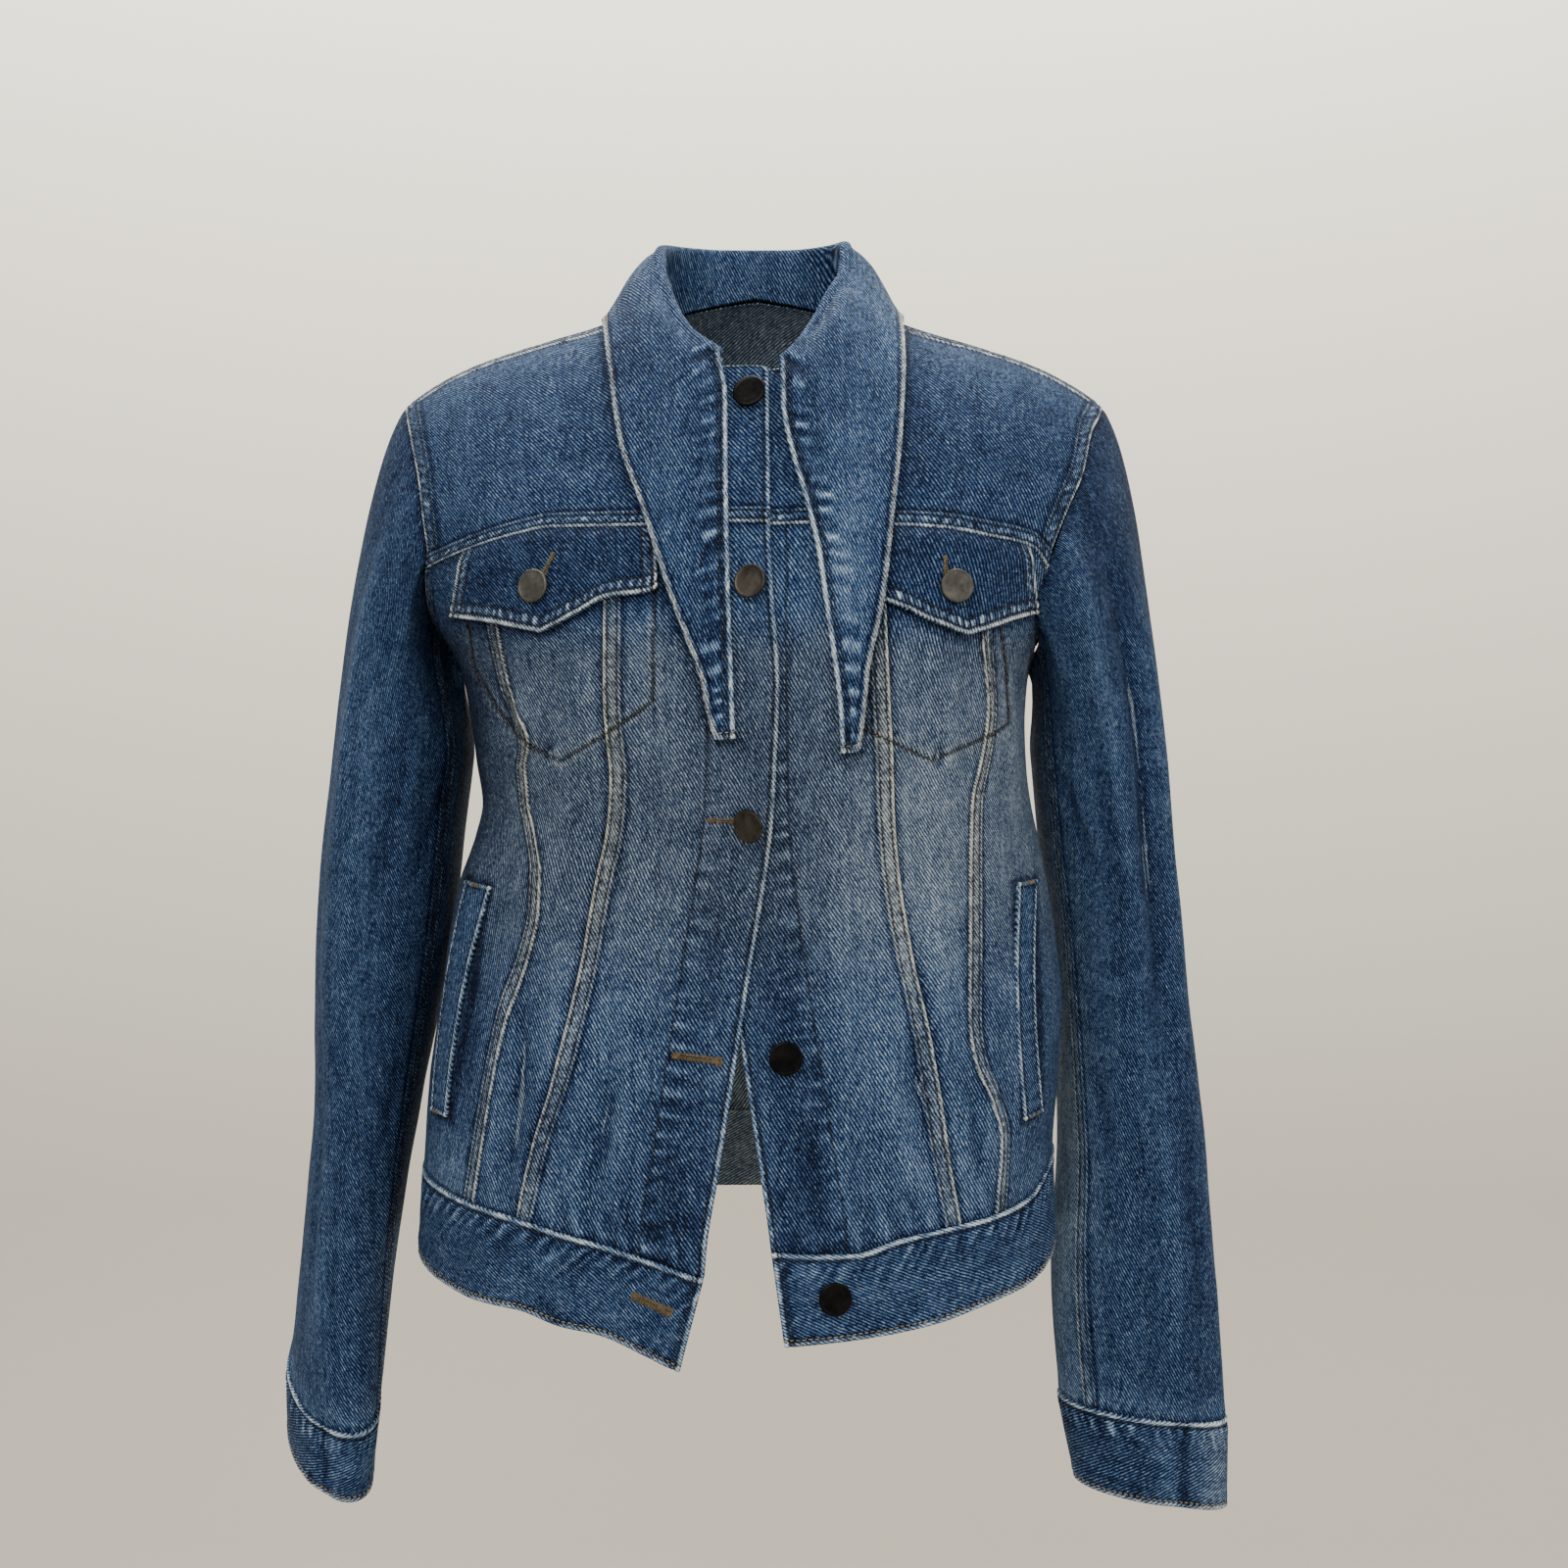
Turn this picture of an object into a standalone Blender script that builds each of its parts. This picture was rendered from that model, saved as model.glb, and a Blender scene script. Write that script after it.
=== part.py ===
"""Denim jacket: the worn, hollow garment.

Metres, +Z up, the front faces -Y, the wearer's right is -X.
x = 0 is the body's centre, y = 0 the shoulder and side seams,
z = 0 the side of the neck.  Names end in _r for the wearer's right.
"""
import math

import bpy
import numpy as np

for leftover in list(bpy.data.objects):
    bpy.data.objects.remove(leftover, do_unlink=True)

# ---------------------------------------------------------------- sizes
CLOTH = 0.0012          # one layer of denim
DOUBLE = 0.0024         # two layers: collar, waistband, cuffs, flaps, edges
HALF_GAP = 0.00018      # half of the space left at a seam
ROUND = 2.3             # squareness of the body sections
FRONT_Z0 = -0.215       # where the front starts to close to the shoulder
BACK_Z0 = -0.150
ROWS = 15               # rows of a body panel, waist seam to yoke seam

# height, half width right, half width left, front depth, back depth
BODY = np.array([
    (-0.580, 0.186, 0.166, 0.130, 0.106),
    (-0.540, 0.187, 0.167, 0.131, 0.106),
    (-0.500, 0.186, 0.167, 0.130, 0.104),
    (-0.470, 0.184, 0.166, 0.127, 0.100),
    (-0.425, 0.181, 0.169, 0.122, 0.094),
    (-0.380, 0.174, 0.171, 0.119, 0.090),
    (-0.345, 0.169, 0.167, 0.118, 0.087),
    (-0.315, 0.163, 0.162, 0.120, 0.086),
    (-0.290, 0.154, 0.157, 0.123, 0.086),
    (-0.272, 0.150, 0.153, 0.126, 0.088),
    (-0.250, 0.153, 0.150, 0.129, 0.092),
    (-0.225, 0.156, 0.149, 0.131, 0.097),
    (-0.200, 0.161, 0.151, 0.131, 0.101),
    (-0.170, 0.178, 0.166, 0.130, 0.106),
    (-0.130, 0.196, 0.190, 0.126, 0.109),
    (-0.090, 0.204, 0.204, 0.121, 0.109),
    (-0.050, 0.208, 0.208, 0.119, 0.106),
    (0.000, 0.210, 0.210, 0.119, 0.105),
    (0.050, 0.210, 0.210, 0.119, 0.105),
])
# distance from the centre, height of the shoulder line
SHOULDER = np.array([
    (0.000, 0.0300), (0.030, 0.0220), (0.068, -0.0030), (0.085, -0.0105),
    (0.115, -0.0195), (0.1475, -0.0300), (0.175, -0.0430),
    (0.194, -0.0565), (0.215, -0.0740),
])
# soft folds: side (-1 front, 1 back), x, z, lean dx/dz, half width,
# half height, how far out
FOLDS = np.array([
    (-1, -0.100, -0.305, 0.10, 0.011, 0.055, 0.0030),
    (-1, -0.135, -0.300, 0.15, 0.014, 0.060, -0.0030),
    (-1, -0.082, -0.440, 0.22, 0.013, 0.045, -0.0026),
    (-1, -0.106, -0.430, 0.28, 0.011, 0.050, 0.0026),
    (-1, 0.112, -0.430, -0.20, 0.012, 0.050, 0.0034),
    (-1, 0.090, -0.440, -0.20, 0.011, 0.045, -0.0026),
    (-1, 0.100, -0.215, 0.00, 0.045, 0.045, 0.0040),
    (-1, -0.100, -0.215, 0.00, 0.045, 0.045, 0.0040),
    (1, -0.070, -0.420, 0.16, 0.014, 0.060, 0.0030),
    (1, 0.050, -0.425, -0.12, 0.014, 0.060, 0.0030),
    (1, 0.000, -0.300, 0.00, 0.030, 0.060, -0.0035),
])
# the front edges: height, x of the right (upper) edge, x of the left edge
FRONT_EDGES = np.array([
    (-0.560, -0.0360, 0.0180), (-0.505, -0.0237, 0.0110),
    (-0.488, -0.0222, 0.0092), (-0.456, -0.0168, 0.0045),
    (-0.425, -0.0118, -0.0004), (-0.392, -0.0066, -0.0054),
    (-0.346, 0.0006, -0.0125), (-0.314, 0.0061, -0.0170),
    (-0.277, 0.0110, -0.0205), (-0.244, 0.0130, -0.0215),
    (-0.207, 0.0143, -0.0220), (-0.150, 0.0105, -0.0220),
    (-0.110, 0.0092, -0.0220), (-0.083, 0.0115, -0.0220),
    (-0.040, 0.0085, -0.0220), (0.000, 0.0085, -0.0220),
])
# front seams: height, distance of the inner and of the outer seam
SEAMS_R = np.array([
    (-0.510, 0.127, 0.149), (-0.477, 0.1206, 0.1455), (-0.446, 0.1137, 0.1400),
    (-0.403, 0.1004, 0.1318), (-0.380, 0.0948, 0.1260), (-0.345, 0.0870, 0.1139),
    (-0.322, 0.0830, 0.1082), (-0.302, 0.0789, 0.1076), (-0.284, 0.0745, 0.1112),
    (-0.268, 0.0722, 0.1152), (-0.250, 0.0712, 0.1154), (-0.236, 0.0722, 0.1122),
    (-0.214, 0.0736, 0.1200), (-0.192, 0.0738, 0.1262), (-0.171, 0.0742, 0.1300),
    (-0.125, 0.0745, 0.1340),
])
SEAMS_L = np.array([
    (-0.510, 0.113, 0.124), (-0.478, 0.1072, 0.1262), (-0.443, 0.1012, 0.1275),
    (-0.425, 0.0985, 0.1230), (-0.402, 0.0947, 0.1142), (-0.381, 0.0908, 0.1112),
    (-0.339, 0.0815, 0.1118), (-0.303, 0.0755, 0.1118), (-0.268, 0.0722, 0.1120),
    (-0.245, 0.0710, 0.1160), (-0.219, 0.0693, 0.1186), (-0.203, 0.0686, 0.1175),
    (-0.181, 0.0680, 0.1158), (-0.171, 0.0678, 0.1150), (-0.125, 0.0676, 0.1140),
])
# back seams: height, distance from the centre
BACK_SEAM = np.array([
    (-0.520, 0.070), (-0.470, 0.070), (-0.380, 0.074), (-0.290, 0.082),
    (-0.200, 0.100), (-0.100, 0.112),
])
# waistband: x, height of the seam, height of the lower edge (front)
WAIST = np.array([
    (-0.1870, -0.4720, -0.5200), (-0.1610, -0.4757, -0.5255),
    (-0.1420, -0.4785, -0.5280), (-0.1220, -0.4810, -0.5285),
    (-0.0980, -0.4863, -0.5345), (-0.0760, -0.4903, -0.5370),
    (-0.0540, -0.4960, -0.5455), (-0.0400, -0.5005, -0.5520),
    (-0.0240, -0.5050, -0.5560), (-0.0050, -0.5000, -0.5480),
    (0.0095, -0.4925, -0.5415), (0.0290, -0.4937, -0.5402),
    (0.0520, -0.4940, -0.5385), (0.0770, -0.4878, -0.5360),
    (0.0960, -0.4856, -0.5335), (0.1190, -0.4830, -0.5290),
    (0.1350, -0.4812, -0.5265), (0.1490, -0.4775, -0.5245),
    (0.1600, -0.4680, -0.5200), (0.1670, -0.4620, -0.5150),
])
BACK_WAIST = (-0.466, -0.514)
# front yoke seam: x, height
YOKE = np.array([
    (-0.180, -0.1490), (-0.164, -0.1430), (-0.137, -0.1345), (-0.120, -0.1304),
    (-0.103, -0.1275), (-0.060, -0.1272), (0.000, -0.1262), (0.060, -0.1266),
    (0.096, -0.1276), (0.120, -0.1311), (0.145, -0.1362), (0.156, -0.1475),
    (0.180, -0.1560),
])
BACK_YOKE = -0.128
# armholes, from the shoulder round the front to the underarm, then up
# the back: x from the centre, height
ARM_FRONT_R = np.array([
    (0.1925, -0.0552), (0.1900, -0.0605), (0.1838, -0.0790), (0.1768, -0.1060),
    (0.1722, -0.1320), (0.1735, -0.1490), (0.1745, -0.1640), (0.1715, -0.1790),
    (0.1650, -0.1930),
])
ARM_FRONT_L = np.array([
    (0.1925, -0.0552), (0.1895, -0.0600), (0.1812, -0.0750), (0.1748, -0.0970),
    (0.1660, -0.1150), (0.1575, -0.1340), (0.1535, -0.1475), (0.1485, -0.1600),
    (0.1500, -0.1780), (0.1520, -0.1900),
])
ARM_BACK = np.array([
    (0.1640, -0.1900), (0.1700, -0.1760), (0.1690, -0.1550), (0.1690, -0.1280),
    (0.1740, -0.0980), (0.1830, -0.0730), (0.1895, -0.0600), (0.1925, -0.0552),
])
UNDERARM = {-1: -0.2030, 1: -0.2000}
# neckline, degrees up the closing arc against distance from the centre
NECK_FRONT = np.array([
    (-0.010, 44.4), (0.000, 44.4), (0.022, 45.9), (0.040, 50.8), (0.053, 60.0),
    (0.060, 73.0), (0.0620, 90.0),
])
NECK_BACK = np.array([
    (0.000, 64.0), (0.028, 65.0), (0.046, 68.5), (0.058, 77.0), (0.0620, 90.0),
])


# ------------------------------------------------------------ functions
def pchip(table, column, key):
    """A smooth curve through one column of a table, no overshoot."""
    xs = table[:, 0]
    ys = table[:, column]
    step = np.diff(xs)
    rise = np.diff(ys) / step
    slope = np.zeros(len(ys))
    one = 2.0 * step[1:] + step[:-1]
    two = step[1:] + 2.0 * step[:-1]
    same = rise[:-1] * rise[1:] > 0
    top = (one + two)[same]
    slope[1:-1][same] = top / (one[same] / rise[:-1][same] + two[same] / rise[1:][same])
    slope[0] = rise[0]
    slope[-1] = rise[-1]
    key = np.clip(np.asarray(key, float), xs[0], xs[-1])
    i = np.clip(np.searchsorted(xs, key, side="right") - 1, 0, len(xs) - 2)
    t = (key - xs[i]) / step[i]
    a = ys[i] * (1 + 2 * t) * (1 - t) ** 2
    b = step[i] * slope[i] * t * (1 - t) ** 2
    c = ys[i + 1] * t * t * (3 - 2 * t)
    d = step[i] * slope[i + 1] * t * t * (t - 1)
    return a + b + c + d


def ease(t):
    t = np.clip(t, 0.0, 1.0)
    return t * t * (3.0 - 2.0 * t)


def unit(v):
    return v / np.maximum(np.linalg.norm(v, axis=-1, keepdims=True), 1e-12)


def half_width(x, z):
    return np.where(np.asarray(x) < 0, pchip(BODY, 1, z), pchip(BODY, 2, z))


def shoulder(x):
    return pchip(SHOULDER, 1, np.abs(x))


def base_torso(alpha, h):
    """alpha: 0 left side seam, 90 front, 180 right side seam, 270 back.
    h: height, bent over towards the shoulder line above the z0 level."""
    alpha, h = np.broadcast_arrays(np.asarray(alpha, float), np.asarray(h, float))
    c = np.cos(alpha)
    s = np.sin(alpha)
    front = s >= 0
    ex = np.sign(c) * np.abs(c) ** (2 / ROUND)
    ey = np.abs(s) ** (2 / ROUND)
    z0 = np.where(front, FRONT_Z0, BACK_Z0)
    z = h
    x = ex * half_width(ex, z)
    radius = shoulder(x) - z0
    for _ in range(8):
        z = np.where(h > z0, z0 + radius * np.sin((h - z0) / radius), h)
        x = ex * half_width(ex, z)
        radius = shoulder(x) - z0
    close = np.where(h > z0, np.cos((h - z0) / radius), 1.0)
    depth = np.where(front, -pchip(BODY, 3, z), pchip(BODY, 4, z))
    return np.stack([x, depth * ey * close, z], -1)


def spot(x, z, front=True):
    """(alpha, h) of the surface at this x and z."""
    x, z = np.broadcast_arrays(np.asarray(x, float), np.asarray(z, float))
    z0 = FRONT_Z0 if front else BACK_Z0
    q = np.clip(np.abs(x) / half_width(x, z), 0, 1)
    alpha = np.arccos(np.clip(np.sign(x) * q ** (ROUND / 2), -1, 1))
    if not front:
        alpha = 2 * math.pi - alpha
    radius = shoulder(x) - z0
    rise = z0 + np.arcsin(np.clip((z - z0) / radius, -1, 1)) * radius
    return np.stack([alpha, np.where(z > z0, rise, z)], -1)


def normals(surface, alpha, h, *rest):
    e = 2e-4
    da = surface(alpha + e, h, *rest) - surface(alpha - e, h, *rest)
    dh = surface(alpha, h + e, *rest) - surface(alpha, h - e, *rest)
    return unit(-np.cross(da, dh))


def fold_height(p, back):
    out = np.zeros(p.shape[:-1])
    for side, x0, z0, lean, wide, tall, far in FOLDS:
        dz = (p[..., 2] - z0) / tall
        dx = (p[..., 0] - x0 - lean * (p[..., 2] - z0)) / wide
        here = far * np.exp(-dx * dx - dz * dz)
        out = out + np.where(back == (side > 0), here, 0.0)
    return out


def lift(p, layer):
    """Where the fronts lap: the right one rides out, the left one in."""
    edge = pchip(FRONT_EDGES, 1, p[..., 2])
    if layer > 0:
        return 0.0016 * ease((p[..., 0] - edge + 0.052) / 0.016)
    if layer < 0:
        return -0.0019 * ease((edge + 0.020 - p[..., 0]) / 0.018)
    return 0.0


def torso(alpha, h, layer=0, out=0.0):
    """The outer face of the body cloth, moved out by out."""
    p = base_torso(alpha, h)
    n = normals(base_torso, alpha, h)
    back = np.sin(np.asarray(alpha, float)) < 0
    back = np.broadcast_to(back, p.shape[:-1])
    fade = ease(np.abs(np.sin(np.asarray(alpha, float))) / 0.5)
    away = fold_height(p, back) * fade + lift(p, layer) + out
    return p + n * away[..., None]


def front_y(x, z):
    """y of the front at x, z (below the shoulder line)."""
    q = np.clip(np.abs(x) / half_width(x, z), 0, 1)
    t = np.clip((z - FRONT_Z0) / (shoulder(x) - FRONT_Z0), 0, 1)
    return -pchip(BODY, 3, z) * (1 - q ** ROUND) ** (1 / ROUND) * np.sqrt(1 - t * t)


def back_y(x, z):
    q = np.clip(np.abs(x) / half_width(x, z), 0, 1)
    t = np.clip((z - BACK_Z0) / (shoulder(x) - BACK_Z0), 0, 1)
    return pchip(BODY, 4, z) * (1 - q ** ROUND) ** (1 / ROUND) * np.sqrt(1 - t * t)


def along(points, t):
    """Smooth curve through points of any dimension, by chord length."""
    points = np.asarray(points, float)
    leg = np.linalg.norm(np.diff(points, axis=0), axis=1)
    s = np.concatenate([[0.0], np.cumsum(leg)])
    s = s / s[-1]
    cols = [pchip(np.stack([s, points[:, k]], 1), 1, t) for k in range(points.shape[1])]
    return np.stack(cols, -1)


def coons(bottom, top, left, right):
    """Fill four edge curves; rows run bottom to top, columns left to right."""
    v = np.linspace(0, 1, len(left))[:, None, None]
    u = np.linspace(0, 1, len(bottom))[None, :, None]
    sides = (1 - u) * left[:, None] + u * right[:, None]
    ends = (1 - v) * bottom[None] + v * top[None]
    low = (1 - u) * bottom[0] + u * bottom[-1]
    high = (1 - u) * top[0] + u * top[-1]
    return sides + ends - ((1 - v) * low + v * high)


def trim(p, sides="lrbt", by=HALF_GAP):
    """Draw the edges of a grid in by half a seam gap."""
    q = p.copy()
    if "b" in sides:
        q[0] += by * unit(p[1] - p[0])
    if "t" in sides:
        q[-1] += by * unit(p[-2] - p[-1])
    if "l" in sides:
        q[:, 0] += by * unit(p[:, 1] - p[:, 0])
    if "r" in sides:
        q[:, -1] += by * unit(p[:, -2] - p[:, -1])
    return q


DENIM = bpy.data.materials.new("denim")
DENIM.use_nodes = True
DENIM.node_tree.nodes["Principled BSDF"].inputs["Base Color"].default_value = (0.10, 0.17, 0.29, 1)
DENIM.node_tree.nodes["Principled BSDF"].inputs["Roughness"].default_value = 0.9
METAL = bpy.data.materials.new("gunmetal")
METAL.use_nodes = True
METAL.node_tree.nodes["Principled BSDF"].inputs["Base Color"].default_value = (0.10, 0.085, 0.07, 1)
METAL.node_tree.nodes["Principled BSDF"].inputs["Roughness"].default_value = 0.4
METAL.node_tree.nodes["Principled BSDF"].inputs["Metallic"].default_value = 0.9


def add(name, verts, faces, material):
    verts = np.asarray(verts, float)
    total = 0.0
    for f in faces:
        for k in range(1, len(f) - 1):
            total += np.dot(verts[f[0]], np.cross(verts[f[k]], verts[f[k + 1]]))
    if total < 0:
        faces = [tuple(reversed(f)) for f in faces]
    mesh = bpy.data.meshes.new(name)
    mesh.from_pydata([tuple(v) for v in verts], [], faces)
    mesh.update()
    mesh.materials.append(material)
    obj = bpy.data.objects.new(name, mesh)
    bpy.context.scene.collection.objects.link(obj)
    return obj


def wall(name, outer, inner, ring=False, material=DENIM):
    """A closed wall between two grids of points (rows, columns, 3)."""
    rows, cols = outer.shape[:2]
    verts = np.concatenate([outer.reshape(-1, 3), inner.reshape(-1, 3)])
    off = rows * cols
    faces = []
    last = cols if ring else cols - 1
    for i in range(rows - 1):
        for j in range(last):
            k = (j + 1) % cols
            a, b = i * cols + j, i * cols + k
            c, d = (i + 1) * cols + k, (i + 1) * cols + j
            faces.append((a, b, c, d))
            faces.append((off + d, off + c, off + b, off + a))
    for j in range(last):
        k = (j + 1) % cols
        faces.append((j, off + j, off + k, k))
        a, b = (rows - 1) * cols + j, (rows - 1) * cols + k
        faces.append((b, off + b, off + a, a))
    if not ring:
        for i in range(rows - 1):
            a, b = i * cols, (i + 1) * cols
            faces.append((b, off + b, off + a, a))
            a, b = i * cols + cols - 1, (i + 1) * cols + cols - 1
            faces.append((a, off + a, off + b, b))
    return add(name, verts, faces, material)


def cloth(name, grid, layer=0, thick=CLOTH, out=0.0, sides="lrbt", by=HALF_GAP):
    """A body panel from its (alpha, h) grid."""
    alpha, h = grid[..., 0], grid[..., 1]
    p = torso(alpha, h, layer, out)
    n = normals(torso, alpha, h, layer, out)
    q = trim(p, sides, by)
    thick = np.broadcast_to(np.asarray(thick, float), p.shape[:-1])
    return wall(name, q, q - n * thick[..., None])


# ------------------------------------------------- curves on the body
def waist_height(alpha, column):
    """Height of the waist seam (1) or lower edge (2) at alpha."""
    alpha = np.asarray(alpha, float) % (2 * math.pi)
    z = np.full(alpha.shape, -0.49)
    c = np.cos(alpha)
    ex = np.sign(c) * np.abs(c) ** (2 / ROUND)
    for _ in range(8):
        z = pchip(WAIST, column, ex * half_width(ex, z))
    side = np.where(c < 0, WAIST[0, column], WAIST[-1, column])
    back = side + (BACK_WAIST[column - 1] - side) * ease(-np.sin(alpha) / 0.8)
    return np.where(np.sin(alpha) < -1e-9, back, z)


def waist_spot(alpha, column=1):
    alpha = np.asarray(alpha, float)
    return np.stack([alpha, waist_height(alpha, column)], -1)


def seam_end(table, column, sign):
    """Where a vertical front seam meets the waist seam and yoke seam."""
    low = -0.49
    high = -0.13
    for _ in range(12):
        x = sign * pchip(table, column, low)
        low = float(pchip(WAIST, 1, x))
        x = sign * pchip(table, column, high)
        high = float(pchip(YOKE, 1, x))
    return low, high


def arm_curve(sign):
    """Armhole (alpha, h) points: front part and back part, 3-D lengths."""
    table = ARM_FRONT_R if sign < 0 else ARM_FRONT_L
    pts = [tuple(spot(sign * x, z)) for x, z in table]
    low = UNDERARM[sign]
    side = 0.0 if sign > 0 else math.pi
    pts.append((side, low))
    back = [(side if sign < 0 else 2 * math.pi, low)]
    back += [tuple(spot(sign * x, z, False)) for x, z in ARM_BACK]
    return np.array(pts), np.array(back)


def on_curve(points, count, start=0.0, end=1.0, dense=400):
    """Points equally spaced in space on a curve given as (alpha, h)."""
    t = np.linspace(0, 1, dense)
    line = along(points, t)
    p = base_torso(line[:, 0], line[:, 1])
    s = np.concatenate([[0], np.cumsum(np.linalg.norm(np.diff(p, axis=0), axis=1))])
    s /= s[-1]
    want = np.linspace(start, end, count)
    where = np.interp(want, s, t)
    return along(points, where)


def meet(points, height_of):
    """Share of the length at which an armhole crosses a level."""
    t = np.linspace(0, 1, 2000)
    line = along(points, t)
    p = base_torso(line[:, 0], line[:, 1])
    s = np.concatenate([[0], np.cumsum(np.linalg.norm(np.diff(p, axis=0), axis=1))])
    s /= s[-1]
    gap = p[:, 2] - height_of(p[:, 0])
    k = int(np.argmax(gap < 0)) if gap[0] > 0 else int(np.argmax(gap > 0))
    return float(s[k])


# ---------------------------------------------------------- the fronts
CENTRE_COLS, MID_COLS, TOP_COLS, ARM_COLS = 7, 4, 2, 4
EDGE_COLUMN = {-1: 1, 1: 2}
panels = {}


def edge_ends(sign):
    low, high = -0.49, -0.13
    for _ in range(12):
        low = float(pchip(WAIST, 1, pchip(FRONT_EDGES, EDGE_COLUMN[sign], low)))
        high = float(pchip(YOKE, 1, pchip(FRONT_EDGES, EDGE_COLUMN[sign], high)))
    return low, high


def line_between(a, b, count):
    t = np.linspace(0, 1, count)[:, None]
    return (1 - t) * a + t * b


def yoke_line(x0, x1, count):
    x = np.linspace(x0, x1, count)
    return spot(x, pchip(YOKE, 1, x))


for sign, tag in ((-1, "r"), (1, "l")):
    layer = 1 if sign < 0 else -1
    seams = SEAMS_R if sign < 0 else SEAMS_L
    low, high = edge_ends(sign)
    z = np.linspace(low, high, ROWS)
    edge = spot(pchip(FRONT_EDGES, EDGE_COLUMN[sign], z), z)
    low, high = seam_end(seams, 1, sign)
    z = np.linspace(low, high, ROWS)
    inner = spot(sign * pchip(seams, 1, z), z)
    low, high = seam_end(seams, 2, sign)
    z = np.linspace(low, high, ROWS)
    outer = spot(sign * pchip(seams, 2, z), z)
    arm_f, arm_b = arm_curve(sign)
    corner = meet(arm_f, lambda x: pchip(YOKE, 1, x))
    corner_spot = on_curve(arm_f, 2, corner, 1.0)[0]
    corner_x = float(base_torso(*corner_spot)[0])
    side_alpha = math.pi if sign < 0 else 0.0
    side_low = float(waist_height(side_alpha, 1))
    side = np.stack([np.full(ROWS, side_alpha),
                     np.linspace(side_low, UNDERARM[sign], ROWS)], -1)

    def waist_line(a, b, count):
        return waist_spot(np.linspace(a, b, count))

    top = yoke_line(float(base_torso(*inner[-1])[0]), float(base_torso(*edge[-1])[0]),
                    CENTRE_COLS)
    grid = coons(waist_line(inner[0, 0], edge[0, 0], CENTRE_COLS), top, inner, edge)
    p = base_torso(grid[..., 0], grid[..., 1])
    from_edge = np.abs(p[..., 0] - p[:, -1:, 0])
    thick = CLOTH + (DOUBLE - CLOTH) * ease((0.046 - from_edge) / 0.012)
    cloth("front_center_" + tag, grid, layer, thick)

    top_mid = yoke_line(float(base_torso(*outer[-1])[0]), float(base_torso(*inner[-1])[0]),
                        MID_COLS)
    grid = coons(waist_line(outer[0, 0], inner[0, 0], MID_COLS), top_mid, outer, inner)
    cloth("front_mid_" + tag, grid, layer)

    part = yoke_line(corner_x, float(base_torso(*outer[-1])[0]), TOP_COLS + 1)
    part[0] = corner_spot
    rest = on_curve(arm_f, ARM_COLS + 1, corner, 1.0)[::-1]
    top_side = np.concatenate([rest, part[1:]])
    grid = coons(waist_line(side_alpha, outer[0, 0], len(top_side)), top_side, side, outer)
    cloth("front_side_" + tag, grid, layer)

    # front yoke: columns from the armhole to the front edge
    bottom = np.concatenate([part[:-1], top_mid[:-1], top])
    yoke_rows = 9
    arm = on_curve(arm_f, yoke_rows, 0.0, corner)[::-1]
    neck = []
    edge_top = pchip(FRONT_EDGES, EDGE_COLUMN[sign], -0.042)
    dist = float(edge_top) * sign
    for d in np.linspace(dist, 0.062, 7):
        radius = shoulder(sign * abs(d)) - FRONT_Z0
        angle = math.radians(float(pchip(NECK_FRONT, 1, d)))
        zz = FRONT_Z0 + radius * math.sin(angle)
        a = spot(sign * d, zz)
        neck.append((float(a[0]), float(FRONT_Z0 + radius * angle)))
    neck = np.array(neck)
    right = np.concatenate([line_between(edge[-1], neck[0], 4)[:-1], neck[[0, 2, 4, 5, 6]]])
    right = on_curve(np.array(right), yoke_rows)
    shoulder_x = np.linspace(0.1925, 0.062, len(bottom))
    rad = shoulder(shoulder_x) - FRONT_Z0
    topline = np.stack([spot(sign * shoulder_x, shoulder(shoulder_x) - 1e-9)[:, 0],
                        FRONT_Z0 + rad * math.pi / 2], -1)
    topline[0] = arm[-1]
    topline[-1] = right[-1]
    grid = coons(bottom, topline, arm, right)
    p = base_torso(grid[..., 0], grid[..., 1])
    edge_x = pchip(FRONT_EDGES, EDGE_COLUMN[sign], p[..., 2])
    thick = CLOTH + (DOUBLE - CLOTH) * ease((0.046 - np.abs(p[..., 0] - edge_x)) / 0.012)
    cloth("front_yoke_" + tag, grid, layer, thick)
    panels[tag] = dict(edge=edge, inner=inner, outer=outer, side=side, arm_f=arm_f,
                       arm_b=arm_b, side_cols=len(top_side))

# ------------------------------------------------------------ the back
BACK_COLS = 9
back = {}
for sign, tag in ((-1, "r"), (1, "l")):
    seam_low = BACK_WAIST[0]
    z = np.linspace(seam_low, BACK_YOKE, ROWS)
    seam = spot(sign * pchip(BACK_SEAM, 1, z), z, False)
    seam[0, 1] = float(waist_height(seam[0, 0], 1))
    arm_b = panels[tag]["arm_b"]
    corner = meet(arm_b, lambda x: BACK_YOKE + 0 * x)
    corner_spot = on_curve(arm_b, 2, corner, 1.0)[0]
    side_alpha = math.pi if sign < 0 else 2 * math.pi
    side_low = float(waist_height(side_alpha, 1))
    side = np.stack([np.full(ROWS, side_alpha),
                     np.linspace(side_low, UNDERARM[sign], ROWS)], -1)
    x0 = float(base_torso(*corner_spot)[0])
    x1 = float(base_torso(*seam[-1])[0])
    part = spot(np.linspace(x0, x1, TOP_COLS + 2), BACK_YOKE, False)
    part[0] = corner_spot
    rest = on_curve(arm_b, ARM_COLS, 0.0, corner)
    top_side = np.concatenate([rest, part[1:]])
    low_line = waist_spot(np.linspace(side_alpha, seam[0, 0], len(top_side)))
    grid = coons(low_line, top_side, side, seam)
    cloth("back_side_" + tag, grid)
    back[tag] = dict(seam=seam, part=part, arm_b=arm_b, corner=corner,
                     cols=len(top_side))

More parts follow.
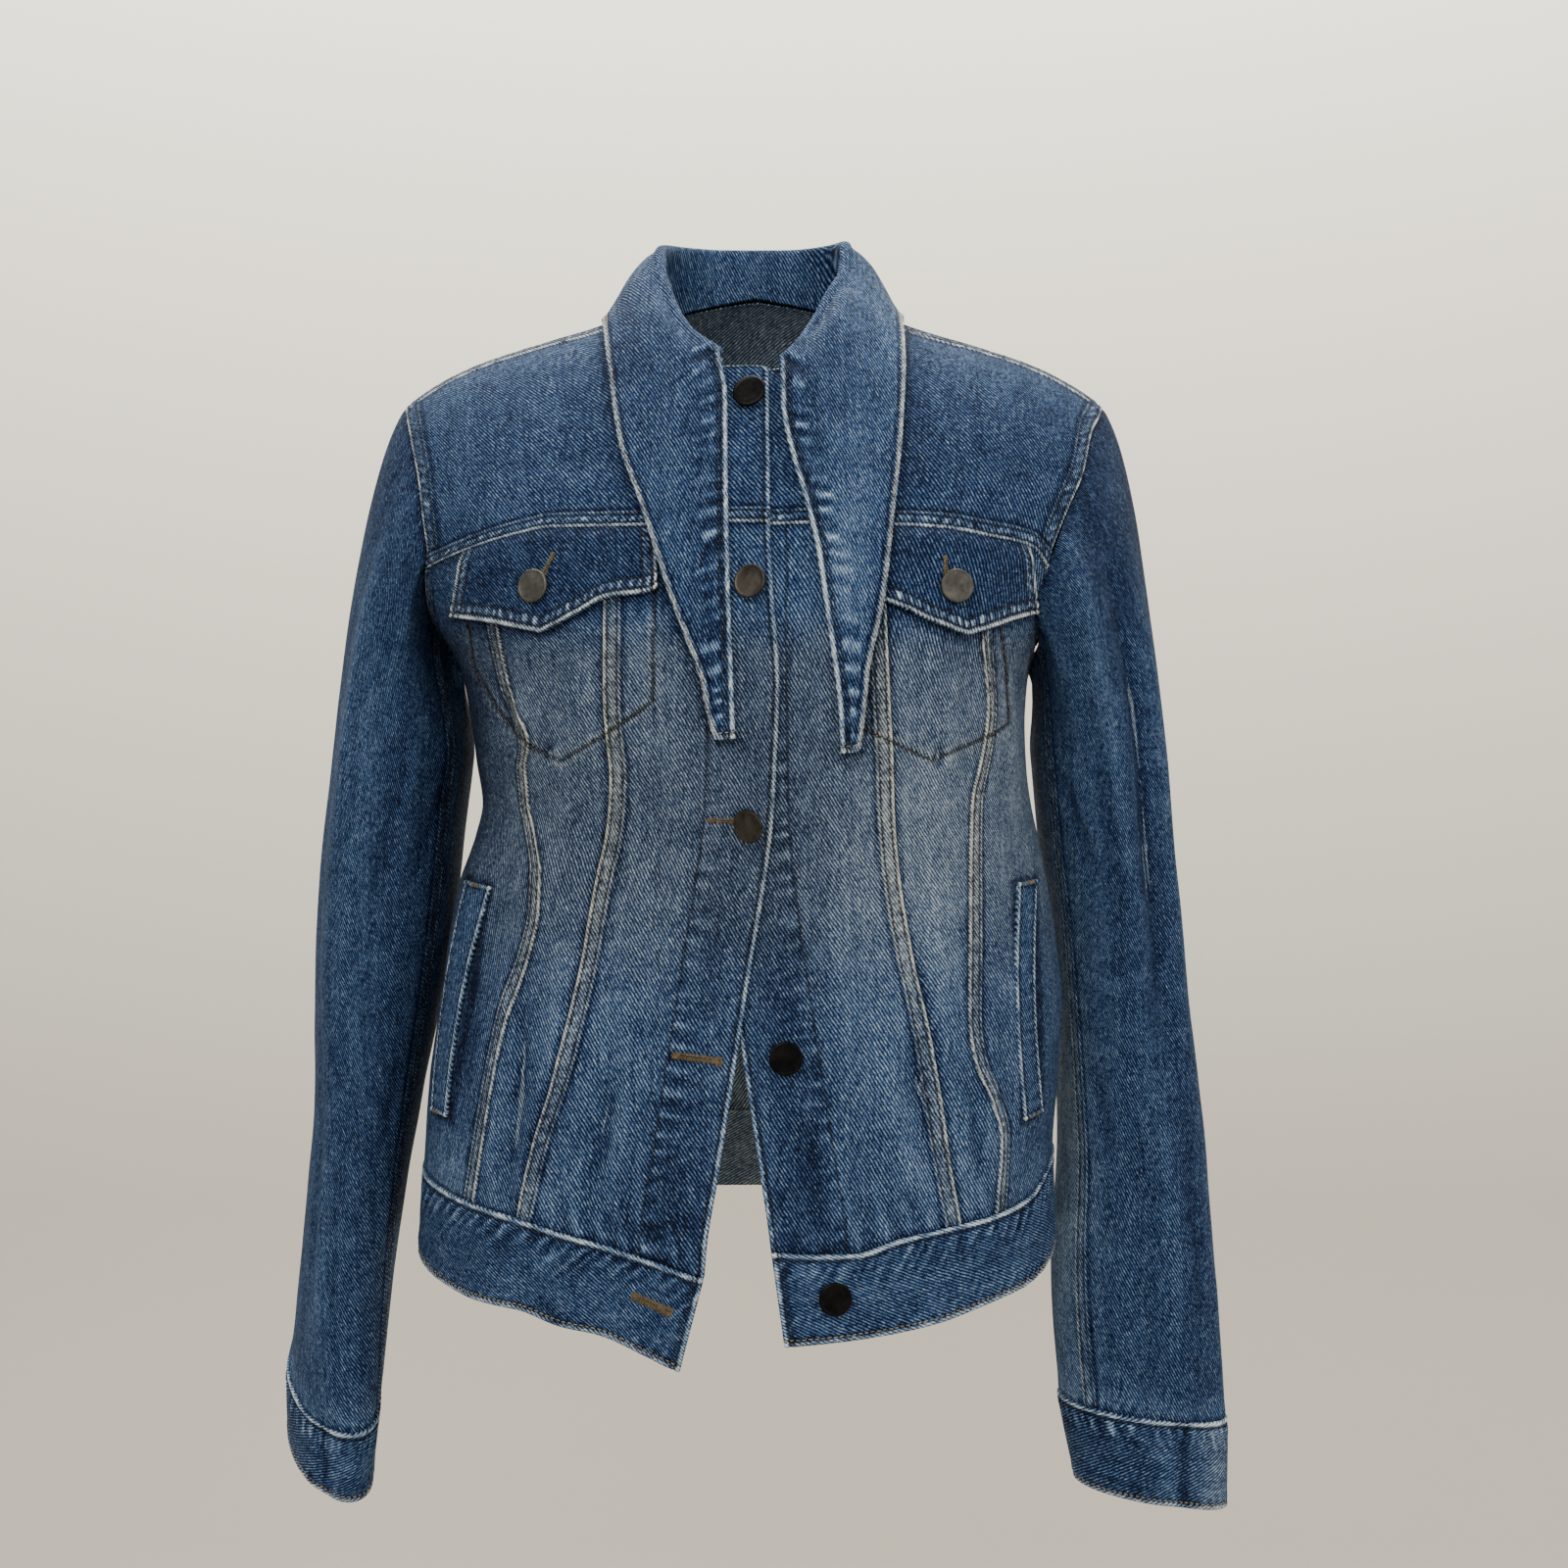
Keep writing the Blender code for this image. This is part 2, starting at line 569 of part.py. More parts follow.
top = spot(np.linspace(float(base_torso(*back["r"]["seam"][-1])[0]),
                       float(base_torso(*back["l"]["seam"][-1])[0]), BACK_COLS),
           BACK_YOKE, False)
low_line = waist_spot(np.linspace(back["r"]["seam"][0, 0], back["l"]["seam"][0, 0], BACK_COLS))
cloth("back_center", coons(low_line, top, back["r"]["seam"], back["l"]["seam"]))

bottom = np.concatenate([back["r"]["part"][:-1], top, back["l"]["part"][::-1][1:]])
yoke_rows = 8
arm_r = on_curve(back["r"]["arm_b"], yoke_rows, back["r"]["corner"], 1.0)
arm_l = on_curve(back["l"]["arm_b"], yoke_rows, back["l"]["corner"], 1.0)
neck_cols = len(bottom) - 8
xs = np.concatenate([np.linspace(-0.1925, -0.062, 5)[:-1],
                     -0.062 * np.cos(np.linspace(0, math.pi, neck_cols)),
                     np.linspace(0.062, 0.1925, 5)[1:]])
topline = []
dips = []
for x in xs:
    radius = float(shoulder(x) - BACK_Z0)
    angle = 90.0 if abs(x) >= 0.0619 else float(pchip(NECK_BACK, 1, abs(x)))
    zz = BACK_Z0 + radius * math.sin(math.radians(angle)) - 1e-9
    high = BACK_Z0 + radius * math.pi / 2
    topline.append((float(spot(x, zz, False)[0]), high))
    dips.append(high - BACK_Z0 - radius * math.radians(angle))
topline = np.array(topline)
topline[0] = arm_r[-1]
topline[-1] = arm_l[-1]
grid = coons(bottom, topline, arm_r, arm_l)
grid[..., 1] -= np.linspace(0, 1, yoke_rows)[:, None] ** 3 * np.array(dips)
cloth("back_yoke", grid)

# ------------------------------------------------------- the waistband
alphas = [np.linspace(panels["l"]["edge"][0, 0] + 0.0, panels["l"]["inner"][0, 0], CENTRE_COLS)]
alphas.append(np.linspace(panels["l"]["inner"][0, 0], panels["l"]["outer"][0, 0], MID_COLS))
alphas.append(np.linspace(panels["l"]["outer"][0, 0], 0.0, panels["l"]["side_cols"]))
alphas.append(np.linspace(0.0, back["l"]["seam"][0, 0] - 2 * math.pi, back["l"]["cols"]))
alphas.append(np.linspace(back["l"]["seam"][0, 0], back["r"]["seam"][0, 0], BACK_COLS) - 2 * math.pi)
alphas.append(np.linspace(back["r"]["seam"][0, 0], math.pi, back["r"]["cols"]) - 2 * math.pi)
alphas.append(np.linspace(math.pi, panels["r"]["outer"][0, 0], panels["r"]["side_cols"])
              - 2 * math.pi)
alphas.append(np.linspace(panels["r"]["outer"][0, 0], panels["r"]["inner"][0, 0], MID_COLS)
              - 2 * math.pi)
alphas.append(np.linspace(panels["r"]["inner"][0, 0], panels["r"]["edge"][0, 0], CENTRE_COLS)
              - 2 * math.pi)
turn = np.concatenate([a[:-1] for a in alphas] + [alphas[-1][-1:]])
count = len(turn)
share = np.linspace(0, 1, count)
band = []
BAND_ROWS = 4
END_LEAN = {"l": 0.032, "r": 0.058}      # turn of each end from top to bottom
for i in range(BAND_ROWS):
    v = i / (BAND_ROWS - 1)
    a = turn - END_LEAN["l"] * v * ease((0.10 - share) / 0.10)
    a = a + END_LEAN["r"] * v * ease((share - 0.90) / 0.10)
    real = a % (2 * math.pi)
    z = (1 - v) * waist_height(real, 1) + v * waist_height(real, 2)
    band.append(np.stack([real, z], -1))
band = np.array(band)
p = np.empty(band.shape[:2] + (3,))
n = np.empty_like(p)
for j in range(count):
    layer = -1 if share[j] < 0.3 else (1 if share[j] > 0.7 else 0)
    a, h = band[:, j, 0], band[:, j, 1]
    p[:, j] = torso(a, h, layer, 0.0006)
    n[:, j] = normals(torso, a, h, layer, 0.0006)
q = p.copy()
q[0] += 2 * HALF_GAP * unit(p[1] - p[0])
wall("waistband", q, q - n * DOUBLE)

# -------------------------------------------------- flaps, hand pockets
# outline x from the centre and z: top, bottom from the armhole side
FLAP = {
    "r": dict(top=[(0.1500, -0.1420), (0.1260, -0.1368), (0.1030, -0.1338),
                   (0.0740, -0.1334), (0.0465, -0.1334)],
              low=[(0.1552, -0.1710), (0.1305, -0.1750), (0.1122, -0.1790),
                   (0.1043, -0.1803), (0.0873, -0.1726), (0.0718, -0.1643),
                   (0.0495, -0.1610), (0.0461, -0.1585)]),
    "l": dict(top=[(0.1440, -0.1440), (0.1220, -0.1375), (0.1000, -0.1342),
                   (0.0740, -0.1332), (0.0465, -0.1332)],
              low=[(0.1465, -0.1690), (0.1337, -0.1724), (0.1155, -0.1787),
                   (0.1041, -0.1817), (0.0908, -0.1769), (0.0777, -0.1702),
                   (0.0600, -0.1640), (0.0461, -0.1600)]),
}
for sign, tag in ((-1, "r"), (1, "l")):
    outline = FLAP[tag]
    flap_cols, flap_rows = 9, 4
    pts = [np.array([(sign * x, z) for x, z in outline[k]]) for k in ("low", "top")]
    rows = []
    for line in pts:
        t = np.linspace(0, 1, flap_cols)
        rows.append(along(line, t))
    low_x = rows[0]
    low_x[4] = (sign * 0.1043, -0.1810)
    v = np.linspace(0, 1, flap_rows)[:, None, None]
    flat = (1 - v) * low_x[None] + v * rows[1][None]
    grid = spot(flat[..., 0], flat[..., 1])
    a, h = grid[..., 0], grid[..., 1]
    open_cols = ease(np.linspace(2.2, 0, flap_cols))[None, :]
    rise = 0.0006 + 0.0014 * np.linspace(1, 0, flap_rows)[:, None] ** 2 * open_cols
    p0 = torso(a, h)
    n0 = normals(torso, a, h)
    under = p0 + n0 * rise[..., None]
    wall("flap_" + tag, under + n0 * 0.0020, under)

# corners (x from the centre, z): top outer, top inner, low inner, low outer
WELT = {
    "r": [(0.1535, -0.3120), (0.1390, -0.3130), (0.1620, -0.4370), (0.1725, -0.4370)],
    "l": [(0.1500, -0.3110), (0.1385, -0.3110), (0.1420, -0.4370), (0.1535, -0.4350)],
}
WELT_BOW = {"r": 0.0035, "l": -0.0035}
for sign, tag in ((-1, "r"), (1, "l")):
    c = np.array(WELT[tag]) * (sign, 1)
    rows = []
    for v in np.linspace(0, 1, 9):
        bow = np.array([sign * WELT_BOW[tag] * math.sin(math.pi * v), 0])
        a = (1 - v) * c[0] + v * c[3] + bow
        b = (1 - v) * c[1] + v * c[2] + bow
        rows.append([a + (b - a) * u for u in np.linspace(0, 1, 3)])
    flat = np.array(rows)
    grid = spot(flat[..., 0], flat[..., 1])
    a, h = grid[..., 0], grid[..., 1]
    p0 = torso(a, h, -sign)
    n0 = normals(torso, a, h, -sign)
    wall("welt_" + tag, p0 + n0 * 0.0020, p0 + n0 * 0.0004)

# ---------------------------------------------------------- the collar
# place along the half collar, fold x y z, outer edge x y z
COLLAR = {
    "r": np.array([
        (0.00, 0.0000, 0.0540, 0.0410, 0.0000, 0.0780, -0.0200),
        (0.12, 0.0200, 0.0505, 0.0405, 0.0300, 0.0765, -0.0190),
        (0.24, 0.0370, 0.0385, 0.0395, 0.0560, 0.0610, -0.0165),
        (0.36, 0.0480, 0.0185, 0.0370, 0.0760, 0.0380, -0.0115),
        (0.46, 0.0515, -0.0020, 0.0325, 0.0840, 0.0110, -0.0070),
        (0.56, 0.0505, -0.0200, 0.0210, 0.0815, -0.0200, -0.0100),
        (0.66, 0.0465, -0.0380, 0.0060, 0.0755, -0.0620, -0.0400),
        (0.76, 0.0400, -0.0540, -0.0095, 0.0675, -0.0930, -0.0850),
        (0.84, 0.0325, -0.0660, -0.0210, 0.0555, -0.1100, -0.1180),
        (0.91, 0.0245, -0.0768, -0.0285, 0.0400, -0.1270, -0.1650),
        (0.96, 0.0195, -0.0810, -0.0322, 0.0255, -0.1320, -0.2030),
        (0.99, 0.0168, -0.0827, -0.0340, 0.0172, -0.1316, -0.2345),
        (1.00, 0.0159, -0.0830, -0.0345, 0.0075, -0.1320, -0.2335)]),
    "l": np.array([
        (0.00, 0.0000, 0.0540, 0.0410, 0.0000, 0.0780, -0.0200),
        (0.12, 0.0200, 0.0505, 0.0405, 0.0300, 0.0765, -0.0190),
        (0.24, 0.0370, 0.0385, 0.0400, 0.0560, 0.0610, -0.0165),
        (0.36, 0.0475, 0.0185, 0.0385, 0.0760, 0.0380, -0.0105),
        (0.46, 0.0505, -0.0020, 0.0350, 0.0825, 0.0110, -0.0050),
        (0.56, 0.0487, -0.0200, 0.0180, 0.0802, -0.0220, -0.0080),
        (0.66, 0.0410, -0.0380, 0.0030, 0.0800, -0.0560, -0.0350),
        (0.76, 0.0335, -0.0510, -0.0120, 0.0770, -0.0880, -0.0790),
        (0.84, 0.0265, -0.0655, -0.0240, 0.0715, -0.1080, -0.1250),
        (0.91, 0.0205, -0.0775, -0.0325, 0.0665, -0.1200, -0.1650),
        (0.96, 0.0170, -0.0825, -0.0368, 0.0595, -0.1260, -0.1970),
        (0.99, 0.0147, -0.0848, -0.0388, 0.0531, -0.1265, -0.2405),
        (1.00, 0.0139, -0.0852, -0.0394, 0.0442, -0.1280, -0.2410)]),
}
# how far the front edge bows sideways down its length
BOW = {
    "r": np.array([(0, 0), (0.10, 0.0034), (0.24, 0.0029), (0.52, 0.0014), (1, 0)]),
    "l": np.array([(0, 0), (0.18, -0.0044), (0.32, -0.0014), (0.49, 0.0024),
                   (0.83, 0.0027), (1, 0)]),
}
ROLL = 0.0023
HALF = 0.0011


def collar_column(tag, u, fall_rows=8):
    """Middle line of the collar cloth: neck seam, fold, outer edge."""
    sign = -1 if tag == "r" else 1
    t = COLLAR[tag]
    fold = np.array([float(pchip(t, k, u)) for k in (1, 2, 3)])
    edge = np.array([float(pchip(t, k, u)) for k in (4, 5, 6)])
    away = unit(np.array([fold[0], fold[1] + 0.012, 0.0]))
    up = np.array([0.0, 0.0, 1.0])
    if fold[1] < -0.06:
        k = min(1.0, (-0.06 - fold[1]) / 0.022)
        up = unit(np.array([0.0, 0.45 * k, 1.0]))
        away = unit(away - up * float(np.dot(away, up)))
    middle = fold - up * ROLL
    # foot of the stand on the neckline
    angle_to = math.atan2(fold[0], -(fold[1] + 0.004))
    foot = None
    best = 9.0
    front = fold[1] < 0.0
    row = NECK_FRONT if front else NECK_BACK
    z0 = FRONT_Z0 if front else BACK_Z0
    for d in np.linspace(0.0, 0.062, 63):
        radius = float(shoulder(d)) - z0
        ang = math.radians(float(pchip(row, 1, d)))
        z = z0 + radius * math.sin(ang)
        depth = (-float(pchip(BODY, 3, z)) if front else float(pchip(BODY, 4, z)))
        y = depth * math.cos(ang)
        miss = abs(math.atan2(d, -(y + 0.004)) - angle_to)
        if miss < best:
            best = miss
            foot = np.array([d, y, z])
    ahead = float(ease((0.01 - fold[1]) / 0.03))
    under = float(ease((0.032 - foot[0]) / 0.016)) * ahead * (1.0 if tag == "l" else 0.0)
    foot = foot - away * (0.0021 + 0.0015 * ahead + 0.0012 * under)
    foot = foot + up * (0.0008 + 0.0012 * ahead + 0.0006 * under)
    path = []
    inner = middle - away * ROLL
    for k in range(3):
        path.append(foot + (inner - foot) * (k / 3.0))
    for k in range(5):
        a = math.pi * (1 - k / 4.0)
        path.append(middle + away * (ROLL * math.cos(a)) + up * (ROLL * math.sin(a)))
    start = middle + away * ROLL
    for k in range(1, fall_rows + 1):
        v = k / fall_rows
        p = start + (edge - start) * v
        p = p + (away * 0.004 + up * 0.003) * math.sin(math.pi * min(1, v * 1.1)) * (1 - v)
        weight = float(ease((u - 0.80) / 0.20))
        p[0] += -sign * float(pchip(BOW[tag], 1, v)) * -weight
        path.append(p)
    path = np.array(path)
    path[:, 0] *= sign
    for i in range(8, len(path)):
        x, y, z = path[i]
        keep = 0.0047 + 0.0003 * float(ease((-0.05 - z) / 0.07))
        if z < float(shoulder(x)) - 0.004:
            e = 1e-3
            if y < 0.01:
                f = float(front_y(x, z))
                slope = (float(front_y(x, z + e)) - float(front_y(x, z - e))) / (2 * e)
                turn_x = (float(front_y(x + e, z)) - float(front_y(x - e, z))) / (2 * e)
                reach = min(2.6, math.sqrt(1 + slope ** 2 + turn_x ** 2))
                limit = f - keep * reach
                gap = (y - limit) / 0.003
                path[i, 1] = limit + 0.003 * (gap if gap < -6 else -math.log1p(math.exp(-gap)))
            else:
                f = float(back_y(x, z))
                slope = (float(back_y(x, z + e)) - float(back_y(x, z - e))) / (2 * e)
                reach = min(2.6, math.sqrt(1 + slope ** 2))
                limit = f + 0.0024 * reach
                path[i, 1] = max(y, limit)
    return path


places = [0.0, 0.09, 0.18, 0.27, 0.36, 0.44, 0.50, 0.56, 0.62, 0.68, 0.74, 0.80,
          0.86, 0.91, 0.95, 0.985, 1.0]
columns = [collar_column("r", u) for u in reversed(places)]
columns += [collar_column("l", u) for u in places[1:]]
mid = np.array(columns).transpose(1, 0, 2)
du = np.gradient(mid, axis=1)
dv = np.gradient(mid, axis=0)
n = unit(np.cross(dv, du))
if n[10, 16, 1] < 0:
    n = -n
wall("collar", mid + n * HALF, mid - n * HALF)

# --------------------------------------------------------- the sleeves
# height, centre from the body, centre y, half x, half y, turn (degrees),
# rise outwards, rise backwards
SLEEVE = {
    "r": np.array([
        (-0.660, 0.2440, 0.0100, 0.0215, 0.0430, 25.0, 0.10, 0.26),
        (-0.618, 0.2425, 0.0110, 0.0245, 0.0465, 23.0, 0.12, 0.30),
        (-0.590, 0.2390, 0.0120, 0.0258, 0.0480, 18.0, 0.08, 0.22),
        (-0.540, 0.2330, 0.0130, 0.0270, 0.0500, 11.0, 0.04, 0.12),
        (-0.490, 0.2265, 0.0140, 0.0280, 0.0520, 6.0, 0.01, 0.04),
        (-0.440, 0.2195, 0.0150, 0.0300, 0.0540, 4.0, 0.00, 0.00),
        (-0.395, 0.2145, 0.0150, 0.0340, 0.0560, 2.0, 0.00, 0.00),
        (-0.345, 0.2090, 0.0140, 0.0375, 0.0580, 0.0, 0.00, 0.00),
        (-0.300, 0.2045, 0.0130, 0.0385, 0.0600, 0.0, 0.00, 0.00),
        (-0.250, 0.1980, 0.0120, 0.0385, 0.0620, 0.0, 0.00, 0.00),
        (-0.200, 0.1930, 0.0120, 0.0385, 0.0620, 0.0, 0.00, 0.00)]),
    "l": np.array([
        (-0.670, 0.2270, 0.0140, 0.0440, 0.0230, -15.0, -0.18, 0.00),
        (-0.620, 0.2220, 0.0160, 0.0480, 0.0300, -15.0, -0.13, 0.00),
        (-0.580, 0.2190, 0.0190, 0.0475, 0.0360, -12.0, -0.07, 0.00),
        (-0.530, 0.2165, 0.0240, 0.0450, 0.0420, -8.0, -0.04, 0.00),
        (-0.480, 0.2160, 0.0290, 0.0412, 0.0470, -5.0, -0.02, 0.00),
        (-0.425, 0.2130, 0.0330, 0.0390, 0.0520, -2.0, 0.00, 0.00),
        (-0.380, 0.2095, 0.0350, 0.0372, 0.0560, 0.0, 0.00, 0.00),
        (-0.340, 0.2055, 0.0330, 0.0370, 0.0580, 0.0, 0.00, 0.00),
        (-0.300, 0.2000, 0.0290, 0.0370, 0.0600, 0.0, 0.00, 0.00),
        (-0.250, 0.1940, 0.0210, 0.0368, 0.0610, 0.0, 0.00, 0.00),
        (-0.200, 0.1900, 0.0210, 0.0360, 0.0610, 0.0, 0.00, 0.00)]),
}
SLEEVE_COLS = 24
RING_TOP = -0.250
CUFF_TOP = {"r": -0.6060, "l": -0.6190}
CUFF_LOW = {"r": -0.6470, "l": -0.6700}
# lengthwise folds: top and bottom angle (degrees from outside to front),
# half width in degrees, first and last height, how far out
SLEEVE_FOLDS = {
    "r": [(62, 58, 16, -0.12, -0.50, 0.0022), (30, 34, 13, -0.16, -0.45, -0.0022)],
    "l": [(60, 66, 13, -0.11, -0.47, -0.0045), (84, 88, 13, -0.10, -0.44, 0.0026),
          (30, 40, 15, -0.15, -0.52, 0.0022)],
}


def sleeve_ring(tag, theta, z):
    """Section of a sleeve; theta 0 outside, 90 front, 180 inside."""
    t = SLEEVE[tag]
    sign = -1 if tag == "r" else 1
    cx, cy = pchip(t, 1, z), pchip(t, 2, z)
    hx, hy = pchip(t, 3, z), pchip(t, 4, z)
    turn_by = np.radians(pchip(t, 5, z))
    c, s = np.cos(theta), np.sin(theta)
    a = hx * np.sign(c) * np.abs(c) ** 0.92
    b = -hy * np.sign(s) * np.abs(s) ** 0.92
    x = a * np.cos(turn_by) + b * np.sin(turn_by)
    y = b * np.cos(turn_by) - a * np.sin(turn_by) * 0.35
    tilt = pchip(t, 6, z) * x + pchip(t, 7, z) * y
    return np.stack([sign * (cx + x), cy + y, z + tilt], -1)


def sleeve_point(tag, theta, w):
    """w 0 at the armhole, 1 at the ring below the arm, then down."""
    sign = -1 if tag == "r" else 1
    theta = np.asarray(theta, float) % (2 * math.pi)
    theta, w = np.broadcast_arrays(theta, np.asarray(w, float))
    arm_f, arm_b = panels[tag]["arm_f"], panels[tag]["arm_b"]
    front = theta <= math.pi
    share_f = theta / math.pi
    share_b = (theta - math.pi) / math.pi
    tf = np.interp(share_f, ARM_SPACING[tag][0], ARM_SPACING[tag][1])
    tb = np.interp(share_b, ARM_SPACING[tag][2], ARM_SPACING[tag][3])
    ff = along(arm_f, tf)
    fb = along(arm_b, tb)
    pick = np.where(front[..., None], ff, fb)
    start = base_torso(pick[..., 0], pick[..., 1])
    ring = sleeve_ring(tag, theta, np.full(theta.shape, RING_TOP))
    away = np.array([sign * 1.0, 0.0, 0.0])
    top = 0.5 + 0.5 * np.cos(theta)
    start = start + away * (0.0003 + 0.0007 * (1 - top[..., None]))
    chord = ring - start
    size = np.linalg.norm(chord, axis=-1, keepdims=True)
    first = unit(unit(chord) + away * 0.50)
    p1 = start + first * size * 0.19
    p2 = ring + np.array([-0.12 * sign, 0, 1.0]) * size * 0.30
    v = np.clip(w, 0, 1)[..., None]
    crown = (start * (1 - v) ** 3 + 3 * p1 * v * (1 - v) ** 2
             + 3 * p2 * v * v * (1 - v) + ring * v ** 3)
    z = RING_TOP + np.clip(w - 1, 0, 1) * (CUFF_TOP[tag] - RING_TOP)
    lower = sleeve_ring(tag, theta, z)
    return np.where((w > 1)[..., None], lower, crown)


def sleeve(tag, theta, w, out=0.0):
    """Outer face of the sleeve with its lengthwise folds."""
    p = sleeve_point(tag, theta, w)
    e = 1e-3
    dt = sleeve_point(tag, theta + e, w) - sleeve_point(tag, theta - e, w)
    back_w = np.clip(np.asarray(w, float) - e, 0, 2)
    dw = sleeve_point(tag, theta, np.asarray(w, float) + e) - sleeve_point(tag, theta, back_w)
    n = unit(np.cross(dt, dw)) * (-1.0 if tag == "r" else 1.0)
    far = np.zeros(p.shape[:-1])
    deg = np.degrees(theta) % 360
    for a0, a1, wide, z0, z1, amount in SLEEVE_FOLDS[tag]:
        t = np.clip((z0 - p[..., 2]) / (z0 - z1), 0, 1)
        miss = (deg - (a0 + (a1 - a0) * t) + 180) % 360 - 180
        ends = ease((z0 - p[..., 2]) / 0.05) * ease((p[..., 2] - z1) / 0.10)
        far = far + amount * np.exp(-(miss / wide) ** 2) * ends
    return p + n * (far + out)[..., None], n


ARM_SPACING = {}
for tag in ("r", "l"):
    item = []
    for pts in (panels[tag]["arm_f"], panels[tag]["arm_b"]):
        t = np.linspace(0, 1, 600)
        line = along(pts, t)
        p = base_torso(line[:, 0], line[:, 1])
        s = np.concatenate([[0], np.cumsum(np.linalg.norm(np.diff(p, axis=0), axis=1))])
        item += [s / s[-1], t]
    ARM_SPACING[tag] = item

SLEEVE_ROWS = [0.0, 0.12, 0.28, 0.46, 0.64, 0.82, 1.0, 1.12, 1.24, 1.36, 1.49, 1.62,
               1.75, 1.88, 2.0]
UNDER = (10, 17)         # columns of the under sleeve
CREASE = {"r": 60.0, "l": 76.0}         # where each cuff is dented, degrees
for sign, tag in ((-1, "r"), (1, "l")):
    w = np.array(SLEEVE_ROWS)[:, None]
    for piece, cols in (("upper", range(UNDER[1] - SLEEVE_COLS, UNDER[0] + 1)),
                        ("under", range(UNDER[0], UNDER[1] + 1))):
        theta = np.array([2 * math.pi * k / SLEEVE_COLS for k in cols])[None, :]
        theta = theta + 0 * w
        ww = w + 0 * theta
        p, n = sleeve(tag, theta, ww)
        q = p.copy()
        q[0] += 0.0005 * unit(p[1] - p[0])
        q[-1] += HALF_GAP * unit(p[-2] - p[-1])
        q[:, 0] += HALF_GAP * unit(p[:, 1] - p[:, 0])
        q[:, -1] += HALF_GAP * unit(p[:, -2] - p[:, -1])
        wall("sleeve_" + piece + "_" + tag, q, q - n * CLOTH)

    # cuff: a band set on 0.6 mm outside the sleeve
    theta = np.array([2 * math.pi * k / SLEEVE_COLS for k in range(SLEEVE_COLS)])
    ring_z = np.linspace(CUFF_TOP[tag], CUFF_LOW[tag], 4)
    rows = []
    for i, z in enumerate(ring_z):
        ring = sleeve_ring(tag, theta, np.full(theta.shape, z))
        centre = ring.mean(axis=0)
        flat = unit((ring - centre) * (1, 1, 0))
        miss = (np.degrees(theta) - CREASE[tag] + 180) % 360 - 180
        dent = -0.0030 * np.exp(-(miss / 14.0) ** 2)
        rows.append(ring + flat * (0.0008 + dent)[:, None])
    p = np.array(rows)
    p[0, :, 2] -= HALF_GAP
    du = np.roll(p, -1, axis=1) - np.roll(p, 1, axis=1)
    dv = np.gradient(p, axis=0)
    n = unit(np.cross(du, dv))
    if (n[1, 0, 0] < 0) == (sign > 0):
        n = -n
    wall("cuff_" + tag, p, p - n * DOUBLE, ring=True)

# --------------------------------------------------------- the buttons
# radius and height above the shank's head: rim, edge and face of a tack button
BUTTON = [(0.0026, 0.0014), (0.0076, 0.0015), (0.0086, 0.0022),
          (0.0086, 0.0030), (0.0078, 0.0037)]
SIDES = 14


def circle(centre, axis, radius):
    side = unit(np.cross(axis, (0, 0, 1.0)))
    other = np.cross(axis, side)
    turns = [2 * math.pi * k / SIDES for k in range(SIDES)]
    return [centre + (side * math.cos(a) + other * math.sin(a)) * radius for a in turns]


def button(name, foot, normal, axis, reach):
    """A disc square to its axis on a shank whose foot lies flat on the cloth."""
    axis = unit(np.asarray(axis, float))
    head = foot + normal * reach
    verts = [foot] + circle(foot, normal, BUTTON[0][0])
    for r, h in BUTTON:
        verts += circle(head + axis * h, axis, r)
    verts.append(head + axis * BUTTON[-1][1])
    faces = []
    for k in range(SIDES):
        m = (k + 1) % SIDES
        faces.append((0, 1 + m, 1 + k))
        for i in range(len(BUTTON)):
            a, b = 1 + i * SIDES, 1 + (i + 1) * SIDES
            faces.append((a + k, a + m, b + m, b + k))
        a = 1 + len(BUTTON) * SIDES
        faces.append((len(verts) - 1, a + k, a + m))
    add(name, verts, faces, METAL)


# name, x, z, layer, height of the foot above the body cloth, turn sideways (degrees)
BUTTONS = [
    ("button_neck", -0.0005, -0.0600, 1, 0.0003, -14),
    ("button_chest", 0.0005, -0.1570, 1, 0.0003, -26),
    ("button_waist", 0.0000, -0.2755, 1, 0.0003, -34),
    ("button_lower", 0.0174, -0.3955, -1, 0.0003, 0),
    ("button_band", 0.0417, -0.5160, -1, 0.0009, 4),
    ("button_flap_r", -0.1074, -0.1580, 0, 0.0034, -4),
    ("button_flap_l", 0.1010, -0.1577, 0, 0.0034, -12),
]
for name, x, z, layer, rise, lean in BUTTONS:
    a, h = spot(x, z)
    p = torso(a, h, layer, rise)
    n = normals(torso, a, h, layer, rise)
    turn_by = math.radians(lean)
    c, s = math.cos(turn_by), math.sin(turn_by)
    axis = np.array([n[0] * c - n[1] * s, n[0] * s + n[1] * c, n[2]])
    # a tilted disc needs a longer shank to clear the cloth
    steep = abs(math.sin(turn_by))
    button(name, p, n, axis, 0.0026 * steep + 0.0076 * max(0.0, steep - 0.19))
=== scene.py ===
"""Denim jacket: the looks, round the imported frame.

Metres, +Z up, the front faces -Y, the wearer's right is -X (names end
in _r).  Every panel is a thin wall on the form of its CAD node, with
finer rows: its folds, felled seams, puckers and worn edges are moved
points, its stitches are threads, and its weave is in the material.
Tables of places are in millimetres where they say mm.
"""
import math

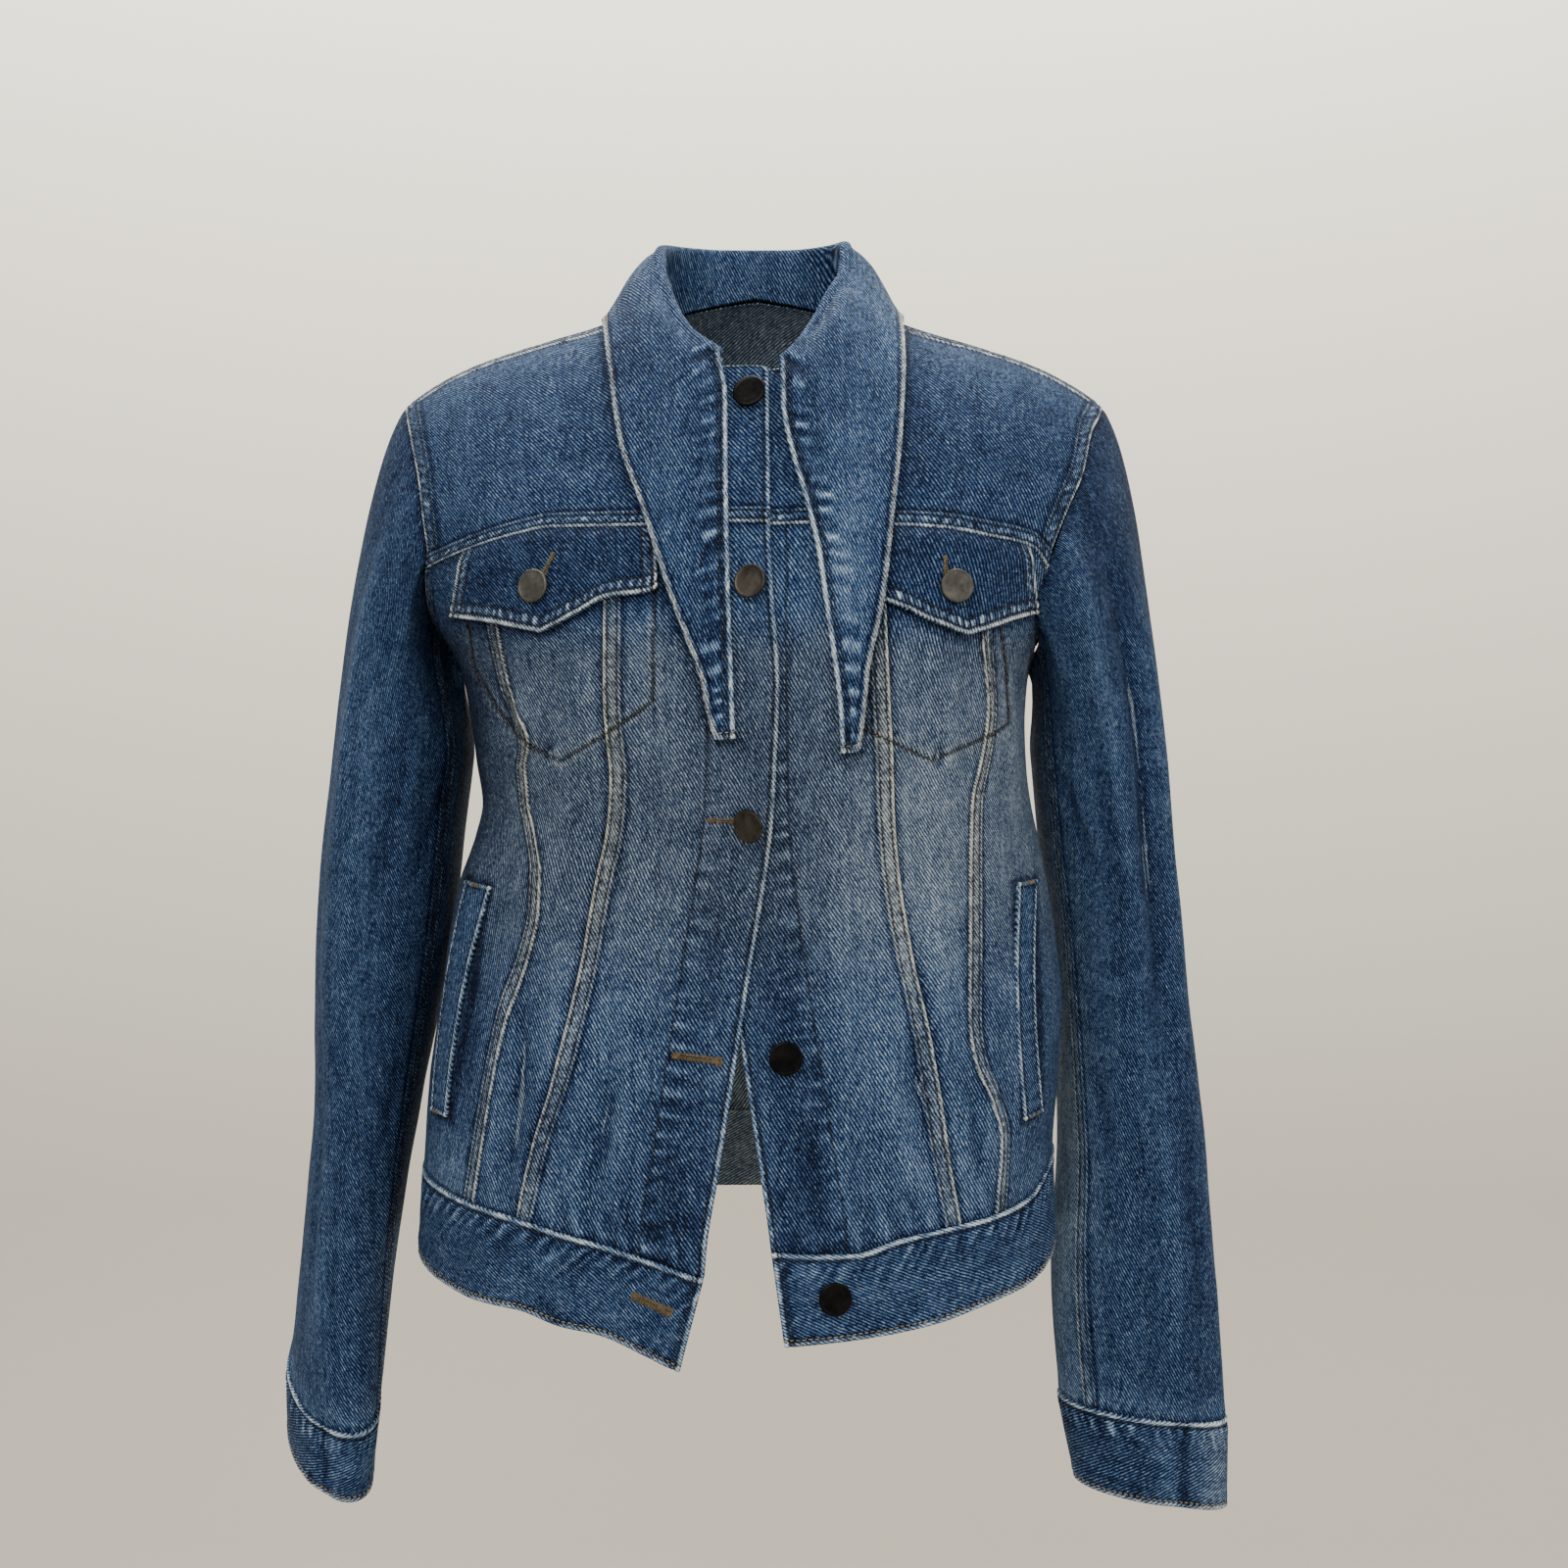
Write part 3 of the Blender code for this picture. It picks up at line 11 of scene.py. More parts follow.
import bpy
import numpy as np
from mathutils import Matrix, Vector


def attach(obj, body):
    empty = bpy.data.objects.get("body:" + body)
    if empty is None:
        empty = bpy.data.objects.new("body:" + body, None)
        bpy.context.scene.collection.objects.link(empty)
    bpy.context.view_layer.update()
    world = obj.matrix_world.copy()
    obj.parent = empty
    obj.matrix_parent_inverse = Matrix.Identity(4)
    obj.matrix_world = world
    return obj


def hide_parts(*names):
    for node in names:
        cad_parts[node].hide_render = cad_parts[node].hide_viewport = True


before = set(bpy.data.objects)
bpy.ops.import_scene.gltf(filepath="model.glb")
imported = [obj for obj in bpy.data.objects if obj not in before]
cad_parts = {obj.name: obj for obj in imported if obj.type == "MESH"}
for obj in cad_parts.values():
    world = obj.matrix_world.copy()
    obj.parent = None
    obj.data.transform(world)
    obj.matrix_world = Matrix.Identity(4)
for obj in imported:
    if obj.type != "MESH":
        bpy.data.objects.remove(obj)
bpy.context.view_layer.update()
MM = 0.001
BOTH = ((-1, "r"), (1, "l"))        # the side's sign in x, the end of its names


def mm(rows, units=MM):
    """A table in metres from rows in millimetres."""
    return np.round(np.array(rows) * units, 7)


# ---------------------------------------------------------------- sizes
CLOTH = 0.0012          # one layer of denim
DOUBLE = 0.0024         # two layers: collar, waistband, cuffs, flaps, edges
HALF_GAP = 0.00018      # half of the space left at a seam
ROUND = 2.3             # squareness of the body sections
FRONT_Z0 = -0.215       # where the front starts to close to the shoulder
BACK_Z0 = -0.150

# height, half width right, half width left, front depth, back depth
BODY = mm([
    (-580, 186, 166, 130, 106), (-540, 187, 167, 131, 106), (-500, 186, 167, 130, 104),
    (-470, 184, 166, 127, 100), (-425, 181, 169, 122, 94), (-380, 174, 171, 119, 90),
    (-345, 169, 167, 118, 87), (-315, 163, 162, 120, 86), (-290, 154, 157, 123, 86),
    (-272, 150, 153, 126, 88), (-250, 153, 150, 129, 92), (-225, 156, 149, 131, 97),
    (-200, 161, 151, 131, 101), (-170, 178, 166, 130, 106), (-130, 196, 190, 126, 109),
    (-90, 204, 204, 121, 109), (-50, 208, 208, 119, 106), (0, 210, 210, 119, 105),
    (50, 210, 210, 119, 105),
])
# distance from the centre, height of the shoulder line
SHOULDER = mm([
    (0, 30), (30, 22), (68, -3), (85, -10.5), (115, -19.5), (147.5, -30), (175, -43),
    (194, -56.5), (215, -74),
])
# soft folds: side (-1 front, 1 back), x, z, lean dx/dz, half width,
# half height, how far out
FOLDS = mm([
    (-1, -100, -305, 0.1, 11, 55, 3), (-1, -135, -300, 0.15, 14, 60, -3),
    (-1, -82, -440, 0.22, 13, 45, -2.6), (-1, -106, -430, 0.28, 11, 50, 2.6),
    (-1, 112, -430, -0.2, 12, 50, 3.4), (-1, 90, -440, -0.2, 11, 45, -2.6),
    (-1, 100, -215, 0, 45, 45, 4), (-1, -100, -215, 0, 45, 45, 4),
    (1, -70, -420, 0.16, 14, 60, 3), (1, 50, -425, -0.12, 14, 60, 3),
    (1, 0, -300, 0, 30, 60, -3.5),
], (1, MM, MM, 1, MM, MM, MM))
# the front edges: height, x of the right (upper) edge, x of the left edge
FRONT_EDGES = mm([
    (-560, -36, 18), (-505, -23.7, 11), (-488, -22.2, 9.2), (-456, -16.8, 4.5),
    (-425, -11.8, -0.4), (-392, -6.6, -5.4), (-346, 0.6, -12.5), (-314, 6.1, -17),
    (-277, 11, -20.5), (-244, 13, -21.5), (-207, 14.3, -22), (-150, 10.5, -22),
    (-110, 9.2, -22), (-83, 11.5, -22), (-40, 8.5, -22), (0, 8.5, -22),
])
# front seams: height, distance of the inner and of the outer seam
SEAMS_R = mm([
    (-510, 127, 149), (-477, 120.6, 145.5), (-446, 113.7, 140), (-403, 100.4, 131.8),
    (-380, 94.8, 126), (-345, 87, 113.9), (-322, 83, 108.2), (-302, 78.9, 107.6),
    (-284, 74.5, 111.2), (-268, 72.2, 115.2), (-250, 71.2, 115.4), (-236, 72.2, 112.2),
    (-214, 73.6, 120), (-192, 73.8, 126.2), (-171, 74.2, 130), (-125, 74.5, 134),
])
SEAMS_L = mm([
    (-510, 113, 124), (-478, 107.2, 126.2), (-443, 101.2, 127.5), (-425, 98.5, 123),
    (-402, 94.7, 114.2), (-381, 90.8, 111.2), (-339, 81.5, 111.8), (-303, 75.5, 111.8),
    (-268, 72.2, 112), (-245, 71, 116), (-219, 69.3, 118.6), (-203, 68.6, 117.5),
    (-181, 68, 115.8), (-171, 67.8, 115), (-125, 67.6, 114),
])
# back seams: height, distance from the centre
BACK_SEAM = mm([
    (-520, 70), (-470, 70), (-380, 74), (-290, 82), (-200, 100), (-100, 112),
])
# waistband: x, height of the seam, height of the lower edge (front)
WAIST = mm([
    (-187, -472, -520), (-161, -475.7, -525.5), (-142, -478.5, -528), (-122, -481, -528.5),
    (-98, -486.3, -534.5), (-76, -490.3, -537), (-54, -496, -545.5), (-40, -500.5, -552),
    (-24, -505, -556), (-5, -500, -548), (9.5, -492.5, -541.5), (29, -493.7, -540.2),
    (52, -494, -538.5), (77, -487.8, -536), (96, -485.6, -533.5), (119, -483, -529),
    (135, -481.2, -526.5), (149, -477.5, -524.5), (160, -468, -520), (167, -462, -515),
])
BACK_WAIST = (-0.466, -0.514)
# front yoke seam: x, height
YOKE = mm([
    (-180, -149), (-164, -143), (-137, -134.5), (-120, -130.4), (-103, -127.5), (-60, -127.2),
    (0, -126.2), (60, -126.6), (96, -127.6), (120, -131.1), (145, -136.2), (156, -147.5),
    (180, -156),
])
BACK_YOKE = -0.128
# armholes, from the shoulder round the front to the underarm, then up
# the back: x from the centre, height
ARM_FRONT_R = mm([
    (192.5, -55.2), (190, -60.5), (183.8, -79), (176.8, -106), (172.2, -132), (173.5, -149),
    (174.5, -164), (171.5, -179), (165, -193),
])
ARM_FRONT_L = mm([
    (192.5, -55.2), (189.5, -60), (181.2, -75), (174.8, -97), (166, -115), (157.5, -134),
    (153.5, -147.5), (148.5, -160), (150, -178), (152, -190),
])
ARM_BACK = mm([
    (164, -190), (170, -176), (169, -155), (169, -128), (174, -98), (183, -73), (189.5, -60),
    (192.5, -55.2),
])
UNDERARM = {-1: -0.2030, 1: -0.2000}
# neckline, degrees up the closing arc against distance from the centre
NECK_FRONT = np.array([
    (-0.010, 44.4), (0.000, 44.4), (0.022, 45.9), (0.040, 50.8), (0.053, 60.0),
    (0.060, 73.0), (0.0620, 90.0),
])
NECK_BACK = np.array([
    (0.000, 64.0), (0.028, 65.0), (0.046, 68.5), (0.058, 77.0), (0.0620, 90.0),
])
# outline x from the centre and z: top, bottom from the armhole side
FLAP = {
    "r": dict(top=[(150, -142), (126, -136.8), (103, -133.8),
                   (74, -133.4), (46.5, -133.4)],
              low=[(155.2, -171), (130.5, -175), (112.2, -179),
                   (104.3, -180.3), (87.3, -172.6), (71.8, -164.3),
                   (49.5, -161), (46.1, -158.5)]),
    "l": dict(top=[(144, -144), (122, -137.5), (100, -134.2),
                   (74, -133.2), (46.5, -133.2)],
              low=[(146.5, -169), (133.7, -172.4), (115.5, -178.7),
                   (104.1, -181.7), (90.8, -176.9), (77.7, -170.2),
                   (60, -164), (46.1, -160)]),
}
# corners (x from the centre, z): top outer, top inner, low inner, low outer
WELT = {
    "r": [(153.5, -312), (139, -313), (162, -437), (172.5, -437)],
    "l": [(150, -311), (138.5, -311), (142, -437), (153.5, -435)],
}
WELT_BOW = {"r": 0.0035, "l": -0.0035}

# ------------------------------------------------------------ functions
def pchip(table, column, key):
    """A smooth curve through one column of a table, no overshoot."""
    xs, ys = table[:, 0], table[:, column]
    step = np.diff(xs)
    rise = np.diff(ys) / step
    slope = np.zeros(len(ys))
    one, two = 2.0 * step[1:] + step[:-1], step[1:] + 2.0 * step[:-1]
    same = rise[:-1] * rise[1:] > 0
    slope[1:-1][same] = (one + two)[same] / (one[same] / rise[:-1][same]
                                             + two[same] / rise[1:][same])
    slope[0], slope[-1] = rise[0], rise[-1]
    key = np.clip(np.asarray(key, float), xs[0], xs[-1])
    i = np.clip(np.searchsorted(xs, key, side="right") - 1, 0, len(xs) - 2)
    t = (key - xs[i]) / step[i]
    return (ys[i] * (1 + 2 * t) * (1 - t) ** 2 + step[i] * slope[i] * t * (1 - t) ** 2
            + ys[i + 1] * t * t * (3 - 2 * t) + step[i] * slope[i + 1] * t * t * (t - 1))


def ease(t):
    t = np.clip(t, 0.0, 1.0)
    return t * t * (3.0 - 2.0 * t)


def unit(v):
    return v / np.maximum(np.linalg.norm(v, axis=-1, keepdims=True), 1e-12)


def squared(c, power=2 / ROUND):
    return np.sign(c) * np.abs(c) ** power


def half_width(x, z):
    return np.where(np.asarray(x) < 0, pchip(BODY, 1, z), pchip(BODY, 2, z))


def shoulder(x):
    return pchip(SHOULDER, 1, np.abs(x))


def base_torso(alpha, h):
    """alpha: 0 left side seam, 90 front, 180 right side seam, 270 back.
    h: height, bent over towards the shoulder line above the z0 level."""
    alpha, h = np.broadcast_arrays(np.asarray(alpha, float), np.asarray(h, float))
    front = np.sin(alpha) >= 0
    ex, ey = squared(np.cos(alpha)), np.abs(np.sin(alpha)) ** (2 / ROUND)
    z0 = np.where(front, FRONT_Z0, BACK_Z0)
    z = h
    for again in range(9):
        x = ex * half_width(ex, z)
        radius = shoulder(x) - z0
        if again < 8:
            z = np.where(h > z0, z0 + radius * np.sin((h - z0) / radius), h)
    close = np.where(h > z0, np.cos((h - z0) / radius), 1.0)
    depth = np.where(front, -pchip(BODY, 3, z), pchip(BODY, 4, z))
    return np.stack([x, depth * ey * close, z], -1)


def spot(x, z, front=True):
    """(alpha, h) of the surface at this x and z."""
    x, z = np.broadcast_arrays(np.asarray(x, float), np.asarray(z, float))
    z0 = FRONT_Z0 if front else BACK_Z0
    q = np.clip(np.abs(x) / half_width(x, z), 0, 1)
    alpha = np.arccos(np.clip(np.sign(x) * q ** (ROUND / 2), -1, 1))
    if not front:
        alpha = 2 * math.pi - alpha
    radius = shoulder(x) - z0
    rise = z0 + np.arcsin(np.clip((z - z0) / radius, -1, 1)) * radius
    return np.stack([alpha, np.where(z > z0, rise, z)], -1)


def normals(surface, alpha, h, *rest):
    e = 2e-4
    da = surface(alpha + e, h, *rest) - surface(alpha - e, h, *rest)
    dh = surface(alpha, h + e, *rest) - surface(alpha, h - e, *rest)
    return unit(-np.cross(da, dh))


def fold_height(p, back):
    out = np.zeros(p.shape[:-1])
    for side, x0, z0, lean, wide, tall, far in FOLDS:
        dz = (p[..., 2] - z0) / tall
        dx = (p[..., 0] - x0 - lean * (p[..., 2] - z0)) / wide
        here = far * np.exp(-dx * dx - dz * dz)
        out = out + np.where(back == (side > 0), here, 0.0)
    return out


def lift(p, layer):
    """Where the fronts lap: the right one rides out, the left one in."""
    edge = pchip(FRONT_EDGES, 1, p[..., 2])
    if layer > 0:
        return 0.0016 * ease((p[..., 0] - edge + 0.052) / 0.016)
    if layer < 0:
        return -0.0019 * ease((edge + 0.020 - p[..., 0]) / 0.018)
    return 0.0


def torso(alpha, h, layer=0, out=0.0):
    """The outer face of the body cloth, moved out by out."""
    p = base_torso(alpha, h)
    height = np.sin(np.asarray(alpha, float))
    fade = ease(np.abs(height) / 0.5)
    back = np.broadcast_to(height < 0, p.shape[:-1])
    away = fold_height(p, back) * fade + lift(p, layer) + out
    return p + normals(base_torso, alpha, h) * away[..., None]


def surface_y(x, z, front=True):
    """y of the body's front or back at x, z, below the shoulder line."""
    z0, column, side = (FRONT_Z0, 3, -1) if front else (BACK_Z0, 4, 1)
    q = np.clip(np.abs(x) / half_width(x, z), 0, 1)
    t = np.clip((z - z0) / (shoulder(x) - z0), 0, 1)
    depth = side * pchip(BODY, column, z)
    return float(depth * (1 - q ** ROUND) ** (1 / ROUND) * np.sqrt(1 - t * t))


def shares(p):
    """Share of the whole length at each of a line of points."""
    s = np.concatenate([[0.0], np.cumsum(np.linalg.norm(np.diff(p, axis=0), axis=1))])
    return s / s[-1]


def along(points, t):
    """Smooth curve through points of any dimension, by chord length."""
    points = np.asarray(points, float)
    s = shares(points)
    cols = [pchip(np.stack([s, points[:, k]], 1), 1, t) for k in range(points.shape[1])]
    return np.stack(cols, -1)


def coons(bottom, top, left, right):
    """Fill four edge curves; rows run bottom to top, columns left to right."""
    v = np.linspace(0, 1, len(left))[:, None, None]
    u = np.linspace(0, 1, len(bottom))[None, :, None]
    sides = (1 - u) * left[:, None] + u * right[:, None]
    ends = (1 - v) * bottom[None] + v * top[None]
    low = (1 - u) * bottom[0] + u * bottom[-1]
    high = (1 - u) * top[0] + u * top[-1]
    return sides + ends - ((1 - v) * low + v * high)


# ------------------------------------------------- curves on the body
def waist_height(alpha, column):
    """Height of the waist seam (1) or lower edge (2) at alpha."""
    alpha = np.asarray(alpha, float) % (2 * math.pi)
    z = np.full(alpha.shape, -0.49)
    c = np.cos(alpha)
    ex = squared(c)
    for _ in range(8):
        z = pchip(WAIST, column, ex * half_width(ex, z))
    side = np.where(c < 0, WAIST[0, column], WAIST[-1, column])
    back = side + (BACK_WAIST[column - 1] - side) * ease(-np.sin(alpha) / 0.8)
    return np.where(np.sin(alpha) < -1e-9, back, z)


def waist_spot(alpha, column=1):
    alpha = np.asarray(alpha, float)
    return np.stack([alpha, waist_height(alpha, column)], -1)


def crossings(table, column, sign=1):
    """Heights where a front line meets the waist seam and the yoke seam."""
    low, high = -0.49, -0.13
    for _ in range(12):
        low = float(pchip(WAIST, 1, sign * pchip(table, column, low)))
        high = float(pchip(YOKE, 1, sign * pchip(table, column, high)))
    return low, high


def arm_curve(sign):
    """Armhole (alpha, h) points: front part and back part."""
    table = ARM_FRONT_R if sign < 0 else ARM_FRONT_L
    side, low = (0.0 if sign > 0 else math.pi), UNDERARM[sign]
    front = [tuple(spot(sign * x, z)) for x, z in table] + [(side, low)]
    back = [(side if sign < 0 else 2 * math.pi, low)]
    back += [tuple(spot(sign * x, z, False)) for x, z in ARM_BACK]
    return np.array(front), np.array(back)


def in_space(points, dense):
    """A curve given as (alpha, h): its parameter, place and share of length."""
    t = np.linspace(0, 1, dense)
    line = along(points, t)
    p = base_torso(line[:, 0], line[:, 1])
    return t, p, shares(p)


def on_curve(points, count, start=0.0, end=1.0):
    """Points equally spaced in space on a curve given as (alpha, h)."""
    t, _, s = in_space(points, 400)
    return along(points, np.interp(np.linspace(start, end, count), s, t))


def meet(points, height_of):
    """Share of the length at which an armhole crosses a level."""
    _, p, s = in_space(points, 2000)
    gap = p[:, 2] - height_of(p[:, 0])
    return float(s[int(np.argmax(gap < 0 if gap[0] > 0 else gap > 0))])


def line_between(a, b, count):
    t = np.linspace(0, 1, count)[:, None]
    return (1 - t) * a + t * b


def yoke_line(x0, x1, count):
    x = np.linspace(x0, x1, count)
    return spot(x, pchip(YOKE, 1, x))


# place along the half collar, fold x y z, outer edge x y z
COLLAR = {
    "r": [
        (0, 0, 54, 41, 0, 78, -20), (0.12, 20, 50.5, 40.5, 30, 76.5, -19),
        (0.24, 37, 38.5, 39.5, 56, 61, -16.5), (0.36, 48, 18.5, 37, 76, 38, -11.5),
        (0.46, 51.5, -2, 32.5, 84, 11, -7), (0.56, 50.5, -20, 21, 81.5, -20, -10),
        (0.66, 46.5, -38, 6, 75.5, -62, -40), (0.76, 40, -54, -9.5, 67.5, -93, -85),
        (0.84, 32.5, -66, -21, 55.5, -110, -118), (0.91, 24.5, -76.8, -28.5, 40, -127, -165),
        (0.96, 19.5, -81, -32.2, 25.5, -132, -203),
        (0.99, 16.8, -82.7, -34, 17.2, -131.6, -234.5),
        (1, 15.9, -83, -34.5, 7.5, -132, -233.5)],
    "l": [
        (0, 0, 54, 41, 0, 78, -20), (0.12, 20, 50.5, 40.5, 30, 76.5, -19),
        (0.24, 37, 38.5, 40, 56, 61, -16.5), (0.36, 47.5, 18.5, 38.5, 76, 38, -10.5),
        (0.46, 50.5, -2, 35, 82.5, 11, -5), (0.56, 48.7, -20, 18, 80.2, -22, -8),
        (0.66, 41, -38, 3, 80, -56, -35), (0.76, 33.5, -51, -12, 77, -88, -79),
        (0.84, 26.5, -65.5, -24, 71.5, -108, -125),
        (0.91, 20.5, -77.5, -32.5, 66.5, -120, -165),
        (0.96, 17, -82.5, -36.8, 59.5, -126, -197),
        (0.99, 14.7, -84.8, -38.8, 53.1, -126.5, -240.5),
        (1, 13.9, -85.2, -39.4, 44.2, -128, -241)],
}
COLLAR = {tag: mm(rows, (1,) + (MM,) * 6) for tag, rows in COLLAR.items()}
# how far the front edge bows sideways down its length
BOW = {
    "r": np.array([(0, 0), (0.10, 0.0034), (0.24, 0.0029), (0.52, 0.0014), (1, 0)]),
    "l": np.array([(0, 0), (0.18, -0.0044), (0.32, -0.0014), (0.49, 0.0024),
                   (0.83, 0.0027), (1, 0)]),
}
ROLL = 0.0023           # radius of the collar's fold
HALF = 0.0011           # half of the collar's thickness


def collar_foot(fold, away, up, tag):
    """Foot of the stand, on the neckline in line with a place of the fold."""
    aim = math.atan2(fold[0], -(fold[1] + 0.004))
    front = fold[1] < 0.0
    row, z0, column, side = ((NECK_FRONT, FRONT_Z0, 3, -1) if front
                             else (NECK_BACK, BACK_Z0, 4, 1))
    best = None
    for d in np.linspace(0.0, 0.062, 63):
        radius = float(shoulder(d)) - z0
        angle = math.radians(float(pchip(row, 1, d)))
        z = z0 + radius * math.sin(angle)
        y = side * float(pchip(BODY, column, z)) * math.cos(angle)
        miss = abs(math.atan2(d, -(y + 0.004)) - aim)
        if best is None or miss < best:
            best, foot = miss, np.array([d, y, z])
    ahead = float(ease((0.01 - fold[1]) / 0.03))
    below = float(ease((0.032 - foot[0]) / 0.016)) * ahead * (1.0 if tag == "l" else 0.0)
    foot = foot - away * (0.0021 + 0.0015 * ahead + 0.0012 * below)
    return foot + up * (0.0008 + 0.0012 * ahead + 0.0006 * below)


def collar_column(tag, u, rows=8):
    """Middle line of the collar cloth: neck seam, fold, outer edge."""
    sign = -1 if tag == "r" else 1
    place_of = [float(pchip(COLLAR[tag], k, u)) for k in range(1, 7)]
    fold, edge = np.array(place_of[:3]), np.array(place_of[3:])
    away = unit(np.array([fold[0], fold[1] + 0.012, 0.0]))
    up = np.array([0.0, 0.0, 1.0])
    if fold[1] < -0.06:
        k = min(1.0, (-0.06 - fold[1]) / 0.022)
        up = unit(np.array([0.0, 0.45 * k, 1.0]))
        away = unit(away - up * float(np.dot(away, up)))
    middle = fold - up * ROLL
    foot = collar_foot(fold, away, up, tag)
    inner, start = middle - away * ROLL, middle + away * ROLL
    path = [foot + (inner - foot) * (k / 3.0) for k in range(3)]
    for k in range(5):
        a = math.pi * (1 - k / 4.0)
        path.append(middle + away * (ROLL * math.cos(a)) + up * (ROLL * math.sin(a)))
    weight = float(ease((u - 0.80) / 0.20))
    for k in range(1, rows + 1):
        v = k / rows
        p = start + (edge - start) * v
        p = p + (away * 0.004 + up * 0.003) * math.sin(math.pi * min(1, v * 1.1)) * (1 - v)
        p[0] += sign * float(pchip(BOW[tag], 1, v)) * weight
        path.append(p)
    path = np.array(path)
    path[:, 0] *= sign
    # the fall lies clear of the body, under it, and never in it
    for p in path[8:]:
        x, y, z = p
        if z >= float(shoulder(x)) - 0.004:
            continue
        front, e = y < 0.01, 1e-3
        lean = (surface_y(x, z + e, front) - surface_y(x, z - e, front)) / (2 * e)
        turn = (surface_y(x + e, z) - surface_y(x - e, z)) / (2 * e) if front else 0.0
        reach = min(2.6, math.sqrt(1 + lean ** 2 + turn ** 2))
        if front:
            keep = 0.0047 + 0.0003 * float(ease((-0.05 - z) / 0.07))
            limit = surface_y(x, z) - keep * reach
            gap = (y - limit) / 0.003
            p[1] = limit + 0.003 * (gap if gap < -6 else -math.log1p(math.exp(-gap)))
        else:
            p[1] = max(y, surface_y(x, z, False) + 0.0024 * reach)
    return path


# height, centre from the body, centre y, half x, half y, turn (degrees),
# rise outwards, rise backwards
SLEEVE = {
    "r": [
        (-660, 244, 10, 21.5, 43, 25, 0.1, 0.26), (-618, 242.5, 11, 24.5, 46.5, 23, 0.12, 0.3),
        (-590, 239, 12, 25.8, 48, 18, 0.08, 0.22), (-540, 233, 13, 27, 50, 11, 0.04, 0.12),
        (-490, 226.5, 14, 28, 52, 6, 0.01, 0.04), (-440, 219.5, 15, 30, 54, 4, 0, 0),
        (-395, 214.5, 15, 34, 56, 2, 0, 0), (-345, 209, 14, 37.5, 58, 0, 0, 0),
        (-300, 204.5, 13, 38.5, 60, 0, 0, 0), (-250, 198, 12, 38.5, 62, 0, 0, 0),
        (-200, 193, 12, 38.5, 62, 0, 0, 0)],
    "l": [
        (-670, 227, 14, 44, 23, -15, -0.18, 0), (-620, 222, 16, 48, 30, -15, -0.13, 0),
        (-580, 219, 19, 47.5, 36, -12, -0.07, 0), (-530, 216.5, 24, 45, 42, -8, -0.04, 0),
        (-480, 216, 29, 41.2, 47, -5, -0.02, 0), (-425, 213, 33, 39, 52, -2, 0, 0),
        (-380, 209.5, 35, 37.2, 56, 0, 0, 0), (-340, 205.5, 33, 37, 58, 0, 0, 0),
        (-300, 200, 29, 37, 60, 0, 0, 0), (-250, 194, 21, 36.8, 61, 0, 0, 0),
        (-200, 190, 21, 36, 61, 0, 0, 0)],
}
SLEEVE = {tag: mm(rows, (MM,) * 5 + (1,) * 3) for tag, rows in SLEEVE.items()}
RING_TOP = -0.250
CUFF_TOP = {"r": -0.6060, "l": -0.6190}
CUFF_LOW = {"r": -0.6470, "l": -0.6700}
# lengthwise folds: top and bottom angle (degrees from outside to front),
# half width in degrees, first and last height, how far out
SLEEVE_FOLDS = {
    "r": [(62, 58, 16, -0.12, -0.50, 0.0022), (30, 34, 13, -0.16, -0.45, -0.0022)],
    "l": [(60, 66, 13, -0.11, -0.47, -0.0045), (84, 88, 13, -0.10, -0.44, 0.0026),
          (30, 40, 15, -0.15, -0.52, 0.0022)],
}


def sleeve_ring(tag, theta, z):
    """Section of a sleeve; theta 0 outside, 90 front, 180 inside."""
    cx, cy, hx, hy, turn, out_rise, back_rise = (pchip(SLEEVE[tag], k, z) for k in range(1, 8))
    turn = np.radians(turn)
    a, b = hx * squared(np.cos(theta), 0.92), -hy * squared(np.sin(theta), 0.92)
    x = a * np.cos(turn) + b * np.sin(turn)
    y = b * np.cos(turn) - a * np.sin(turn) * 0.35
    sign = -1 if tag == "r" else 1
    return np.stack([sign * (cx + x), cy + y, z + (out_rise * x + back_rise * y)], -1)


def sleeve_point(tag, theta, w):
    """w 0 at the armhole, 1 at the ring below the arm, then down."""
    sign = -1 if tag == "r" else 1
    theta = np.asarray(theta, float) % (2 * math.pi)
    theta, w = np.broadcast_arrays(theta, np.asarray(w, float))
    share = theta / math.pi
    halves = []
    for arm, turned in zip(ARMHOLE[tag], (share, (theta - math.pi) / math.pi)):
        t, _, s = in_space(arm, 600)
        halves.append(along(arm, np.interp(turned, s, t)))
    pick = np.where((theta <= math.pi)[..., None], *halves)
    start = base_torso(pick[..., 0], pick[..., 1])
    ring = sleeve_ring(tag, theta, np.full(theta.shape, RING_TOP))
    away = np.array([sign * 1.0, 0.0, 0.0])
    top = 0.5 + 0.5 * np.cos(theta)
    start = start + away * (0.0003 + 0.0007 * (1 - top[..., None]))
    chord = ring - start
    size = np.linalg.norm(chord, axis=-1, keepdims=True)
    p1 = start + unit(unit(chord) + away * 0.50) * size * 0.19
    p2 = ring + np.array([-0.12 * sign, 0, 1.0]) * size * 0.30
    v = np.clip(w, 0, 1)[..., None]
    crown = (start * (1 - v) ** 3 + 3 * p1 * v * (1 - v) ** 2
             + 3 * p2 * v * v * (1 - v) + ring * v ** 3)
    z = RING_TOP + np.clip(w - 1, 0, 1) * (CUFF_TOP[tag] - RING_TOP)
    return np.where((w > 1)[..., None], sleeve_ring(tag, theta, z), crown)


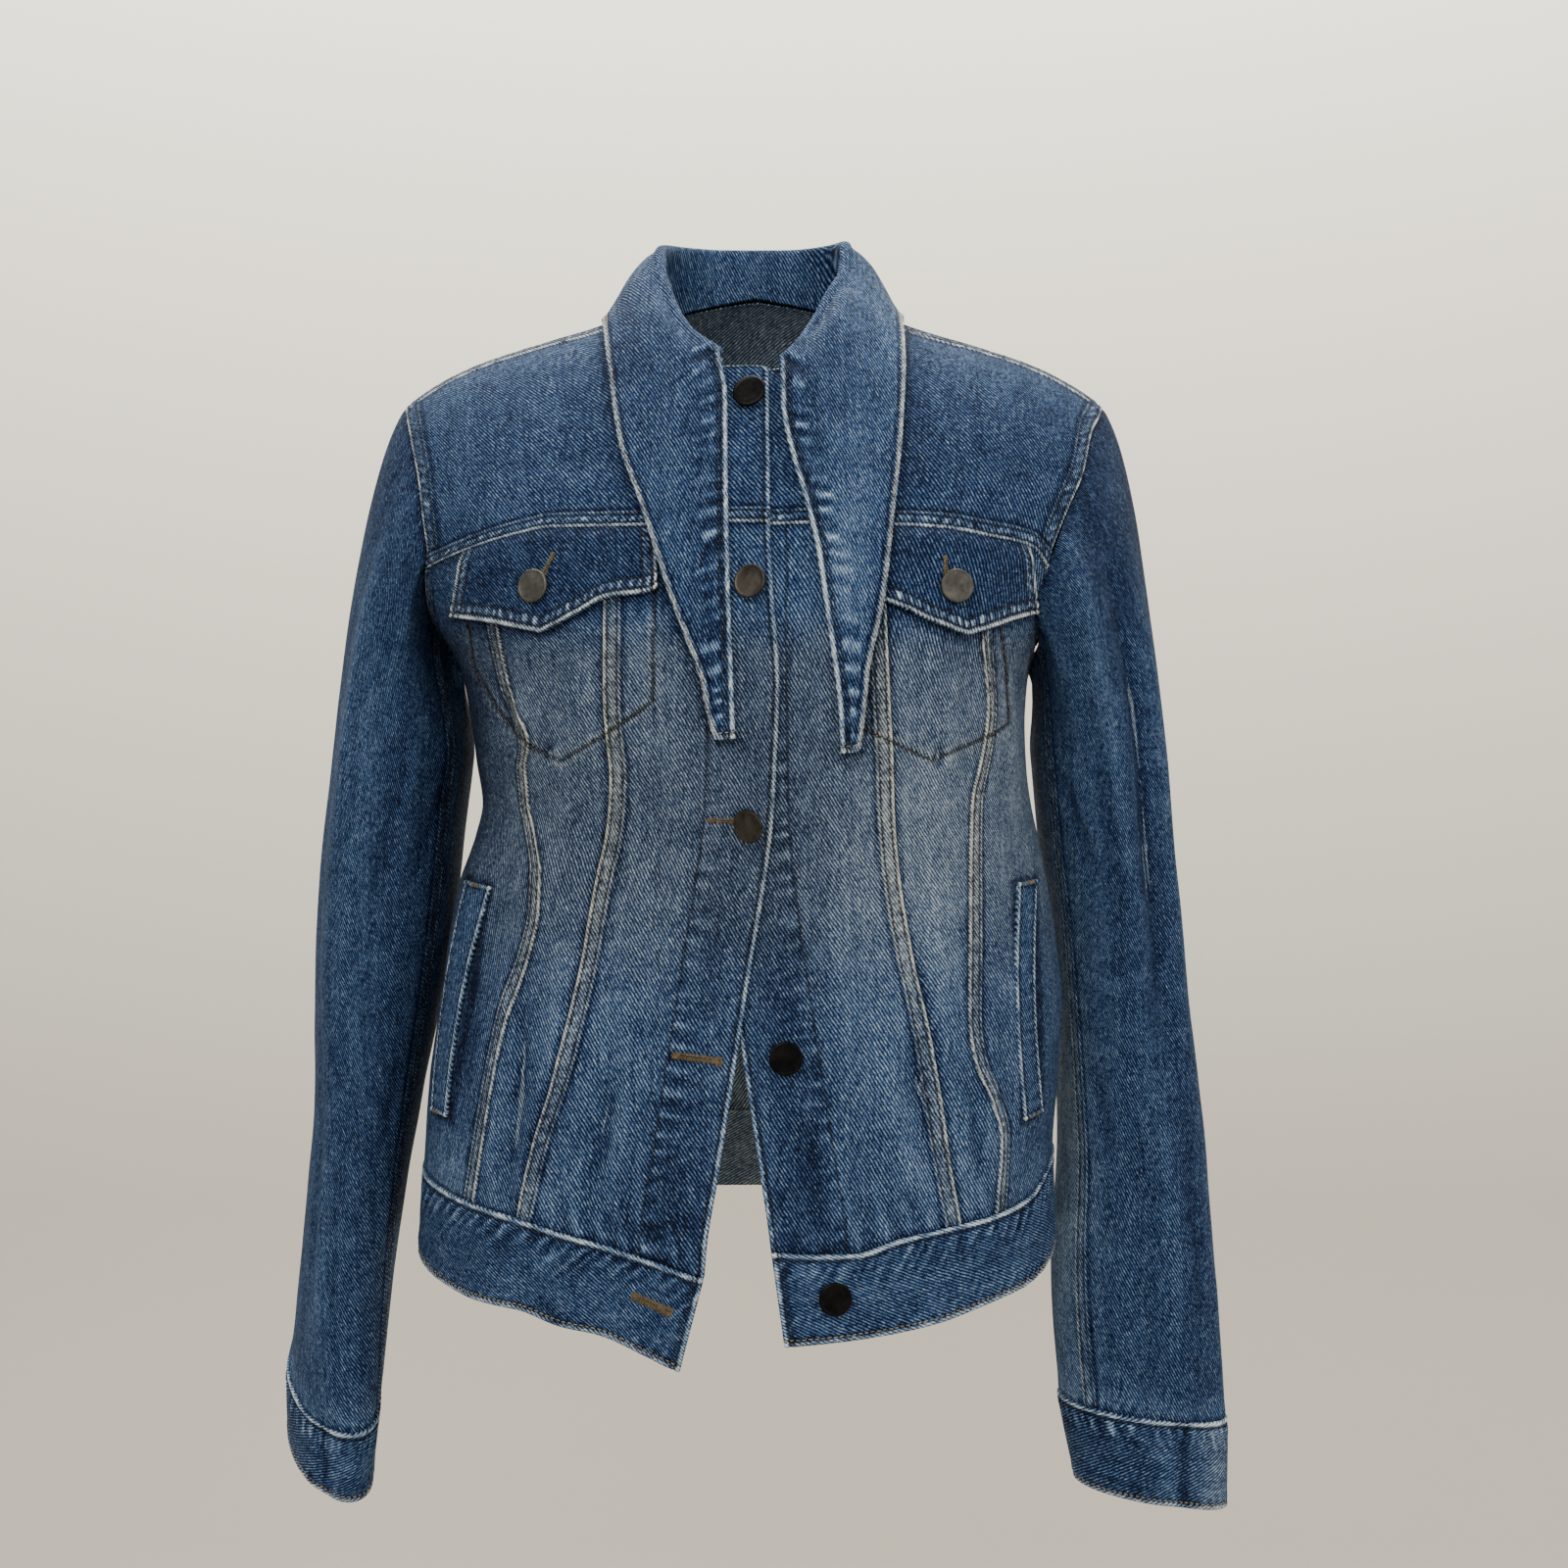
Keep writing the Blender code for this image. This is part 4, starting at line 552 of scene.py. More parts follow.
def sleeve(tag, theta, w):
    """Outer face of the sleeve with its lengthwise folds."""
    p = sleeve_point(tag, theta, w)
    e = 1e-3
    dt = sleeve_point(tag, theta + e, w) - sleeve_point(tag, theta - e, w)
    dw = sleeve_point(tag, theta, w + e) - sleeve_point(tag, theta, np.clip(w - e, 0, 2))
    n = unit(np.cross(dt, dw)) * (-1.0 if tag == "r" else 1.0)
    far = np.zeros(p.shape[:-1])
    deg = np.degrees(theta) % 360
    for a0, a1, wide, z0, z1, amount in SLEEVE_FOLDS[tag]:
        t = np.clip((z0 - p[..., 2]) / (z0 - z1), 0, 1)
        miss = (deg - (a0 + (a1 - a0) * t) + 180) % 360 - 180
        ends = ease((z0 - p[..., 2]) / 0.05) * ease((p[..., 2] - z1) / 0.10)
        far = far + amount * np.exp(-(miss / wide) ** 2) * ends
    return p + n * far[..., None], n


ARMHOLE = {tag: arm_curve(sign) for sign, tag in BOTH}


# ------------------------------------------------------------ fine cloth
def noise(u, v=0.0, seed=0):
    """Smooth noise from 0 to 1, one cell per unit."""
    u, v = np.broadcast_arrays(np.asarray(u, float), np.asarray(v, float))
    i, j = np.floor(u), np.floor(v)
    fu, fv = ease(u - i), ease(v - j)

    def corner(a, b):
        s = np.sin(a * 127.1 + b * 311.7 + seed * 74.7) * 43758.5453
        return s - np.floor(s)

    low = corner(i, j) * (1 - fu) + corner(i + 1, j) * fu
    high = corner(i, j + 1) * (1 - fu) + corner(i + 1, j + 1) * fu
    return low * (1 - fv) + high * fv


def hump(x, at, wide):
    return np.exp(-(((x - at) / wide) ** 2))


def lengths(p):
    """Length along each row of points, from its first column."""
    leg = np.linalg.norm(np.diff(p, axis=1), axis=2)
    return np.concatenate([np.zeros((len(p), 1)), np.cumsum(leg, axis=1)], axis=1)


def place(points, values, low, high, pitch):
    """Columns at set distances (mm) from the two sides of a grid."""
    s = lengths(points)
    width = s[:, -1]
    low, high = np.asarray(low, float) * MM, np.asarray(high, float) * MM
    room = width.max() - low[-1] - high[-1]
    count = max(1, int(round(room / (pitch * MM))))
    out = []
    for r in range(len(s)):
        k = min(1.0, 0.94 * width[r] / max(low[-1] + high[-1], 1e-9))
        a = low * k
        b = width[r] - high[::-1] * k
        want = np.concatenate([a, np.linspace(a[-1], b[0], count + 1)[1:-1], b])
        out.append([np.interp(want, s[r], values[r, :, c]) for c in range(values.shape[2])])
    return np.array(out).transpose(0, 2, 1)


def fine(surface, grid, left, right, below, above, pitch):
    """A grid of parameters with its lines at set distances from its edges."""
    grid = place(surface(grid), grid, left, right, pitch[0])
    turned = grid.transpose(1, 0, 2)
    turned = place(surface(turned), turned, below, above, pitch[1])
    return turned.transpose(1, 0, 2)


cloths = {}


class Cloth:
    """A fine grid on a panel: where it is and how it looks there."""

    def __init__(self, name, p, n, thick, wash, up_v=None, side=1.0, turned=False):
        cloths[name] = self
        self.name, self.p, self.n, self.thick = name, p, n, thick
        across, down = lengths(p), lengths(p.transpose(1, 0, 2)).T
        self.dl, self.dr = across / MM, (across[:, -1:] - across) / MM
        self.db, self.dt = down / MM, (down[-1:] - down) / MM
        u = side * (across - across[:, -1:] / 2)
        v = down if up_v is None else up_v
        self.uv = np.stack([v, -u], -1) if turned else np.stack([u, v], -1)
        self.x, self.y, self.z = p[..., 0] / MM, p[..., 1] / MM, p[..., 2] / MM
        flat = np.zeros(p.shape[:2])
        # wash: how pale the indigo is, with painted shade and light added into it
        self.up, self.wash = flat.copy(), flat + wash
        self.warm, self.worn = flat.copy(), flat.copy()
        self.flat = (across[:, -1].max(), down[-1].max())
        legs_u = p[1:, 1:] - p[:-1, :-1]
        legs_v = p[1:, :-1] - p[:-1, 1:]
        self.area = float(np.linalg.norm(np.cross(legs_u, legs_v), axis=2).sum() / 2)

    def out(self):
        return self.p + self.n * (self.up * MM)[..., None]


def uneven(phase, amount, slow, seed):
    near, far = noise(phase * 0.7, 0, seed) - 0.5, noise(phase * slow, 5, seed) - 0.5
    return phase + amount * near + far


def puckers(c, d, s, start, reach, pitch, slant=0.0, deep=0.2, tone=0.08, seed=1, where=1.0):
    """Uneven ridges square to a seam: d from it, s along it, all mm."""
    phase = uneven((s + slant * d) / pitch, 0.9, 0.21, seed)
    far = reach * (0.45 + 1.0 * noise(phase * 1.0, 7, seed + 1))
    on = ease((d - start + 0.8) / 1.2) * (1 - ease((d - start) / np.maximum(far, 0.5)))
    size = (0.35 + 1.2 * noise(phase * 0.6, 2, seed + 2)) * on * where
    wave = np.cos(2 * math.pi * phase)
    c.up += 1.35 * deep * wave * size
    c.wash += tone * (3.4 * np.exp(1.7 * (wave - 1)) - 1.5) * size


def bars(c, d, s, low, high, pitch, slant=0.3, tone=0.2, seed=1, where=1.0):
    """Rubbed bars between two sewn rows: from low to high (mm) off the edge."""
    phase = uneven((s + slant * d) / pitch, 0.8, 0.19, seed)
    end = high - (high - low) * 0.45 * noise(phase, 7, seed + 1)
    on = ease((d - low + 0.5) / 1.0) * (1 - ease((d - end + 0.6) / 1.2))
    size = (0.25 + 1.15 * noise(phase * 0.9, 2, seed + 2)) * on * where
    wave = np.cos(2 * math.pi * phase)
    c.wash += tone * (1.35 * np.exp(2.0 * (wave - 1)) - 0.22) * size
    c.up += 0.25 * wave * size


def felled(c, d, s, wide, seed=1, tone=0.085, where=1.0, high=0.55, edge=0.17, warm=0.42,
           bar=0.14):
    """A felled seam: a raised band with two sewn rows, a worn edge, and a painted shadow line
    beside the band.
    """
    on = ease(d / 0.7) * (1 - ease((d - wide) / 1.0)) * where
    c.up = c.up + high * on - 0.30 * (1 - ease(d / 0.6)) * where
    for at in (2.5, wide - 1.3):
        row = hump(d, at, 0.7) * where
        c.up -= 0.36 * row
        c.wash -= 0.20 * row
    bars(c, d, s, 2.6, wide - 1.4, 4.9, 0.3, bar, seed, where)
    patch = noise(s / 4.3, d / 2.6, seed + 3) - 0.5
    # the band's own tone and patches, and a painted shadow line just beyond the band's edge
    c.wash = c.wash + (tone + 0.20 * patch) * on - 0.23 * hump(d, wide + 1.4, 1.2) * where
    c.wash += 0.15 * hump(d, wide - 0.1, 0.6) * where
    c.warm += warm * on
    worn = hump(d, 0.95, 0.95) * (0.30 + 1.0 * noise(s / 3.1, 0, seed)) * where
    c.wash += 1.75 * edge * worn
    c.warm += 0.45 * hump(d, 0.95, 1.1) * where
    c.worn += 0.8 * worn


def under(c, d, where=1.0, dark=0.17, reach=2.4):
    """Cloth that goes in below the edge of its neighbour, with painted shade along that edge."""
    c.up -= 0.40 * hump(d, 0, 1.1) * where
    # painted shade where the neighbour's edge lies over this cloth
    c.wash -= dark * hump(d, 0, reach) * where


def cord(c, d, s, seed=1, tone=0.30, row=3.5, where=1.0, high=0.22, warm=0.45):
    """A turned edge: a rubbed cord of cloth outside a sewn row."""
    c.up = c.up - 0.60 * (1 - ease(d / 0.6)) * where + 1.7 * high * hump(d, 1.4, 1.1) * where
    ditch = hump(d, row, 0.8) * where
    c.up -= 0.45 * ditch
    c.wash -= 0.24 * ditch
    rope = 0.72 + 0.40 * np.sin(2 * math.pi * (s + 1.1 * d) / 2.3) * noise(s / 9.0, 1, seed)
    patchy = 0.35 + 0.9 * noise(s / 4.0, 3, seed)
    worn = hump(d, 1.4, 1.2) * patchy * rope * where
    c.wash += 1.75 * tone * worn
    c.warm += warm * hump(d, 1.4, 1.4) * where
    c.worn += worn


def creases(c, a, b, rows):
    """Creases: a0, b0, a1, b1, half width (mm), depth, tone."""
    for a0, b0, a1, b1, wide, deep, tone in rows:
        da, db = a1 - a0, b1 - b0
        size = math.hypot(da, db)
        t = ((a - a0) * da + (b - b0) * db) / size ** 2
        bend = 0.10 * size * np.sin(math.pi * np.clip(t, 0, 1)) * (noise(a0, b0, 4) - 0.5)
        miss = ((a - a0) * db - (b - b0) * da) / size + bend
        on = ease(np.clip(t, 0, 1) / 0.3) * ease(np.clip(1 - t, 0, 1) / 0.3)
        k = on * np.exp(-(miss / wide) ** 2)
        c.up += 1.9 * deep * k
        # painted highlight on a raised fold and painted shade in a sunk one
        c.wash += 2.2 * tone * k


def near_path(x, z, path):
    """Distance (mm) from a line of points in x, z, and place along it."""
    best = np.full(x.shape, 1e9)
    at = np.zeros(x.shape)
    gone = 0.0
    for (x0, z0), (x1, z1) in zip(path[:-1], path[1:]):
        size = math.hypot(x1 - x0, z1 - z0)
        t = np.clip(((x - x0) * (x1 - x0) + (z - z0) * (z1 - z0)) / size ** 2, 0, 1)
        d = np.hypot(x - x0 - t * (x1 - x0), z - z0 - t * (z1 - z0))
        at = np.where(d < best, gone + t * size, at)
        best = np.minimum(d, best)
        gone += size
    return best, at


def sewn_line(c, d, s, seed, dark=0.26, deep=0.45, where=1.0):
    """The dip of one row of stitches, with the cloth rubbed beside it."""
    row = hump(d, 0, 0.8) * where
    c.up -= deep * row
    c.wash -= dark * row
    beside = hump(d, 2.2, 1.2) * noise(s / 5.0, 0, seed) * where
    c.wash += 0.12 * beside
    c.warm += 0.25 * hump(d, 0, 3.0) * where
    c.up += 0.12 * beside


def blobs(c, a, b, rows):
    """Soft fades, with painted light and shade in some tables: centre, half sizes (mm), how much
    lighter.
    """
    for a0, b0, ra, rb, tone in rows:
        c.wash += tone * np.exp(-(((a - a0) / ra) ** 2) - ((b - b0) / rb) ** 2)


def mesh_of(name, verts, loops, totals, material, smooth=True):
    mesh = bpy.data.meshes.new(name)
    loops = np.asarray(loops, np.int32)
    totals = np.asarray(totals, np.int32)
    mesh.vertices.add(len(verts))
    mesh.vertices.foreach_set("co", np.asarray(verts, np.float32).ravel())
    mesh.loops.add(len(loops))
    mesh.loops.foreach_set("vertex_index", loops)
    mesh.polygons.add(len(totals))
    starts = np.concatenate([[0], np.cumsum(totals)[:-1]]).astype(np.int32)
    mesh.polygons.foreach_set("loop_start", starts)
    mesh.polygons.foreach_set("loop_total", totals)
    mesh.polygons.foreach_set("use_smooth", np.full(len(totals), smooth))
    mesh.update(calc_edges=True)
    mesh.materials.append(material)
    obj = bpy.data.objects.new(name, mesh)
    bpy.context.scene.collection.objects.link(obj)
    return obj


# each edge of a grid and a line beside it
EDGES = ((np.s_[:, 0], np.s_[:, 2]), (np.s_[:, -1], np.s_[:, -3]),
         (np.s_[0], np.s_[2]), (np.s_[-1], np.s_[-3]))


def quads_of(index):
    corners = [index[:-1, :-1], index[:-1, 1:], index[1:, 1:], index[1:, :-1]]
    return np.stack(corners, -1).reshape(-1, 4)


def rims_of(front, behind, picks, ends):
    """Faces that join the first and last lines of two grids."""
    for k, (a, b) in enumerate(zip(picks[:-1], picks[1:])):
        for end in ends:
            span, pair = front[end, a:b + 1], behind[end, [k + 1, k]]
            yield np.concatenate([span, pair] if end else [span[::-1], pair[::-1]])


def shell(c, node, ring=False, step=3):
    """The closed wall of a cloth and its looks."""
    outer = c.out()
    inner = c.p - c.n * (c.thick - 0.3 * np.minimum(c.up, 0.0) * MM)[..., None]
    if not ring:
        for edge, beside in EDGES:
            outer[edge] = outer[edge] + 0.18 * MM * unit(outer[beside] - outer[edge])
        for (edge, beside), part in zip(EDGES, (1, 1, 0.5, 0.5)):
            inner[edge] = inner[edge] + (outer - c.p)[edge] * part
    rows, cols = c.up.shape
    base = rows * cols
    pick_r = sorted({*range(0, rows, step), rows - 1})
    pick_c = list(range(0, cols, step)) if ring else sorted({*range(0, cols, step), cols - 1})
    grid = np.ix_(pick_r, pick_c)
    index = np.arange(base).reshape(rows, cols)
    behind = base + np.arange(len(pick_r) * len(pick_c)).reshape(len(pick_r), -1)
    if ring:
        index, behind = (np.concatenate([i, i[:, :1]], axis=1) for i in (index, behind))
        pick_c = pick_c + [cols]
    quads, backs = quads_of(index), quads_of(behind)[:, [0, 3, 2, 1]]
    rims = list(rims_of(index, behind, pick_c, (0, -1)))
    if not ring:
        rims += rims_of(index.T[::-1], behind.T[::-1], pick_r, (-1, 0))
    verts = np.concatenate([outer.reshape(-1, 3), inner[grid].reshape(-1, 3)])
    volume = 0.0
    for q in (verts[quads], verts[backs]):
        turned = np.cross(q[:, 1] - q[:, 0], q[:, 3] - q[:, 0])
        volume += np.einsum("ij,ij->i", q[:, 0], turned).sum()
    if volume < 0:
        quads, backs, rims = quads[:, ::-1], backs[:, ::-1], [f[::-1] for f in rims]
    loops = np.concatenate([quads.ravel(), backs.ravel()] + rims)
    totals = np.concatenate([np.full(len(quads) + len(backs), 4), [len(f) for f in rims]])
    obj = mesh_of("cloth_" + c.name, verts, loops, totals, DENIM)
    for key, value in (("wash", c.wash), ("warm", c.warm), ("worn", c.worn)):
        both = np.concatenate([value.ravel(), value[grid].ravel()])
        if key == "warm":
            both[base:] = 0.55
        if key == "wash":
            both[base:] = 0.50 + 0.1 * (both[base:] - 0.35)
        layer = obj.data.attributes.new(key, "FLOAT", "POINT")
        layer.data.foreach_set("value", both.astype(np.float32))
    uv = np.concatenate([c.uv.reshape(-1, 2), c.uv[grid].reshape(-1, 2)])
    layer = obj.data.uv_layers.new(name="weave")
    layer.data.foreach_set("uv", uv[loops].astype(np.float32).ravel())
    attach(obj, "root")
    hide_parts(node)
    size = (c.flat[0], min(c.flat[1], c.area / 0.32 / c.flat[0]))
    round(min(c.area, size[0] * size[1]), 6)


# -------------------------------------------------------------- stitches
THREADS = {}


def trace(c, dist, at, down=True, keep=None):
    """Points and normals along the line where a distance is at (mm)."""
    q, n = c.out(), c.n
    if not down:
        q, n, dist = q.transpose(1, 0, 2), n.transpose(1, 0, 2), dist.T
    pts, ups = [], []
    for r in range(len(dist)):
        if keep is not None and not keep[r]:
            continue
        order = np.s_[:] if dist[r, -1] > dist[r, 0] else np.s_[::-1]
        row = dist[r][order]
        pts.append([np.interp(at, row, q[r, :, k][order]) for k in range(3)])
        ups.append([np.interp(at, row, n[r, :, k][order]) for k in range(3)])
    return np.array(pts), unit(np.array(ups))


def sew(group, pts, ups, pitch=3.3, share=0.80, radius=0.37, lift=0.05, seed=0):
    """Stitches along a line of points on the cloth."""
    s = np.concatenate([[0], np.cumsum(np.linalg.norm(np.diff(pts, axis=0), axis=1))]) / MM
    count = int(s[-1] / pitch)
    if count < 1:
        return
    first = (np.arange(count) + 0.13) * s[-1] / count
    first = first + 0.25 * (noise(np.arange(count) * 1.7, 0, seed) - 0.5)
    size = pitch * share * (0.92 + 0.16 * noise(np.arange(count) * 2.3, 1, seed))

    def at(k, values):
        return np.stack([np.interp(k, s, values[:, j]) for j in range(3)], -1)

    rings = []
    for t, r, h in ((0, 0, -0.9), (0.16, 0.9, -0.1), (0.5, 1, 0.35), (0.84, 0.9, -0.1),
                    (1, 0, -0.9)):
        k = first + size * t
        p, n = at(k, pts), unit(at(k, ups))
        along_it = unit(at(k + 0.2, pts) - at(k - 0.2, pts))
        side = unit(np.cross(along_it, n))
        centre = p + n * ((lift + h * radius) * MM)
        turns = [math.pi / 4 + math.pi / 2 * m for m in range(4 if r else 1)]
        rings.append(np.stack([centre + (side * math.cos(a) + n * math.sin(a)) * r * radius * MM
                               for a in turns], 1))
    THREADS.setdefault(group, []).append(np.concatenate(rings, axis=1))


def tack(centre, up, along_it, length, wide, count):
    """A bar tack: parallel threads side by side."""
    up = unit(up)
    along_it = unit(along_it - up * float(np.dot(along_it, up)))
    side = np.cross(along_it, up)
    for k in range(count):
        t = (k + 0.5) / count - 0.5
        mid = centre + along_it * (length * t * MM)
        w = wide * (0.85 + 0.3 * float(noise(k * 1.3, length, 3)))
        line = np.stack([mid - side * (w / 2 * MM), mid, mid + side * (w / 2 * MM)])
        sew("gold", line, np.stack([up] * 3), pitch=w, share=0.98, radius=0.3, lift=0.15)


def threads():
    """Make one piece of each group of stitches."""
    turns = [(m, (m + 1) % 4) for m in range(4)]
    three = np.array([f for m, k in turns for f in ((0, 1 + m, 1 + k), (13, 9 + k, 9 + m))])
    four = np.array([f for m, k in turns for f in ((1 + m, 5 + m, 5 + k, 1 + k),
                                                   (5 + m, 9 + m, 9 + k, 5 + k))])
    for group, parts in THREADS.items():
        v = np.concatenate(parts)
        shift = np.arange(len(v))[:, None, None] * 14
        loops = np.concatenate([(three[None] + shift).ravel(), (four[None] + shift).ravel()])
        totals = np.repeat([3, 4], 8 * len(v))
        colour = THREAD_OF.get(group.split("_")[0], "dark")
        obj = mesh_of("sewing_" + group, v.reshape(-1, 3), loops, totals, THREAD[colour])
        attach(obj, "root")


# ------------------------------------------------------------- materials
def linear(rgb):
    return tuple(v / 255 / 12.92 if v <= 10 else ((v / 255 + 0.055) / 1.055) ** 2.4
                 for v in rgb)


class Wire:
    """A node socket that adds, multiplies and mixes like a number."""

    def __init__(self, tree, socket):
        self.tree, self.socket = tree, socket

    def to(self, socket):
        self.tree.links.new(self.socket, socket)

    def math(self, kind, *others):
        node = self.tree.nodes.new("ShaderNodeMath")
        node.operation = kind
        fill(node, (self,) + others)
        return Wire(self.tree, node.outputs[0])

    def __add__(self, other):
        return self.math("ADD", other)

    def __sub__(self, other):
        return self.math("SUBTRACT", other)

    def __mul__(self, other):
        return self.math("MULTIPLY", other)


def fill(node, values):
    """Wires or numbers into the first sockets of a node."""
    for socket, value in zip(node.inputs, values):
        if isinstance(value, Wire):
            value.to(socket)
        else:
            socket.default_value = value


def attribute(tree, name):
    node = tree.nodes.new("ShaderNodeAttribute")
    node.attribute_name = name
    return Wire(tree, node.outputs["Fac"])


def combine(tree, x, y):
    node = tree.nodes.new("ShaderNodeCombineXYZ")
    fill(node, (x, y, 0.0))
    return node.outputs[0]


def parts_of(tree, vector):
    node = tree.nodes.new("ShaderNodeSeparateXYZ")
    tree.links.new(vector, node.inputs[0])
    return [Wire(tree, socket) for socket in node.outputs]


def grain(tree, vector, scale, detail=2.0, rough=0.5):
    """Noise about zero, roughly -0.5 to 0.5."""
    node = tree.nodes.new("ShaderNodeTexNoise")
    uniform(node, Scale=scale, Detail=detail, Roughness=rough)
    tree.links.new(vector, node.inputs["Vector"])
    return Wire(tree, node.outputs["Fac"]) - 0.5


def uniform(node, **values):
    for name, value in values.items():
        node.inputs[name.replace("_", " ")].default_value = value


def ramp(tree, value, stops):
    node = tree.nodes.new("ShaderNodeValToRGB")
    band = node.color_ramp
    while len(band.elements) < len(stops):
        band.elements.new(0.5)
    for element, (at, rgb) in zip(band.elements, stops):
        element.position = at
        element.color = linear(rgb) + (1.0,)
    value.to(node.inputs[0])
    return Wire(tree, node.outputs[0])


def begin(name):
    """A new material: itself, its tree, its shader, its object space."""
    mat = bpy.data.materials.new(name)
    mat.use_nodes = True
    tree = mat.node_tree
    where = tree.nodes.new("ShaderNodeTexCoord").outputs["Object"]
    return mat, tree, tree.nodes["Principled BSDF"], where


def bump(tree, shader, strength, distance):
    """A bump under a shader: gives the socket for its height."""
    node = tree.nodes.new("ShaderNodeBump")
    uniform(node, Strength=strength, Distance=distance)
    tree.links.new(node.outputs[0], shader.inputs["Normal"])
    return node.inputs["Height"]


# shade of washed indigo: how pale, colour
INDIGO = [(0.00, (4, 8, 22)), (0.12, (12, 26, 54)), (0.20, (27, 48, 83)),
          (0.28, (46, 71, 106)), (0.36, (69, 94, 125)), (0.46, (102, 125, 148)),
          (0.58, (143, 161, 175)), (0.74, (190, 199, 203)), (1.00, (236, 238, 233))]
KHAKI = [(0.00, (14, 15, 17)), (0.22, (50, 53, 54)), (0.40, (106, 108, 102)),
         (0.58, (160, 160, 148)), (1.00, (234, 231, 217))]


def denim_material(name):
    """Broken twill in the flat cloth's own millimetres."""
    mat = bpy.data.materials.new(name)
    mat.use_nodes = True
    tree = mat.node_tree
    shader = tree.nodes["Principled BSDF"]
    uv = tree.nodes.new("ShaderNodeUVMap")
    uv.uv_map = "weave"
    u, v, _ = parts_of(tree, uv.outputs[0])
    u, v = u * 1000.0, v * 1000.0
    flat = combine(tree, u, v)
    wobble = grain(tree, flat, 0.09)
    lines = u * 0.866 + v * 0.5 + wobble * 1.2
    across = u * 0.5 - v * 0.866
    twill = (lines * (2 * math.pi / 1.5)).math("SINE")
    broken = grain(tree, combine(tree, lines * 0.80, across * 0.34), 1.0, 3.0, 0.68)
    speck = grain(tree, flat, 1.15, 3.0, 0.7)
    slub = grain(tree, combine(tree, u * 0.75, v * 0.08), 1.0, 3.0, 0.65)
    streak = grain(tree, combine(tree, u * 0.22, v * 0.012), 1.0)
    mottle = grain(tree, flat, 0.07, 3.0, 0.6)
    wash, worn = attribute(tree, "wash"), attribute(tree, "worn")
    weave = twill * (broken * 2.6 + 0.85)
    pale = wash * 0.80 + weave * 0.20 + broken * 0.62 + speck * 0.62
    pale = pale + slub * 0.34 + streak * 0.14 + mottle * 0.22
    pale = pale + grain(tree, flat, 0.5, 2.0, 0.6) * 0.24 - 0.025
    pale = pale + worn * (speck * 1.2 + 0.05)
    tint = tree.nodes.new("ShaderNodeMix")
    tint.data_type = "RGBA"
    (attribute(tree, "warm") * 0.75).to(tint.inputs["Factor"])
    ramp(tree, pale, INDIGO).to(tint.inputs["A"])
    ramp(tree, pale, KHAKI).to(tint.inputs["B"])
    tree.links.new(tint.outputs["Result"], shader.inputs["Base Color"])
    raised = bump(tree, shader, 0.75, 0.00022)
    (weave * 0.5 + broken * 1.1 + speck * 1.0 + slub * 0.8 + 0.5).to(raised)
    ((wash * 0.12 + 0.80) + speck * 0.1).to(shader.inputs["Roughness"])
    uniform(shader, Specular_IOR_Level=0.12)
    return mat


def thread_material(name, dark, light):
    mat, tree, shader, where = begin(name)
    value = grain(tree, where, 260.0) * 1.1 + grain(tree, where, 1900.0) * 0.7 + 0.5
    ramp(tree, value, [(0.15, dark), (0.85, light)]).to(shader.inputs["Base Color"])
    raised = bump(tree, shader, 0.5, 0.0001)
    grain(tree, where, 2600.0, 1.0).to(raised)
    uniform(shader, Roughness=0.62, Specular_IOR_Level=0.35)
    return mat


def metal_material(name, dark, light, shine):
    mat, tree, shader, where = begin(name)
    spots, cloud = grain(tree, where, 420.0, 3.0, 0.6), grain(tree, where, 110.0)
    value = cloud * 1.2 + spots * 0.6 + 0.5
    ramp(tree, value, [(0.2, dark), (0.8, light)]).to(shader.inputs["Base Color"])
    (spots * 0.16 + cloud * 0.14 + shine).to(shader.inputs["Roughness"])
    spots.to(bump(tree, shader, 0.22, 0.0001))
    uniform(shader, Metallic=0.92)
    return mat


def sweep_material(name, low, high):
    """A pale backdrop with painted shade: darker towards the floor."""
    mat, tree, shader, where = begin(name)
    height = parts_of(tree, where)[2] * 0.5 + 0.65 + grain(tree, where, 6.0) * 0.02
    ramp(tree, height, [(0.0, low), (1.0, high)]).to(shader.inputs["Base Color"])
    uniform(shader, Roughness=0.9, Specular_IOR_Level=0.1)
    return mat


DENIM = denim_material("denim")
THREAD = {key: thread_material("thread_" + key, dark, light) for key, dark, light in (
    ("dark", (14, 17, 22), (46, 47, 44)), ("tan", (96, 84, 60), (176, 158, 122)),
    ("gold", (66, 54, 32), (140, 120, 80)), ("olive", (26, 28, 24), (72, 72, 58)))}
THREAD_OF = {"gold": "gold", "pocket": "olive", "tan": "tan"}   # by a group's first word


# ------------------------------------------------------------ the panels
# columns of a grid beside its edges, in mm: a felled seam, a plain edge,
# a turned edge
FELL = [0, 0.3, 0.7, 1.1, 1.5, 1.9, 2.3, 2.8, 3.4, 4.6, 5.8, 6.5, 7.0, 7.5, 8.0, 8.5, 9.1,
        9.7, 10.4, 11.6, 13.5]
PLAIN = [0, 0.5, 1.1, 1.9, 3.0, 4.6]
TURNED = [0, 0.3, 0.7, 1.1, 1.6, 2.1, 2.6, 3.0, 3.5, 4.3, 5.2, 6.4, 8.4]
FLAP_EDGE = TURNED[:-1] + [7.4, 8.0, 8.6, 9.2, 10.0, 11.5]
STRIP = [0, 0.3, 0.7, 1.1, 1.6, 2.1, 2.8]
K = 8                       # fine steps for each step of the part's grids
N_ROWS = 141
HEM = {"r": 35.0, "l": 39.5}        # from the front edge to the facing's sewn row
BACK_PITCH = (3.2, 2.8)
TURN = np.linspace(0, 2 * math.pi, 721)
GIRTH = lengths(base_torso(TURN, np.full(721, -0.25))[None])[0]
edges_of = {"r": {}, "l": {}}


def waist_line(a, b, steps):
    return waist_spot(np.linspace(a, b, steps * K + 1))


